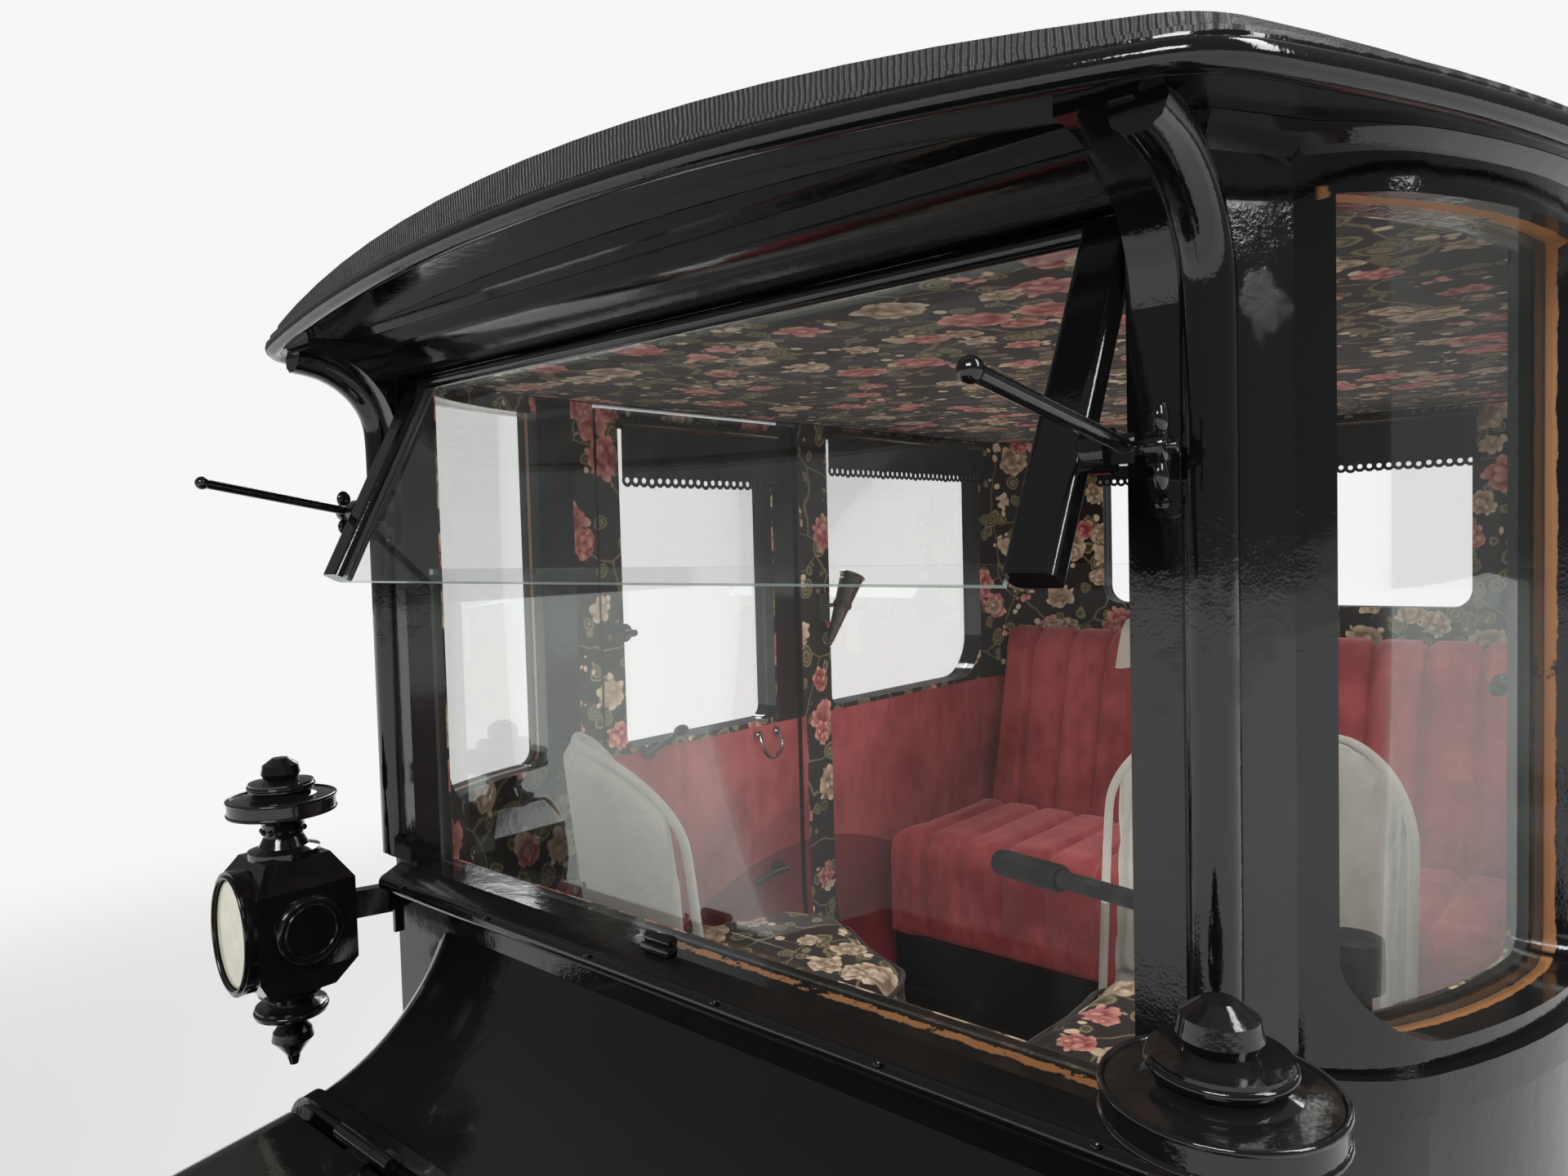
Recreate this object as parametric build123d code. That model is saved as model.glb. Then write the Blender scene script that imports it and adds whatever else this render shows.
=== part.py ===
from build123d import *
import os
from math import cos, degrees, radians, sin, sqrt

os.makedirs("parts", exist_ok=True)

# An early electric closed car (brougham) with tiller steering, in millimetres.
# Z is up, the front looks along -Y and the car's left is +X; the ground is z = 0
# and the origin lies midway between the axles.

# Running clearances and seats
SEAT = 0.3
GAP = 6.0

# Wheels and axles
WHEELBASE = 2550.0
TREAD = 1420.0
TYRE_R = 406.0
TYRE_SECTION_R = 51.0
FELLOE_DEPTH = 62.0
FELLOE_W = 52.0
HUB_R = 62.0
HUB_BARREL_R = 40.0
HUB_W = 150.0
SPOKES = 12
SPOKE_R = 15.5
SPOKE_TIP_R = 12.0
SPINDLE_R = 21.0
SPINDLE_PLAY = 0.05
HUB_IN = -18.0
HUB_OUT = 86.0
CAP_LEN = 26.0
CAP_TIP_R = 9.0
FLANGE_X = 16.0
FLANGE_R = 88.0
RIM_W = 80.0
RIM_T = 12.0
RIM_LIP = 3.0
DRUM_R = 145.0
DRUM_W = 46.0
KINGPIN_X = 640.0
KINGPIN_R = 14.0
BOSS_R = 26.0
BOSS_Z = (382.0, 430.0)
FORK_T = 18.0
FORK_GAP = 0.5
FORK_R = 28.0
BEAM_Z = (333.0, 385.0)
BEAM_RISE_X = (540.0, 596.0)
STEER_LIMIT = 28.0

# Chassis
RAIL_X = 345.0
RAIL_W = 40.0
RAIL_H = 75.0
RAIL_WALL = 6.0
JACK_PAD_Y = (-600.0, 900.0)
JACK_PAD_LEN = 90.0
JACK_PAD_T = 3.0
RAIL_TOP = 575.0
RAIL_FRONT_Y = -1745.0
RAIL_REAR_Y = 1745.0
CROSS_W = 60.0
CROSS_Y = (-1640.0, -760.0, 180.0, 760.0, 1600.0)
LEAF_T = 7.0
LEAF_W = 45.0
LEAF_LENGTHS = (900.0, 760.0, 600.0, 430.0, 260.0)
SPRING_RISE = 50.0
SPRING_EYE_R = 13.0
EAR_T = 8.0
EAR_W = 34.0
AXLE_BEAM_W = 46.0
AXLE_TUBE_R = 38.0
DIFF_R = 120.0
MOTOR_R = 165.0
MOTOR_LEN = 430.0
MOTOR_Y = 480.0
MOTOR_Z = 400.0
MOTOR_LUG_HALF_W = 60.0
MOTOR_LUG_Z = (515.0, 550.0)
MOTOR_LUG_SINK = 40.0
BATTERY_X = 385.0
BATTERY_TOP = 830.0

# Steering
TILLER_X = 500.0
TILLER_Y = -330.0
TILLER_Z = 1250.0
TILLER_SHAFT_R = 16.0
TILLER_ROD_R = 11.0
TILLER_GRIP_R = 17.5
TILLER_GRIP_LEN = 130.0
TILLER_END = (17.0, -105.0, 1198.0)
DRAG_ARM = 180.0
DRAG_R = 10.0
TIE_ARM = 150.0
TIE_R = 12.0
ARM_W = 30.0
PIN_R = 8.0
EYE_T = 22.0
OPEN_PIVOT_PLAY = 0.6
ARM_LIFT = 16.0
COLLAR_R = 34.0
COLLAR_H = 14.0

# Roof heights, from its crown down to the walls
ROOF_TOP_Z = 1980.0
ROOF_T = 46.0
ROOF_UNDER_Z = ROOF_TOP_Z - ROOF_T
WALL_DROP = 66.0
WALL_TOP = ROOF_UNDER_Z - WALL_DROP
CEILING_DROP = 64.0
CEILING_Z = ROOF_UNDER_Z - CEILING_DROP
CEILING_T = 6.0
CROWN_DEPTH = 90.0
CROWN_DEPTH_TALL = 900.0
CROWN_DEPTH_ROOM = 300.0

# Cabin plan and section
HALF_W = 672.0
WALL = 50.0
SIDE_START_Y = -325.0
CORNER_R_LONG = 508.0
CORNER_R_SHORT = 122.0
CORNER_HEADING_IN = 20.0
CORNER_HEADING_MID = 60.0
FRONT_Y = -690.0
PILLAR_FRONT_X = 505.0
REAR_Y = 1145.0
REAR_CORNER_R = 250.0
SILL_Z = 575.0
SILL_HALF_W = 560.0
FLOOR_TOP = 635.0
TUMBLE_TOP = 1000.0
TUMBLE_LEAD = 2.0
BELT_Z = 1258.0
BELT_H = 26.0
BELT_OUT = 8.0
FRONT_SPLIT_Y = -626.0
BACK_SPLIT_X = 425.0
ARCH_IN_X = 585.0
ARCH_WALL = 8.0
COVE_REACH = 104.0
COVE_W = 46.0
HEADER_COVE_REACH = 48.0

# Windows, as heights and as places along the side
WINDOW_SILL = 1300.0
WINDOW_HEAD_DROP = 25.0
WINDOW_HEAD = WALL_TOP - WINDOW_HEAD_DROP
WINDOW_R = 22.0
SIDE_CUT_IN = 292.0
SIDE_CUT_OUT = 48.0
CORNER_WINDOW_Y = (-622.0, -371.0)
CORNER_WINDOW_R = 60.0
DOOR_WINDOW_Y = (-210.0, 165.0)
QUARTER_WINDOW_Y = (335.0, 925.0)
QUARTER_WINDOW_R = 95.0
BACK_WINDOW_HALF_W = 380.0
BACK_WINDOW_SILL = 1470.0
SCREEN_HALF_W = 455.0
SCREEN_SILL = 1250.0
SCREEN_HEAD_DROP = 20.0
SCREEN_HEAD = WALL_TOP - SCREEN_HEAD_DROP
SCREEN_Y = -655.0
GLASS_T = 5.0
GLASS_SET = 22.0
UPPER_LIGHT_H = 233.0
LOWER_GLASS_TOP = SCREEN_HEAD - UPPER_LIGHT_H
SCREEN_LIP = 30.0
SCREEN_LIP_H = 42.0

# Upper sash, swung out as it stands
SASH_ANGLE = 27.0
SASH_LEN = 259.0
SASH_X = 436.0
SASH_W = 35.0
SASH_T = 22.0
SASH_TUBE_R = 8.0
STAY_R = 5.0
STAY_FOOT_DROP = 170.0
STAY_TIP_DROP = 132.0
STAY_FOOT = (480.0, -697.0, SCREEN_HEAD - STAY_FOOT_DROP)
STAY_TIP = (472.0, -909.0, SCREEN_HEAD - STAY_TIP_DROP)

# Doors
DOOR_FRONT_Y = -260.0
DOOR_REAR_Y = 240.0
DOOR_BEVEL = 9.0
DOOR_BOTTOM = FLOOR_TOP + GAP
DOOR_TOP = WALL_TOP - GAP
HINGE_X = 692.0
HINGE_R = 9.0
HINGE_LEN = 60.0
HINGE_PIN_R = 4.0
TOP_HINGE_DROP = 228.0
HINGE_Z = (800.0, 1180.0, WALL_TOP - TOP_HINGE_DROP)
HINGE_LEAF = 44.0
HINGE_SINK = 30.0
HANDLE_OUT = 46.0

# Roof: its crowns are arcs across and along the car
ROOF_HALF_W = 705.0
ROOF_FRONT_Y = -840.0
ROOF_FRONT_HALF_W = 545.0
ROOF_REAR_Y = 1185.0
ROOF_MID_Y = 170.0
ROOF_TOP_R = 3150.0
ROOF_UNDER_R = 5000.0
ROOF_LENGTH_R = 15000.0
ROOF_BEAD_H = 19.0
ROOF_BOW = 45.0
ROOF_BEND = 22.0
ROOF_CORNER_R = 55.0
ROOF_BEAD_OUT = 7.0
# How far out and how far up the cove under the overhang reaches, step by step
FLARE_STEPS = ((0.0, 0.0), (16.0, 9.0), (66.0, 23.0))

# Front and rear boxes
BOX_HALF_W = 440.0
BOX_WALL = 14.0
BOX_SPLIT_Z = 880.0
BOX_SHOULDER_R = 55.0
BOX_NOSE_R = 90.0
COWL_TOP_Z = 1185.0
COWL_END_Y = -865.0
DECK_Z = 1046.0
DECK_FRONT_Z = 955.0
BOX_FRONT_Y = -1570.0
REAR_COVE_END_Y = 1290.0
BOX_REAR_Y = 1660.0
LID_HINGE_R = 7.0
LID_PIN_R = 3.5
LID_HINGE_Z = 1055.0
LID_HINGE_X = 250.0
LID_KNUCKLE = 40.0
COWL_KNUCKLE = 30.0
LID_GAP = 6.0
LEAF_REACH = 46.0
BOX_BEAD_W = 16.0
BOX_BEAD_OUT = 7.0

# Fenders and running boards
FENDER_R = 478.0
FENDER_T = 5.0
FENDER_IN_X = 596.0
FENDER_OUT_X = 830.0
FENDER_CROWN = 22.0
FENDER_LIP = 24.0
FENDER_TIP_ANGLE = 166.0
FENDER_LEAVE_ANGLE = 35.0
FENDER_SWEEP_R = 250.0
BOARD_TOP = 410.0
BOARD_T = 24.0
IRON_R = 11.0
APRON_X = 560.0
APRON_T = 4.0
BOARD_EDGE_R = 8.0
BRACKET_RISE = 60.0
BRACKET_KNEE = 40.0
BRACKET_DROP = 4.0
BRACKET_SHORT = 30.0
BRACKET_Y = (-470.0, 0.0, 470.0)

# Coach lamps
LAMP_X = 551.0
LAMP_Y = -808.0
LAMP_BOX_Z = (1118.0, 1280.0)
LAMP_HALF = 58.0
LAMP_TOP_Z = 1395.0
LAMP_TIP_Z = 1022.0
LAMP_CHAMFER = (20.0, 32.0)
LENS_R = (46.0, 66.0)
LENS_T = 10.0
BEZEL_W = 7.0
BEZEL_OUT = 8.0
LAMP_BOSS_R = 40.0
LAMP_BRACKET_Z = 1198.0
LAMP_PLATE_H = 76.0
LAMP_PLATE_T = 6.0
# radius and height of each step of the turned cap above the lamp's box, then the finial below
LAMP_CAP = (
    (40.0, 1278.0),
    (40.0, 1286.0),
    (28.0, 1290.0),
    (22.0, 1302.0),
    (24.0, 1318.0),
    (34.0, 1328.0),
    (60.0, 1332.0),
    (60.0, 1348.0),
    (40.0, 1351.0),
    (30.0, 1356.0),
    (36.0, 1358.0),
    (36.0, 1367.0),
    (18.0, 1370.0),
    (22.0, 1377.0),
    (20.0, 1387.0),
    (9.0, 1395.0),
)
LAMP_FINIAL = (
    (36.0, 1121.0),
    (36.0, 1112.0),
    (26.0, 1108.0),
    (26.0, 1100.0),
    (40.0, 1097.0),
    (40.0, 1086.0),
    (24.0, 1081.0),
    (16.0, 1072.0),
    (22.0, 1064.0),
    (24.0, 1054.0),
    (14.0, 1042.0),
    (8.0, 1034.0),
    (5.0, 1022.0),
)

# Seats
BENCH_HALF_W = 592.0
BENCH_FRONT_Y = 445.0
BENCH_BACK_Y = 872.0
BENCH_TOP = 1015.0
BENCH_BASE_TOP = 800.0
BENCH_BASE_HALF_W = 572.0
BENCH_BASE_Y = (470.0, 1090.0)
BENCH_EDGE_R = 45.0
BACK_FOOT_Y = 874.0
BACK_LEAN_Y = 962.0
BACK_ROLL_Y = 1060.0
BACK_REAR_Y = 1085.0
BENCH_BACK_TOP = 1430.0
SEAT_TOP = 1000.0
SEAT_HALF = 200.0
SEAT_CIRCLE_R = 234.0
SEAT_CORNER_R = 60.0
SEAT_BOTTOM = 880.0
SEAT_PLATE_T = 12.0
SEAT_COLUMN_R = 45.0
SEAT_FLANGE_R = 110.0
SEAT_BACK_TOP = 1360.0
SEAT_BACK_R = (236.0, 260.0)
SEAT_BACK_SPREAD = 49.0
SEAT_BACK_AHEAD = 25.0
SEAT_BACK_LEAN = 6.0
SEAT_BACK_CORNER_R = 130.0
# x, y and heading of each front seat's sitter in degrees (0 faces the front, 180 the rear)
FRONT_SEATS = (
    (270.0, -55.0, 0.0),
    (-354.0, -185.0, 152.0),
)

# Blinds and the flower vase
BLIND_T = 6.0
BLIND_OFF = 10.0
BLIND_ROLL_R = 10.0
BLIND_ROLL_RISE = 9.0
BLIND_ROLL_Z = WINDOW_HEAD + BLIND_ROLL_RISE
QUARTER_BLIND_Y = (325.0, 935.0)
QUARTER_BLIND_H = 84.0
QUARTER_BLIND_LOW = BLIND_ROLL_Z - QUARTER_BLIND_H
BACK_BLIND_HALF_W = 390.0
BACK_BLIND_H = 102.0
BACK_BLIND_LOW = BLIND_ROLL_Z - BACK_BLIND_H
DOOR_BLIND_Y = (-215.0, 170.0)
DOOR_BLIND_ROLL_DROP = 5.0
DOOR_BLIND_ROLL_Z = WINDOW_HEAD - DOOR_BLIND_ROLL_DROP
DOOR_BLIND_H = 103.0
DOOR_BLIND_LOW = DOOR_BLIND_ROLL_Z - DOOR_BLIND_H
VASE_FOOT = (-603.0, 310.0, 1436.0)
VASE_MOUTH = (-591.0, 372.0, 1565.0)
VASE_R = (7.0, 24.0)
VASE_WALL = 2.0
VASE_PLATE_Y = (296.0, 328.0)
VASE_PLATE_Z = (1476.0, 1530.0)

# fore (-1 front, 1 rear), hand (1 left, -1 right), name
WHEELS = (
    (-1, 1, "front_left"),
    (-1, -1, "front_right"),
    (1, 1, "rear_left"),
    (1, -1, "rear_right"),
)

AXLE_Y = WHEELBASE / 2
WHEEL_X = TREAD / 2
RIM_R = TYRE_R - 2 * TYRE_SECTION_R + 10.0
REAR_SPRING_TOP = TYRE_R - AXLE_TUBE_R - SEAT
DRAG_ARM_TOP = BOSS_Z[1] + FORK_GAP + FORK_T + ARM_LIFT
ARCH_R = FENDER_R + FENDER_CROWN + 2.0
WIDE = HALF_W + 40.0
BODY_DEPTH = FRONT_Y - 40.0, REAR_Y + 40.0


def slab(x0, x1, y0, y1, z0, z1):
    """A block between six limits."""
    middle = Pos((x0 + x1) / 2, (y0 + y1) / 2, (z0 + z1) / 2)
    return middle * Box(x1 - x0, y1 - y0, z1 - z0)


def rod(start, end, radius):
    """A round bar between two points."""
    a = Vector(*start)
    b = Vector(*end)
    plane = Plane(origin=a, z_dir=b - a)
    return extrude(plane * Circle(radius), (b - a).length)


def bar(start, end, width, height):
    """A flat bar between two points, its height upright."""
    a = Vector(*start)
    b = Vector(*end)
    side = Vector(0, 0, 1).cross(b - a)
    plane = Plane(origin=a, x_dir=side, z_dir=b - a)
    return extrude(plane * Rectangle(width, height), (b - a).length)


def both_sides(shape):
    """A left-hand solid with its right-hand twin."""
    return [shape, mirror(shape, about=Plane.YZ)]


def solids_of(*shapes):
    """One compound from solids that do not touch."""
    found = []
    for shape in shapes:
        found.extend(shape.solids())
    return Compound(children=found)


def save(name, *shapes):
    """Write one node."""
    whole = shapes[0] if len(shapes) == 1 else solids_of(*shapes)
    whole.label = name
    export_step(whole, f"parts/{name}.step")


def turn(start, radius, heading_in, heading_out):
    """An arc that turns left from one heading to another, with its end point."""
    def at(heading):
        across = sin(radians(heading)) - sin(radians(heading_in))
        along = cos(radians(heading_in)) - cos(radians(heading))
        return (start[0] + radius * across, start[1] + radius * along)
    middle = at((heading_in + heading_out) / 2)
    end = at(heading_out)
    return ThreePointArc(start, middle, end), end


def body_plan(grow=0.0):
    """The cabin's outline seen from above, grown or shrunk by a distance."""
    side = (HALF_W, SIDE_START_Y)
    mid_sin = sin(radians(CORNER_HEADING_MID))
    mid_cos = cos(radians(CORNER_HEADING_MID))
    joint = (side[0] - CORNER_R_LONG * (1 - mid_sin), side[1] - CORNER_R_LONG * mid_cos)
    in_sin = sin(radians(CORNER_HEADING_IN))
    in_cos = cos(radians(CORNER_HEADING_IN))
    foot = (joint[0] - CORNER_R_SHORT * (mid_sin - in_sin), joint[1] - CORNER_R_SHORT * (in_cos - mid_cos))
    short_arc, _ = turn(foot, CORNER_R_SHORT, CORNER_HEADING_IN, CORNER_HEADING_MID)
    long_arc, _ = turn(joint, CORNER_R_LONG, CORNER_HEADING_MID, 90.0)
    rear_start = (HALF_W, REAR_Y - REAR_CORNER_R)
    rear_arc, rear_end = turn(rear_start, REAR_CORNER_R, 90.0, 180.0)
    half = [
        Line((0, FRONT_Y), (PILLAR_FRONT_X, FRONT_Y)),
        Line((PILLAR_FRONT_X, FRONT_Y), foot),
        short_arc,
        long_arc,
        Line(side, rear_start),
        rear_arc,
        Line(rear_end, (0, REAR_Y)),
    ]
    edges = half + [mirror(edge, about=Plane.YZ) for edge in half]
    face = make_face(edges)
    if grow:
        face = offset(face, amount=grow, kind=Kind.INTERSECTION)
    return face


def upright(face, z0, z1):
    """A plan face raised between two heights."""
    return extrude(Pos(0, 0, z0) * face, z1 - z0)


def body_section(inset):
    """The block between the cabin's lower sides, which curve in towards the sill."""
    drop = TUMBLE_TOP - SILL_Z
    into = HALF_W - SILL_HALF_W
    radius = (drop * drop + into * into) / (2 * into)
    inner_r = radius - inset
    centre_x = HALF_W - radius + TUMBLE_LEAD
    low_z = SILL_Z - WALL

    def on_arc(z):
        return (centre_x + sqrt(inner_r * inner_r - (TUMBLE_TOP - z) ** 2), z)

    half = [
        Line((0, low_z), on_arc(low_z)),
        ThreePointArc(on_arc(low_z), on_arc((low_z + TUMBLE_TOP) / 2), on_arc(TUMBLE_TOP)),
        Line(on_arc(TUMBLE_TOP), (HALF_W + WALL, TUMBLE_TOP)),
        Line((HALF_W + WALL, TUMBLE_TOP), (HALF_W + WALL, WALL_TOP + WALL)),
        Line((HALF_W + WALL, WALL_TOP + WALL), (0, WALL_TOP + WALL)),
    ]
    edges = half + [mirror(edge, about=Plane.YZ) for edge in half]
    return extrude(Plane.XZ * make_face(edges), REAR_Y - FRONT_Y, both=True)


def cabin_shell():
    """The hollow cabin wall from floor to roof rail, with its belt moulding."""
    outer = upright(body_plan(), SILL_Z, WALL_TOP) & body_section(0.0)
    inner = upright(body_plan(-WALL), FLOOR_TOP, WALL_TOP) & body_section(WALL)
    belt = upright(body_plan(BELT_OUT), BELT_Z, BELT_Z + BELT_H)
    core = upright(body_plan(-WALL / 2), BELT_Z, BELT_Z + BELT_H)
    return outer, inner, belt - core


def side_window(y0, y1, shrink=0.0, front_r=WINDOW_R, rear_r=WINDOW_R):
    """A side window's opening, run through the left wall."""
    low_y = y0 + shrink
    high_y = y1 - shrink
    low_z = WINDOW_SILL + shrink
    high_z = WINDOW_HEAD - shrink
    outline = Polyline((low_y, high_z), (low_y, low_z), (high_y, low_z), (high_y, high_z), close=True)
    face = make_face(outline)
    corners = face.vertices()
    lower_front = corners.sort_by_distance((low_y, low_z, 0))[0]
    face = fillet(lower_front, front_r)
    lower_rear = face.vertices().sort_by_distance((high_y, low_z, 0))[0]
    face = fillet(lower_rear, rear_r)
    return extrude(Plane.YZ.offset(HALF_W - SIDE_CUT_IN) * face, SIDE_CUT_IN + SIDE_CUT_OUT)


def back_window(shrink=0.0):
    """The rear window's opening, run through the back wall."""
    width = 2 * (BACK_WINDOW_HALF_W - shrink)
    height = WINDOW_HEAD - BACK_WINDOW_SILL - 2 * shrink
    middle = (WINDOW_HEAD + BACK_WINDOW_SILL) / 2
    face = RectangleRounded(width, height, 40.0)
    plane = Plane(origin=(0, REAR_Y + 40.0, middle), x_dir=(1, 0, 0), z_dir=(0, -1, 0))
    return extrude(plane * face, 200.0)


def crown(top_z, across_r, depth):
    """A block under a crowned sheet: an arc across the car turned about a far axis."""
    half = ROOF_HALF_W + 60.0
    drop = across_r - sqrt(across_r * across_r - half * half)
    floor_z = WALL_TOP - depth
    edges = [
        Line((-half, floor_z), (half, floor_z)),
        Line((half, floor_z), (half, top_z - drop)),
        ThreePointArc((half, top_z - drop), (0, top_z), (-half, top_z - drop)),
        Line((-half, top_z - drop), (-half, floor_z)),
    ]
    face = Plane(origin=(0, ROOF_MID_Y, 0), x_dir=(1, 0, 0), z_dir=(0, -1, 0)) * make_face(edges)
    axis = Axis((0, ROOF_MID_Y, top_z - ROOF_LENGTH_R), (1, 0, 0))
    reach = degrees((ROOF_REAR_Y - ROOF_FRONT_Y) / 2 / ROOF_LENGTH_R) + 0.6
    swept = revolve(face, axis, reach)
    back = revolve(face, axis, -reach)
    return swept + back


def roof_plan(grow=0.0):
    """The roof's outline: a bowed front, sides that widen to the doors, round rear corners."""
    corner = (ROOF_FRONT_HALF_W + grow, ROOF_FRONT_Y + ROOF_BOW - grow)
    shoulder = (ROOF_HALF_W + grow, SIDE_START_Y - 30.0)
    rear_start = (ROOF_HALF_W + grow, ROOF_REAR_Y - REAR_CORNER_R - 20.0)
    rear_arc, rear_end = turn(rear_start, REAR_CORNER_R + grow, 90.0, 180.0)
    bend = ((corner[0] + shoulder[0]) / 2 + ROOF_BEND, (corner[1] + shoulder[1]) / 2)
    half = [
        ThreePointArc(corner, bend, shoulder),
        Line(shoulder, rear_start),
        rear_arc,
    ]
    edges = half + [mirror(edge, about=Plane.YZ) for edge in half]
    edges.append(ThreePointArc((-corner[0], corner[1]), (0, ROOF_FRONT_Y - grow), corner))
    edges.append(ThreePointArc(rear_end, (0, ROOF_REAR_Y + grow), (-rear_end[0], rear_end[1])))
    face = make_face(edges)
    front = face.vertices().sort_by(Axis.Y)[:2]
    return fillet(front, ROOF_CORNER_R + grow)


def yz_block(edges, half_width):
    """A side profile run across the car."""
    return extrude(Plane.YZ * make_face(edges), half_width, both=True)


def deck_slope(front):
    """How steeply the front or rear deck falls towards its end."""
    if front:
        return (DECK_Z - DECK_FRONT_Z) / (COWL_END_Y - BOX_FRONT_Y)
    return (DECK_Z - DECK_FRONT_Z) / (BOX_REAR_Y - REAR_COVE_END_Y)


def long_box(front, inset):
    """The front or rear box as one block: cove, deck and round nose."""
    sign = -1 if front else 1
    wall_y = FRONT_Y if front else REAR_Y
    cove_y = COWL_END_Y if front else REAR_COVE_END_Y
    end_y = BOX_FRONT_Y if front else BOX_REAR_Y
    nose = BOX_NOSE_R - inset
    end_in = end_y - sign * inset
    deck_end_y = end_y - sign * BOX_NOSE_R
    deck_end_z = DECK_Z - deck_slope(front) * abs(deck_end_y - cove_y) - inset
    top_z = COWL_TOP_Z - inset
    cove_mid = (wall_y + 0.36 * (cove_y - wall_y), DECK_Z + 0.36 * (COWL_TOP_Z - DECK_Z) - inset)
    base = SILL_Z + inset
    nose_mid = (deck_end_y + sign * nose * 0.72, deck_end_z - nose * 0.24)
    edges = [
        Line((wall_y, base), (wall_y, top_z)),
        ThreePointArc((wall_y, top_z), cove_mid, (cove_y, DECK_Z - inset)),
        Line((cove_y, DECK_Z - inset), (deck_end_y, deck_end_z)),
        ThreePointArc((deck_end_y, deck_end_z), nose_mid, (end_in, deck_end_z - nose)),
        Line((end_in, deck_end_z - nose), (end_in, base)),
        Line((end_in, base), (wall_y, base)),
    ]
    block = yz_block(edges, BOX_HALF_W - inset)
    uprights = block.edges().filter_by(Axis.Z).group_by(Axis.Y)[0 if front else -1]
    round_r = BOX_NOSE_R - inset
    block = fillet(uprights, round_r)
    tops = []
    for edge in block.edges():
        middle = edge.center()
        low = middle.Z > BOX_SPLIT_Z - 30
        outer = abs(abs(middle.X) - (BOX_HALF_W - inset)) < round_r + 1 and abs(middle.X) > 1
        past_wall = abs(middle.Y - wall_y) > 2
        if low and outer and past_wall and abs(edge.tangent_at(0.5).Z) < 0.99:
            tops.append(edge)
    return block, tops


def shoulder_box(front, inset):
    """The front or rear box with its long top edges rounded over."""
    block, tops = long_box(front, inset)
    return fillet(tops, BOX_SHOULDER_R - inset)


def wheel(rear):
    """A left wooden wheel about the X axis at the origin, with its bore."""
    felloe_in = RIM_R - FELLOE_DEPTH
    hub = [
        (HUB_IN, SPINDLE_R + SPINDLE_PLAY),
        (HUB_IN, HUB_BARREL_R),
        (-FLANGE_X, HUB_BARREL_R),
        (-FLANGE_X, FLANGE_R),
        (FLANGE_X, FLANGE_R),
        (FLANGE_X, HUB_BARREL_R),
        (HUB_OUT, HUB_BARREL_R - 4.0),
        (HUB_OUT, SPINDLE_R + SPINDLE_PLAY),
    ]
    turned = revolve(Plane.XY * make_face(Polyline(*hub, close=True)), Axis.X)
    cap_edges = [
        Line((HUB_OUT, 0), (HUB_OUT, HUB_BARREL_R - 2.0)),
        Line((HUB_OUT, HUB_BARREL_R - 2.0), (HUB_OUT + CAP_LEN * 0.6, HUB_BARREL_R - 6.0)),
        ThreePointArc(
            (HUB_OUT + CAP_LEN * 0.6, HUB_BARREL_R - 6.0),
            (HUB_OUT + CAP_LEN * 0.9, HUB_BARREL_R * 0.55),
            (HUB_OUT + CAP_LEN, CAP_TIP_R),
        ),
        Line((HUB_OUT + CAP_LEN, CAP_TIP_R), (HUB_OUT + CAP_LEN, 0)),
        Line((HUB_OUT + CAP_LEN, 0), (HUB_OUT, 0)),
    ]
    body = turned + revolve(Plane.XY * make_face(cap_edges), Axis.X)
    rim = [
        (-FELLOE_W / 2, felloe_in),
        (FELLOE_W / 2, felloe_in),
        (RIM_W / 2, RIM_R - RIM_T),
        (RIM_W / 2, RIM_R + RIM_LIP),
        (RIM_W / 2 - RIM_LIP, RIM_R + RIM_LIP),
        (RIM_W / 2 - RIM_LIP - 1.0, RIM_R),
        (-RIM_W / 2 + RIM_LIP + 1.0, RIM_R),
        (-RIM_W / 2 + RIM_LIP, RIM_R + RIM_LIP),
        (-RIM_W / 2, RIM_R + RIM_LIP),
        (-RIM_W / 2, RIM_R - RIM_T),
    ]
    body = body + revolve(Plane.XY * make_face(Polyline(*rim, close=True)), Axis.X)
    spoke_len = felloe_in + FELLOE_DEPTH / 3 - HUB_R
    spoke = Pos(0, 0, HUB_R + spoke_len / 2) * Cone(SPOKE_R, SPOKE_TIP_R, spoke_len)
    for step in range(SPOKES):
        body = body + Rot(X=step * 360.0 / SPOKES) * spoke
    if rear:
        drum = Cylinder(DRUM_R, DRUM_W) - Cylinder(SPINDLE_R + SPINDLE_PLAY, DRUM_W)
        body = body + Pos(HUB_IN + DRUM_W / 2, 0, 0) * Rot(Y=90) * drum
    return body


def tyre():
    """A left tyre about the X axis at the origin, flat where it seats on its rim."""
    ring = Pos(0, TYRE_R - TYRE_SECTION_R) * Circle(TYRE_SECTION_R)
    seat = Pos(0, RIM_R + SEAT + TYRE_R / 2) * Rectangle(4 * TYRE_SECTION_R, TYRE_R)
    return revolve(Plane.XY * (ring & seat), Axis.X)


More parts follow.
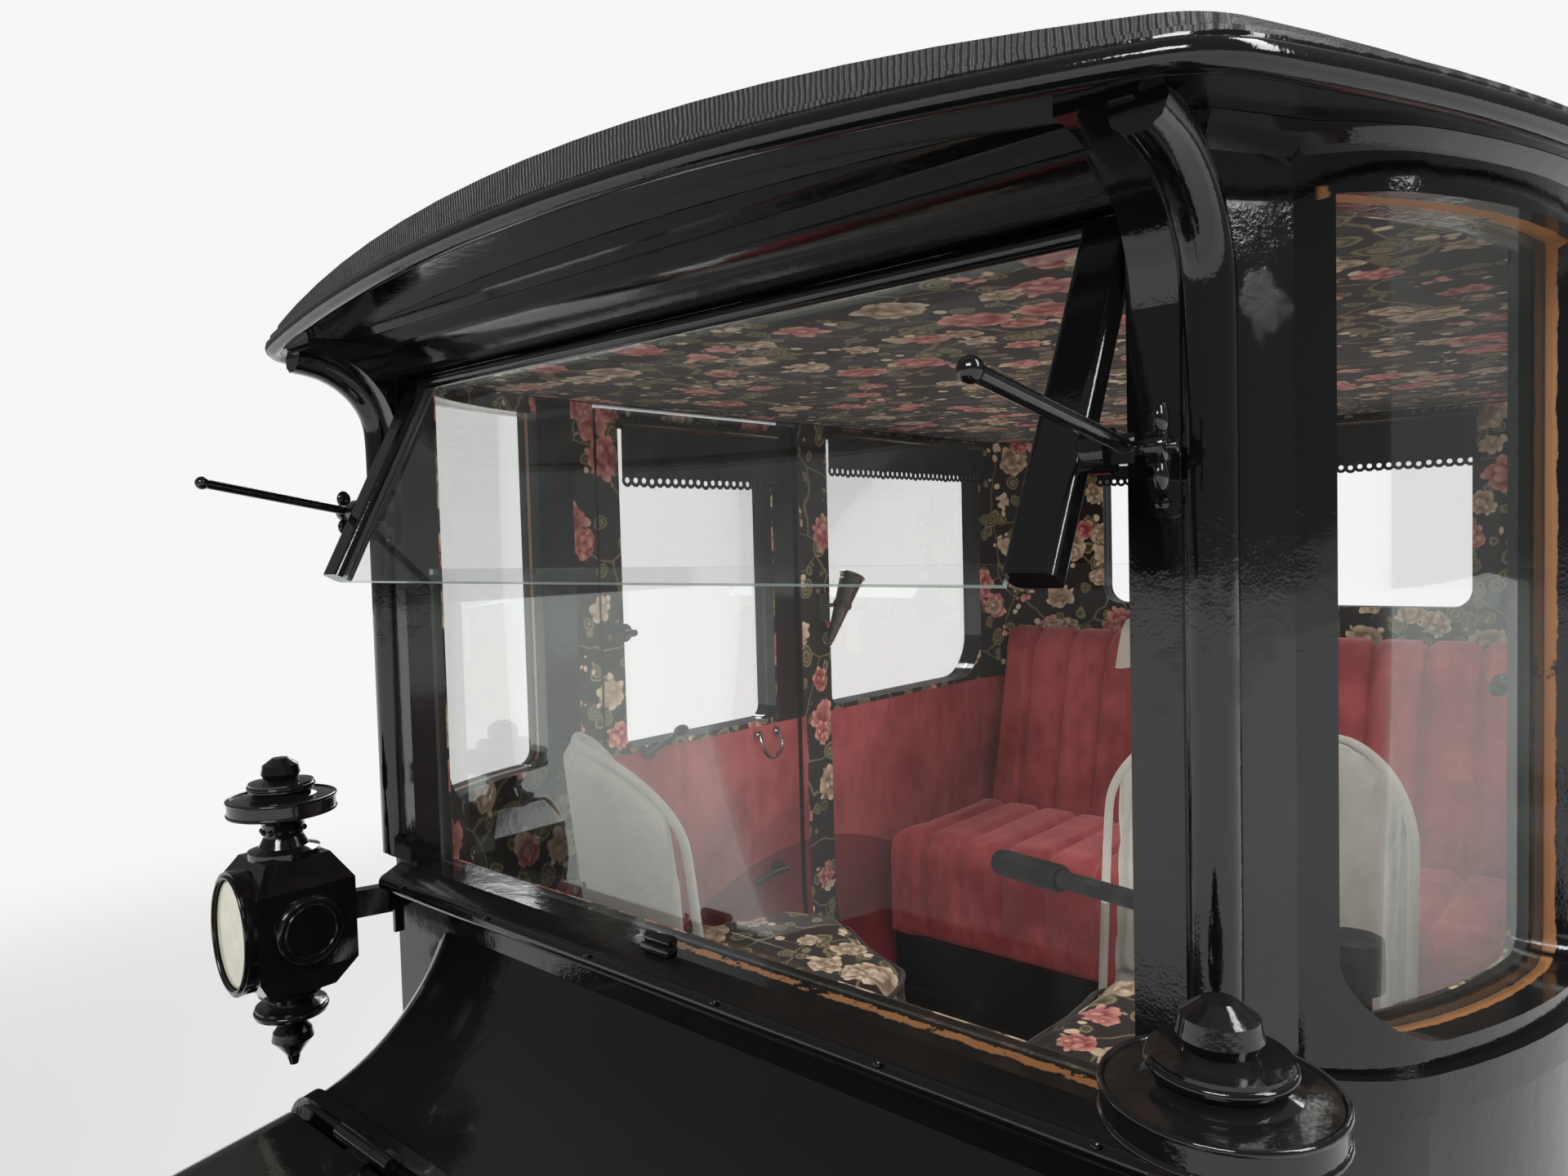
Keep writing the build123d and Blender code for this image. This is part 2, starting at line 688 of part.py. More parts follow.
def leaf_spring(centre_y, top_z):
    """A pack of curved leaves on the left rail's line, eyes at its two ends."""
    half = LEAF_LENGTHS[0] / 2
    master_r = (half * half + SPRING_RISE * SPRING_RISE) / (2 * SPRING_RISE)
    centre = (centre_y, top_z + master_r)
    pack = None
    for number, length in enumerate(LEAF_LENGTHS):
        inner = master_r + number * LEAF_T
        outer = inner + LEAF_T
        ends = (length / 2) / master_r
        pts = []
        for radius, side in ((inner, -1), (inner, 0), (inner, 1), (outer, 1), (outer, 0), (outer, -1)):
            turned = side * ends
            pts.append((centre[0] + radius * sin(turned), centre[1] - radius * cos(turned)))
        edges = [
            ThreePointArc(pts[0], pts[1], pts[2]),
            Line(pts[2], pts[3]),
            ThreePointArc(pts[3], pts[4], pts[5]),
            Line(pts[5], pts[0]),
        ]
        leaf = Pos(RAIL_X, 0, 0) * extrude(Plane.YZ * make_face(edges), LEAF_W / 2, both=True)
        pack = leaf if pack is None else pack + leaf
    for side in (-1, 1):
        y = centre_y + side * half
        z = top_z + SPRING_RISE
        pack = pack + Pos(RAIL_X, y, z) * Rot(Y=90) * Cylinder(SPRING_EYE_R, LEAF_W)
    return pack


def spring_hangers(centre_y, top_z):
    """The forked hangers between the left rail and a spring's two eyes."""
    hangers = []
    for side in (-1, 1):
        ears = []
        y = centre_y + side * LEAF_LENGTHS[0] / 2
        z = top_z + SPRING_RISE
        for hand in (-1, 1):
            near = RAIL_X + hand * (LEAF_W / 2 + SEAT)
            far = near + hand * EAR_T
            ear = slab(
                min(near, far), max(near, far), y - EAR_W / 2, y + EAR_W / 2, z, RAIL_TOP - RAIL_H - SEAT
            )
            tip = Pos((near + far) / 2, y, z) * Rot(Y=90) * Cylinder(EAR_W / 2, EAR_T)
            ears.append(ear + tip)
        reach = LEAF_W / 2 + SEAT + EAR_T
        foot_z = RAIL_TOP - RAIL_H
        cap = slab(
            RAIL_X - reach, RAIL_X + reach, y - EAR_W / 2, y + EAR_W / 2,
            foot_z - SEAT - EAR_T, foot_z - SEAT,
        )
        hangers.append(cap + ears)
    return hangers


# Chassis frame, with a wear pad at each jacking place
rail = slab(
    RAIL_X - RAIL_W / 2, RAIL_X + RAIL_W / 2, RAIL_FRONT_Y, RAIL_REAR_Y, RAIL_TOP - RAIL_H, RAIL_TOP
)
hollow = slab(
    RAIL_X - RAIL_W / 2 - 1.0, RAIL_X + RAIL_W / 2 - RAIL_WALL, RAIL_FRONT_Y - 1.0, RAIL_REAR_Y + 1.0,
    RAIL_TOP - RAIL_H + RAIL_WALL, RAIL_TOP - RAIL_WALL,
)
rail = rail - hollow
for pad_y in JACK_PAD_Y:
    rail = rail + slab(
        RAIL_X - RAIL_W / 2, RAIL_X + RAIL_W / 2, pad_y - JACK_PAD_LEN / 2, pad_y + JACK_PAD_LEN / 2,
        RAIL_TOP - RAIL_H - JACK_PAD_T, RAIL_TOP - RAIL_H,
    )
save("chassis_frame", *both_sides(rail))
cross_reach = RAIL_X + RAIL_W / 2 - RAIL_WALL - SEAT
cross_z = (RAIL_TOP - RAIL_H + RAIL_WALL + SEAT, RAIL_TOP - RAIL_WALL - SEAT)
crosses = []
for cross_y in CROSS_Y:
    crosses.append(slab(-cross_reach, cross_reach, cross_y - CROSS_W / 2, cross_y + CROSS_W / 2, *cross_z))
save("cross_members", *crosses)
front_spring_top = BEAM_Z[1] + SEAT + LEAF_T * len(LEAF_LENGTHS)
hangers = []
for hanger in spring_hangers(-AXLE_Y, front_spring_top) + spring_hangers(AXLE_Y, REAR_SPRING_TOP):
    hangers.extend(both_sides(hanger))
save("spring_hangers", *hangers)

# Springs
front_spring = leaf_spring(-AXLE_Y, front_spring_top)
rear_spring = leaf_spring(AXLE_Y, REAR_SPRING_TOP)
save("leaf_springs", *both_sides(front_spring), *both_sides(rear_spring))

# Front axle: a dropped beam that rises to the kingpin bosses
beam_half = [
    (0, BEAM_Z[0]),
    (BEAM_RISE_X[0] + 20.0, BEAM_Z[0]),
    (BEAM_RISE_X[1], BOSS_Z[0]),
    (KINGPIN_X, BOSS_Z[0]),
    (KINGPIN_X, BOSS_Z[1]),
    (BEAM_RISE_X[1] - 10.0, BOSS_Z[1]),
    (BEAM_RISE_X[0], BEAM_Z[1]),
    (0, BEAM_Z[1]),
]
beam_face = make_face(Polyline(*beam_half, close=True))
beam = Pos(0, -AXLE_Y, 0) * extrude(Plane.XZ * beam_face, AXLE_BEAM_W / 2, both=True)
boss_mid = (BOSS_Z[0] + BOSS_Z[1]) / 2
boss_h = BOSS_Z[1] - BOSS_Z[0]
beam = beam + Pos(KINGPIN_X, -AXLE_Y, boss_mid) * Cylinder(BOSS_R, boss_h)
beam = beam - Pos(KINGPIN_X, -AXLE_Y, boss_mid) * Cylinder(KINGPIN_R + SPINDLE_PLAY, boss_h + 2.0)
save("front_axle", Part() + both_sides(beam))

# Rear axle: tube, differential, torque tube and stubs
tube_end = WHEEL_X + HUB_IN - GAP
tube = rod((0, AXLE_Y, TYRE_R), (tube_end, AXLE_Y, TYRE_R), AXLE_TUBE_R)
stub = rod((tube_end, AXLE_Y, TYRE_R), (WHEEL_X + HUB_OUT - 2.0, AXLE_Y, TYRE_R), SPINDLE_R)
plate_x = WHEEL_X + HUB_IN - GAP
plate = Pos(plate_x - 3.0, AXLE_Y, TYRE_R) * Rot(Y=90) * Cylinder(DRUM_R - 6.0, 6.0)
half_axle = tube + stub + plate
gear_case = Pos(0, AXLE_Y, TYRE_R) * Sphere(DIFF_R)
torque_tube = rod((0, AXLE_Y, TYRE_R), (0, MOTOR_Y + MOTOR_LEN / 2 + 2 * SEAT, MOTOR_Z), AXLE_TUBE_R - 8.0)
save("rear_axle", gear_case + torque_tube + both_sides(half_axle))

# Motor, slung between two cross members
motor = Pos(0, MOTOR_Y, MOTOR_Z) * Rot(X=90) * Cylinder(MOTOR_R, MOTOR_LEN)
motor = fillet(motor.edges().filter_by(GeomType.CIRCLE), 24.0)
for cross_y, side in ((CROSS_Y[2] + CROSS_W / 2, 1), (CROSS_Y[3] - CROSS_W / 2, -1)):
    start = cross_y + side * SEAT
    end = MOTOR_Y - side * (MOTOR_LEN / 2 - MOTOR_LUG_SINK)
    motor = motor + slab(
        -MOTOR_LUG_HALF_W, MOTOR_LUG_HALF_W, min(start, end), max(start, end), *MOTOR_LUG_Z
    )
save("drive_motor", motor)

# Batteries, each a plain block on its box's floor
front_cells = slab(
    -BATTERY_X, BATTERY_X, BOX_FRONT_Y + 70.0, COWL_END_Y - 35.0, SILL_Z + BOX_WALL + SEAT, BATTERY_TOP
)
rear_cells = slab(
    -BATTERY_X, BATTERY_X, REAR_Y + 60.0, BOX_REAR_Y - 70.0, SILL_Z + BOX_WALL + SEAT, BATTERY_TOP
)
save("battery_blocks", front_cells, rear_cells)


def knuckle(left):
    """The steered fork with its kingpin, spindle and arms, on the left side."""
    centre = Pos(KINGPIN_X, -AXLE_Y, 0)
    low = (BOSS_Z[0] - FORK_GAP - FORK_T, BOSS_Z[0] - FORK_GAP)
    high = (BOSS_Z[1] + FORK_GAP, BOSS_Z[1] + FORK_GAP + FORK_T)
    plate_x = WHEEL_X + HUB_IN - GAP
    body = slab(
        plate_x - 14.0, plate_x, -AXLE_Y - FORK_R, -AXLE_Y + FORK_R, low[0], high[1]
    )
    for z0, z1 in (low, high):
        body = body + centre * Pos(0, 0, (z0 + z1) / 2) * Cylinder(FORK_R, FORK_T)
        body = body + slab(KINGPIN_X, plate_x - 5.0, -AXLE_Y - FORK_R, -AXLE_Y + FORK_R, z0, z1)
    body = body + centre * Pos(0, 0, (low[0] + high[1]) / 2) * Cylinder(KINGPIN_R, high[1] - low[0] + 12.0)
    spindle_end = (WHEEL_X + HUB_OUT - 2.0, -AXLE_Y, TYRE_R)
    body = body + rod((plate_x - 4.0, -AXLE_Y, TYRE_R), spindle_end, SPINDLE_R)
    arm_end = -AXLE_Y + TIE_ARM
    body = body + slab(KINGPIN_X - ARM_W / 2, KINGPIN_X + ARM_W / 2, -AXLE_Y, arm_end, low[0], low[1])
    body = body + Pos(KINGPIN_X, arm_end, (low[0] + low[1]) / 2) * Cylinder(ARM_W / 2, FORK_T)
    play = SPINDLE_PLAY if left else OPEN_PIVOT_PLAY
    body = body - Pos(KINGPIN_X, arm_end, (low[0] + low[1]) / 2) * Cylinder(PIN_R + play, FORK_T + 2.0)
    if left:
        end_x = KINGPIN_X - DRAG_ARM
        sides = (-AXLE_Y - ARM_W / 2, -AXLE_Y + ARM_W / 2)
        body = body + slab(end_x, KINGPIN_X, *sides, high[1] - 1.0, DRAG_ARM_TOP)
        body = body + Pos(end_x, -AXLE_Y, (high[1] - 1.0 + DRAG_ARM_TOP) / 2) * Cylinder(
            ARM_W / 2, DRAG_ARM_TOP - high[1] + 1.0
        )
        body = body + Pos(end_x, -AXLE_Y, DRAG_ARM_TOP + EYE_T / 2 + 1.0) * Cylinder(PIN_R, EYE_T + 4.0)
    return body


def link(start, end, radius, z, eye_r, bores):
    """A straight link between two eyes, with the given bore radius at each eye, or none."""
    a = (start[0], start[1], z)
    b = (end[0], end[1], z)
    body = rod(a, b, radius)
    for place in (a, b):
        body = body + Pos(*place) * Cylinder(eye_r, EYE_T)
    for place, bore in zip((a, b), bores):
        if bore:
            body = body - Pos(*place) * Cylinder(bore, EYE_T + 4.0)
    return body


save("knuckle_left", knuckle(True))
save("knuckle_right", mirror(knuckle(False), about=Plane.YZ))

# Tie rod under the steering arms, its pins standing up into them
arm_low = BOSS_Z[0] - FORK_GAP - FORK_T
tie_z = arm_low - 1.0 - EYE_T / 2
tie_y = -AXLE_Y + TIE_ARM
tie = link((KINGPIN_X, tie_y), (-KINGPIN_X, tie_y), TIE_R, tie_z, ARM_W / 2, (None, None))
for hand in (-1, 1):
    tie = tie + Pos(hand * KINGPIN_X, tie_y, arm_low + FORK_T / 2) * Cylinder(PIN_R, FORK_T + 4.0)
save("tie_rod", tie)

# Drag link from the tiller shaft's arm to the left knuckle
drag_z = DRAG_ARM_TOP + 1.0 + EYE_T / 2
shaft_pin = (TILLER_X - DRAG_ARM, TILLER_Y)
knuckle_pin = (KINGPIN_X - DRAG_ARM, -AXLE_Y)
drag = link(
    shaft_pin, knuckle_pin, DRAG_R, drag_z, ARM_W / 2, (PIN_R + SPINDLE_PLAY, PIN_R + OPEN_PIVOT_PLAY)
)
save("drag_link", drag)

# Tiller: shaft, lower arm with its pin, hub, lever and grip
shaft_low = DRAG_ARM_TOP - ARM_LIFT
tiller = rod((TILLER_X, TILLER_Y, shaft_low), (TILLER_X, TILLER_Y, TILLER_Z + 20.0), TILLER_SHAFT_R)
tiller = tiller + Pos(TILLER_X, TILLER_Y, TILLER_Z) * Cylinder(26.0, 44.0)
tiller = tiller + slab(
    TILLER_X - DRAG_ARM, TILLER_X, TILLER_Y - ARM_W / 2, TILLER_Y + ARM_W / 2, shaft_low, DRAG_ARM_TOP
)
tiller = tiller + Pos(*shaft_pin, shaft_low + ARM_LIFT / 2) * Cylinder(ARM_W / 2, ARM_LIFT)
tiller = tiller + Pos(*shaft_pin, DRAG_ARM_TOP + EYE_T / 2 + 1.0) * Cylinder(PIN_R, EYE_T + 4.0)
lever_start = Vector(TILLER_X, TILLER_Y, TILLER_Z)
lever = Vector(*TILLER_END) - lever_start
grip_start = Vector(*TILLER_END) - lever.normalized() * TILLER_GRIP_LEN
tiller = tiller + rod(tuple(lever_start), TILLER_END, TILLER_ROD_R)
grip = rod(tuple(grip_start), TILLER_END, TILLER_GRIP_R)
tiller = tiller + fillet(grip.edges().filter_by(GeomType.CIRCLE), 5.0)
save("steering_tiller", tiller)

# Wheels and tyres
for fore, hand, name in WHEELS:
    for kind, shape in (("wheel", wheel(fore > 0)), ("tyre", tyre())):
        if hand < 0:
            shape = mirror(shape, about=Plane.YZ)
        save(f"{kind}_{name}", Pos(hand * WHEEL_X, fore * AXLE_Y, TYRE_R) * shape)


def fender():
    """The left front fender: a crowned sheet swept from the running board over the wheel."""
    tip = radians(180.0 - FENDER_TIP_ANGLE)
    leave = radians(FENDER_LEAVE_ANGLE)
    centre = (-AXLE_Y, TYRE_R)
    top = (centre[0], centre[1] + FENDER_R)
    tip_point = (centre[0] - FENDER_R * cos(tip), centre[1] + FENDER_R * sin(tip))
    leave_point = (centre[0] + FENDER_R * cos(leave), centre[1] + FENDER_R * sin(leave))
    fall = radians(90.0) - leave
    board_z = BOARD_TOP + FENDER_T + SEAT
    arc_drop = FENDER_SWEEP_R * (1 - cos(fall))
    line_drop = leave_point[1] - board_z - arc_drop
    line_end = (leave_point[0] + line_drop * cos(fall) / sin(fall), leave_point[1] - line_drop)
    arc_end = (line_end[0] + FENDER_SWEEP_R * sin(fall), board_z)
    half_fall = fall / 2
    arc_mid = (
        arc_end[0] - FENDER_SWEEP_R * sin(half_fall),
        board_z + FENDER_SWEEP_R * (1 - cos(half_fall)),
    )
    x = (FENDER_IN_X + FENDER_OUT_X) / 2

    def at(point):
        return (x, point[0], point[1])

    path = Wire([
        ThreePointArc(at(arc_end), at(arc_mid), at(line_end)),
        Line(at(line_end), at(leave_point)),
        ThreePointArc(at(leave_point), at(top), at(tip_point)),
    ])
    half = (FENDER_OUT_X - FENDER_IN_X) / 2
    section = make_face([
        Line((-half, 0), (-half, -FENDER_T)),
        ThreePointArc((-half, -FENDER_T), (0, FENDER_CROWN - FENDER_T), (half - FENDER_T, -FENDER_T + 0.8)),
        Line((half - FENDER_T, -FENDER_T + 0.8), (half - FENDER_T, -FENDER_LIP)),
        Line((half - FENDER_T, -FENDER_LIP), (half, -FENDER_LIP)),
        Line((half, -FENDER_LIP), (half, 0)),
        ThreePointArc((half, 0), (0, FENDER_CROWN), (-half, 0)),
    ])
    start = Plane(origin=at(arc_end), x_dir=(1, 0, 0), z_dir=(0, -1, 0))
    return sweep(start * section, path=path), arc_end[0]


def fender_iron(rail_end_y):
    """The iron from a left rail's end out to the fender's free end."""
    sign = -1 if rail_end_y < 0 else 1
    z = RAIL_TOP - RAIL_H / 2
    height = z + 22.0 - TYRE_R
    reach = FENDER_R + FENDER_CROWN - FENDER_T + 2.0
    out = sqrt(reach * reach - height * height)
    inside = RAIL_X + RAIL_W / 2
    foot = (inside - 20.0, rail_end_y - sign * 65.0, z)
    iron = rod(foot, (WHEEL_X, sign * (AXLE_Y + out), z + 22.0), IRON_R)
    return iron - slab(0, inside + SEAT, rail_end_y - 100.0, rail_end_y + 100.0, z - 40.0, z + 40.0)


# Fenders, each with the iron that carries its free end
front_sheet, board_end_y = fender()
front_fender = front_sheet + fender_iron(RAIL_FRONT_Y)
rear_fender = mirror(front_sheet, about=Plane.XZ) + fender_iron(RAIL_REAR_Y)
save("fenders", *both_sides(front_fender), *both_sides(rear_fender))

# Running boards, the aprons on them and the brackets that carry them from the rails
apron_in_x = APRON_X - APRON_T
board_low_z = BOARD_TOP - BOARD_T
board = slab(APRON_X + SEAT, FENDER_OUT_X, board_end_y, -board_end_y, board_low_z, BOARD_TOP)
board = fillet(board.edges().filter_by(Axis.Y).group_by(Axis.X)[-1], BOARD_EDGE_R)
save("running_boards", *both_sides(board))
apron = slab(apron_in_x, APRON_X, board_end_y, -board_end_y, board_low_z, SILL_Z - SEAT)
save("side_aprons", *both_sides(apron))
brackets = []
for bracket_y in BRACKET_Y:
    start = (RAIL_X, bracket_y, RAIL_TOP - RAIL_H + BRACKET_RISE)
    knee = (APRON_X - BRACKET_KNEE, bracket_y, board_low_z - BRACKET_DROP)
    end = (FENDER_OUT_X - BRACKET_SHORT, bracket_y, board_low_z - BRACKET_DROP)
    bracket = rod(start, knee, IRON_R) + rod(knee, end, IRON_R) + Pos(*knee) * Sphere(IRON_R)
    bracket = bracket - slab(0, RAIL_X + RAIL_W / 2 + SEAT, board_end_y, -board_end_y, 0, RAIL_TOP)
    bracket = bracket - slab(
        apron_in_x - SEAT, FENDER_OUT_X, board_end_y, -board_end_y, board_low_z - SEAT, BOARD_TOP
    )
    brackets.extend(both_sides(bracket))
save("board_brackets", *brackets)


def wheel_house(grow=0.0):
    """The spaces over the two rear wheels that are cut out of the cabin, grown by a distance."""
    room = Pos(ARCH_IN_X - grow + 100.0, AXLE_Y, TYRE_R) * Rot(Y=90) * Cylinder(ARCH_R + grow, 200.0)
    return Part() + both_sides(room)


# Cabin walls, cut from one hollow shell
outer, inner, belt = cabin_shell()
shell = outer - inner + belt
side_holes = (
    side_window(*CORNER_WINDOW_Y, front_r=CORNER_WINDOW_R),
    side_window(*DOOR_WINDOW_Y),
    side_window(*QUARTER_WINDOW_Y, rear_r=QUARTER_WINDOW_R),
)
for hole in side_holes:
    shell = shell - both_sides(hole)
shell = shell - back_window()
screen_y = (FRONT_Y - 20.0, FRONT_Y + WALL + 20.0)
shell = shell - slab(-SCREEN_HALF_W, SCREEN_HALF_W, *screen_y, SCREEN_SILL, SCREEN_HEAD)
shell = shell + (wheel_house(ARCH_WALL) & outer) - wheel_house()


def flare(drop=0.0):
    """The block over the walls whose lower edge sweeps out under the roof's overhang."""
    z = WALL_TOP - drop
    whole = upright(body_plan(FLARE_STEPS[-1][0]), z + FLARE_STEPS[-1][1], ROOF_TOP_Z)
    for low, high in zip(FLARE_STEPS, FLARE_STEPS[1:]):
        lower = Pos(0, 0, z + low[1]) * body_plan(low[0])
        upper = Pos(0, 0, z + high[1]) * body_plan(high[0])
        whole = whole + loft([lower, upper], ruled=True)
    return whole


def under_roof(shape):
    """A front piece trimmed to stop just under the roof and its flare."""
    return (shape & crown(ROOF_UNDER_Z - SEAT, ROOF_UNDER_R, CROWN_DEPTH_TALL)) - flare(SEAT)


def front_cove(low_z, reach, x0, x1):
    """A concave moulding from the front wall up and out under the roof."""
    edges = [
        ThreePointArc(
            (FRONT_Y, low_z),
            (FRONT_Y - 0.3 * reach, low_z + 0.72 * (WALL_TOP - low_z)),
            (FRONT_Y - reach, WALL_TOP + 2.0),
        ),
        Line((FRONT_Y - reach, WALL_TOP + 2.0), (FRONT_Y - reach, WALL_TOP + 60.0)),
        Line((FRONT_Y - reach, WALL_TOP + 60.0), (FRONT_Y + 1.0, WALL_TOP + 60.0)),
        Line((FRONT_Y + 1.0, WALL_TOP + 60.0), (FRONT_Y + 1.0, low_z)),
        Line((FRONT_Y + 1.0, low_z), (FRONT_Y, low_z)),
    ]
    return under_roof(extrude(Plane.YZ.offset(x0) * make_face(edges), x1 - x0))


# Floor with the tiller shaft's collar
floor_slab = shell & slab(-WIDE, WIDE, *BODY_DEPTH, SILL_Z - 1.0, FLOOR_TOP)
collar = Pos(TILLER_X, TILLER_Y, FLOOR_TOP + COLLAR_H / 2) * Cylinder(COLLAR_R, COLLAR_H)
shaft_hole = Cylinder(TILLER_SHAFT_R + SPINDLE_PLAY, 4 * (FLOOR_TOP - SILL_Z))
shaft_hole = Pos(TILLER_X, TILLER_Y, FLOOR_TOP) * shaft_hole
save("floor", floor_slab + collar - shaft_hole)
walls = shell & slab(-WIDE, WIDE, *BODY_DEPTH, FLOOR_TOP, WALL_TOP)

# Front frame: dash, windscreen pillars, header, coves and the lip under the glass
front_frame = walls & slab(-WIDE, WIDE, BODY_DEPTH[0], FRONT_SPLIT_Y, FLOOR_TOP, WALL_TOP)
pillar_cove = front_cove(WALL_TOP - 90.0, COVE_REACH, PILLAR_FRONT_X - COVE_W, PILLAR_FRONT_X)
header_cove = front_cove(SCREEN_HEAD + 6.0, HEADER_COVE_REACH, -SCREEN_HALF_W - 8.0, SCREEN_HALF_W + 8.0)
lip_edges = [
    Line((FRONT_Y + 1.0, SCREEN_SILL), (FRONT_Y, SCREEN_SILL)),
    Line((FRONT_Y, SCREEN_SILL), (FRONT_Y - SCREEN_LIP + 8.0, SCREEN_SILL - 10.0)),
    ThreePointArc(
        (FRONT_Y - SCREEN_LIP + 8.0, SCREEN_SILL - 10.0),
        (FRONT_Y - SCREEN_LIP, SCREEN_SILL - 20.0),
        (FRONT_Y - SCREEN_LIP + 8.0, SCREEN_SILL - 30.0),
    ),
    Line((FRONT_Y - SCREEN_LIP + 8.0, SCREEN_SILL - 30.0), (FRONT_Y, SCREEN_SILL - SCREEN_LIP_H)),
    Line((FRONT_Y, SCREEN_SILL - SCREEN_LIP_H), (FRONT_Y + 1.0, SCREEN_SILL - SCREEN_LIP_H)),
    Line((FRONT_Y + 1.0, SCREEN_SILL - SCREEN_LIP_H), (FRONT_Y + 1.0, SCREEN_SILL)),
]
lip = extrude(Plane.YZ * make_face(lip_edges), PILLAR_FRONT_X - 10.0, both=True)
front_frame = front_frame + header_cove + lip
for piece in both_sides(pillar_cove):
    front_frame = front_frame + piece
save("front_frame", front_frame)


def hinge_leaf(z, toward, length):
    """A hinge leaf at a height, let into the wall before or behind the door's front edge."""
    start = DOOR_FRONT_Y + toward * GAP
    end = start + toward * HINGE_LEAF
    low_x = HALF_W - HINGE_SINK
    return slab(low_x, HINGE_X, min(start, end), max(start, end), z - length / 2, z + length / 2)


def post_hinges():
    """The parts of the door hinges that stay with the front post."""
    pieces = []
    for z in HINGE_Z:
        for side in (-1, 1):
            middle = z + side * HINGE_LEN / 3
            length = HINGE_LEN / 3 - 1.0
            ends = (middle - length / 2, middle + length / 2)
            arm = slab(HINGE_X - 4.0, HINGE_X, DOOR_FRONT_Y - GAP - 1.0, DOOR_FRONT_Y, *ends)
            barrel = Pos(HINGE_X, DOOR_FRONT_Y, middle) * Cylinder(HINGE_R, length)
            bore = Pos(HINGE_X, DOOR_FRONT_Y, middle) * Cylinder(HINGE_PIN_R + SPINDLE_PLAY, 2 * length)
            pieces.append(hinge_leaf(middle, -1, length) + (barrel + arm - bore))
    return pieces


def door_hinges():
    """The parts of the hinges that turn with the left door."""
    pieces = []
    for z in HINGE_Z:
        length = HINGE_LEN / 3
        arm_z = (z - length / 2, z + length / 2)
        arm = slab(HINGE_X - 4.0, HINGE_X, DOOR_FRONT_Y, DOOR_FRONT_Y + GAP + 1.0, *arm_z)
        barrel = Pos(HINGE_X, DOOR_FRONT_Y, z) * Cylinder(HINGE_R, length)
        pin = Pos(HINGE_X, DOOR_FRONT_Y, z) * Cylinder(HINGE_PIN_R, HINGE_LEN - 1.0)
        pieces.append(hinge_leaf(z, 1, length) + barrel + pin + arm)
    return pieces


# Front corner panels with the door posts
corner_panel = walls & slab(0, WIDE, FRONT_SPLIT_Y, DOOR_FRONT_Y, FLOOR_TOP, WALL_TOP)
for piece in post_hinges():
    corner_panel = corner_panel + piece
save("corner_panels", *both_sides(corner_panel))

# Doors, their rear edges bevelled so that the inner corner clears the post
door_edges = Polyline(
    (HALF_W - WALL - 100.0, DOOR_FRONT_Y + GAP),
    (WIDE, DOOR_FRONT_Y + GAP),
    (WIDE, DOOR_REAR_Y - GAP),
    (HALF_W, DOOR_REAR_Y - GAP),
    (HALF_W - WALL, DOOR_REAR_Y - GAP - DOOR_BEVEL),
    (HALF_W - WALL - 100.0, DOOR_REAR_Y - GAP - DOOR_BEVEL),
    close=True,
)
door = walls & upright(make_face(door_edges), DOOR_BOTTOM, DOOR_TOP)
for piece in door_hinges():
    door = door + piece
handle_y = DOOR_REAR_Y - 55.0
handle_z = BELT_Z - 90.0
door = door + rod((HALF_W - 4.0, handle_y, handle_z), (HALF_W + HANDLE_OUT, handle_y, handle_z), 9.0)
door = door + Pos(HALF_W + 2.0, handle_y, handle_z) * Rot(Y=90) * Cylinder(22.0, 6.0)
door = door + rod(
    (HALF_W + HANDLE_OUT, handle_y + 14.0, handle_z), (HALF_W + HANDLE_OUT, handle_y - 90.0, handle_z), 8.0
)
left_door, right_door = both_sides(door)
save("door_left", left_door)
save("door_right", right_door)

# Rear quarters and back panel
quarter = walls & slab(BACK_SPLIT_X, WIDE, DOOR_REAR_Y, BODY_DEPTH[1], FLOOR_TOP, WALL_TOP)
save("rear_quarters", *both_sides(quarter))
back_panel = walls & slab(-BACK_SPLIT_X, BACK_SPLIT_X, 0.0, BODY_DEPTH[1], FLOOR_TOP, WALL_TOP)
save("back_panel", back_panel)

# Glass
pane_outer = upright(body_plan(-GLASS_SET), WINDOW_SILL - 5.0, WINDOW_HEAD + 5.0)
pane_inner = upright(body_plan(-GLASS_SET - GLASS_T), WINDOW_SILL - 5.0, WINDOW_HEAD + 5.0)
pane_ring = pane_outer - pane_inner
corner_pane = pane_ring & side_window(*CORNER_WINDOW_Y, shrink=SEAT, front_r=CORNER_WINDOW_R)
quarter_pane = pane_ring & side_window(*QUARTER_WINDOW_Y, shrink=SEAT, rear_r=QUARTER_WINDOW_R)
door_pane = pane_ring & side_window(*DOOR_WINDOW_Y, shrink=SEAT)
back_pane = pane_ring & back_window(SEAT)
save("cabin_glass", *both_sides(corner_pane), *both_sides(quarter_pane), back_pane)
left_pane, right_pane = both_sides(door_pane)
save("door_glass_left", left_pane)
save("door_glass_right", right_pane)
lower_glass = slab(
    -SCREEN_HALF_W + SEAT, SCREEN_HALF_W - SEAT, SCREEN_Y - GLASS_T / 2, SCREEN_Y + GLASS_T / 2,
    SCREEN_SILL + SEAT, LOWER_GLASS_TOP,
)
save("windscreen_glass", lower_glass)

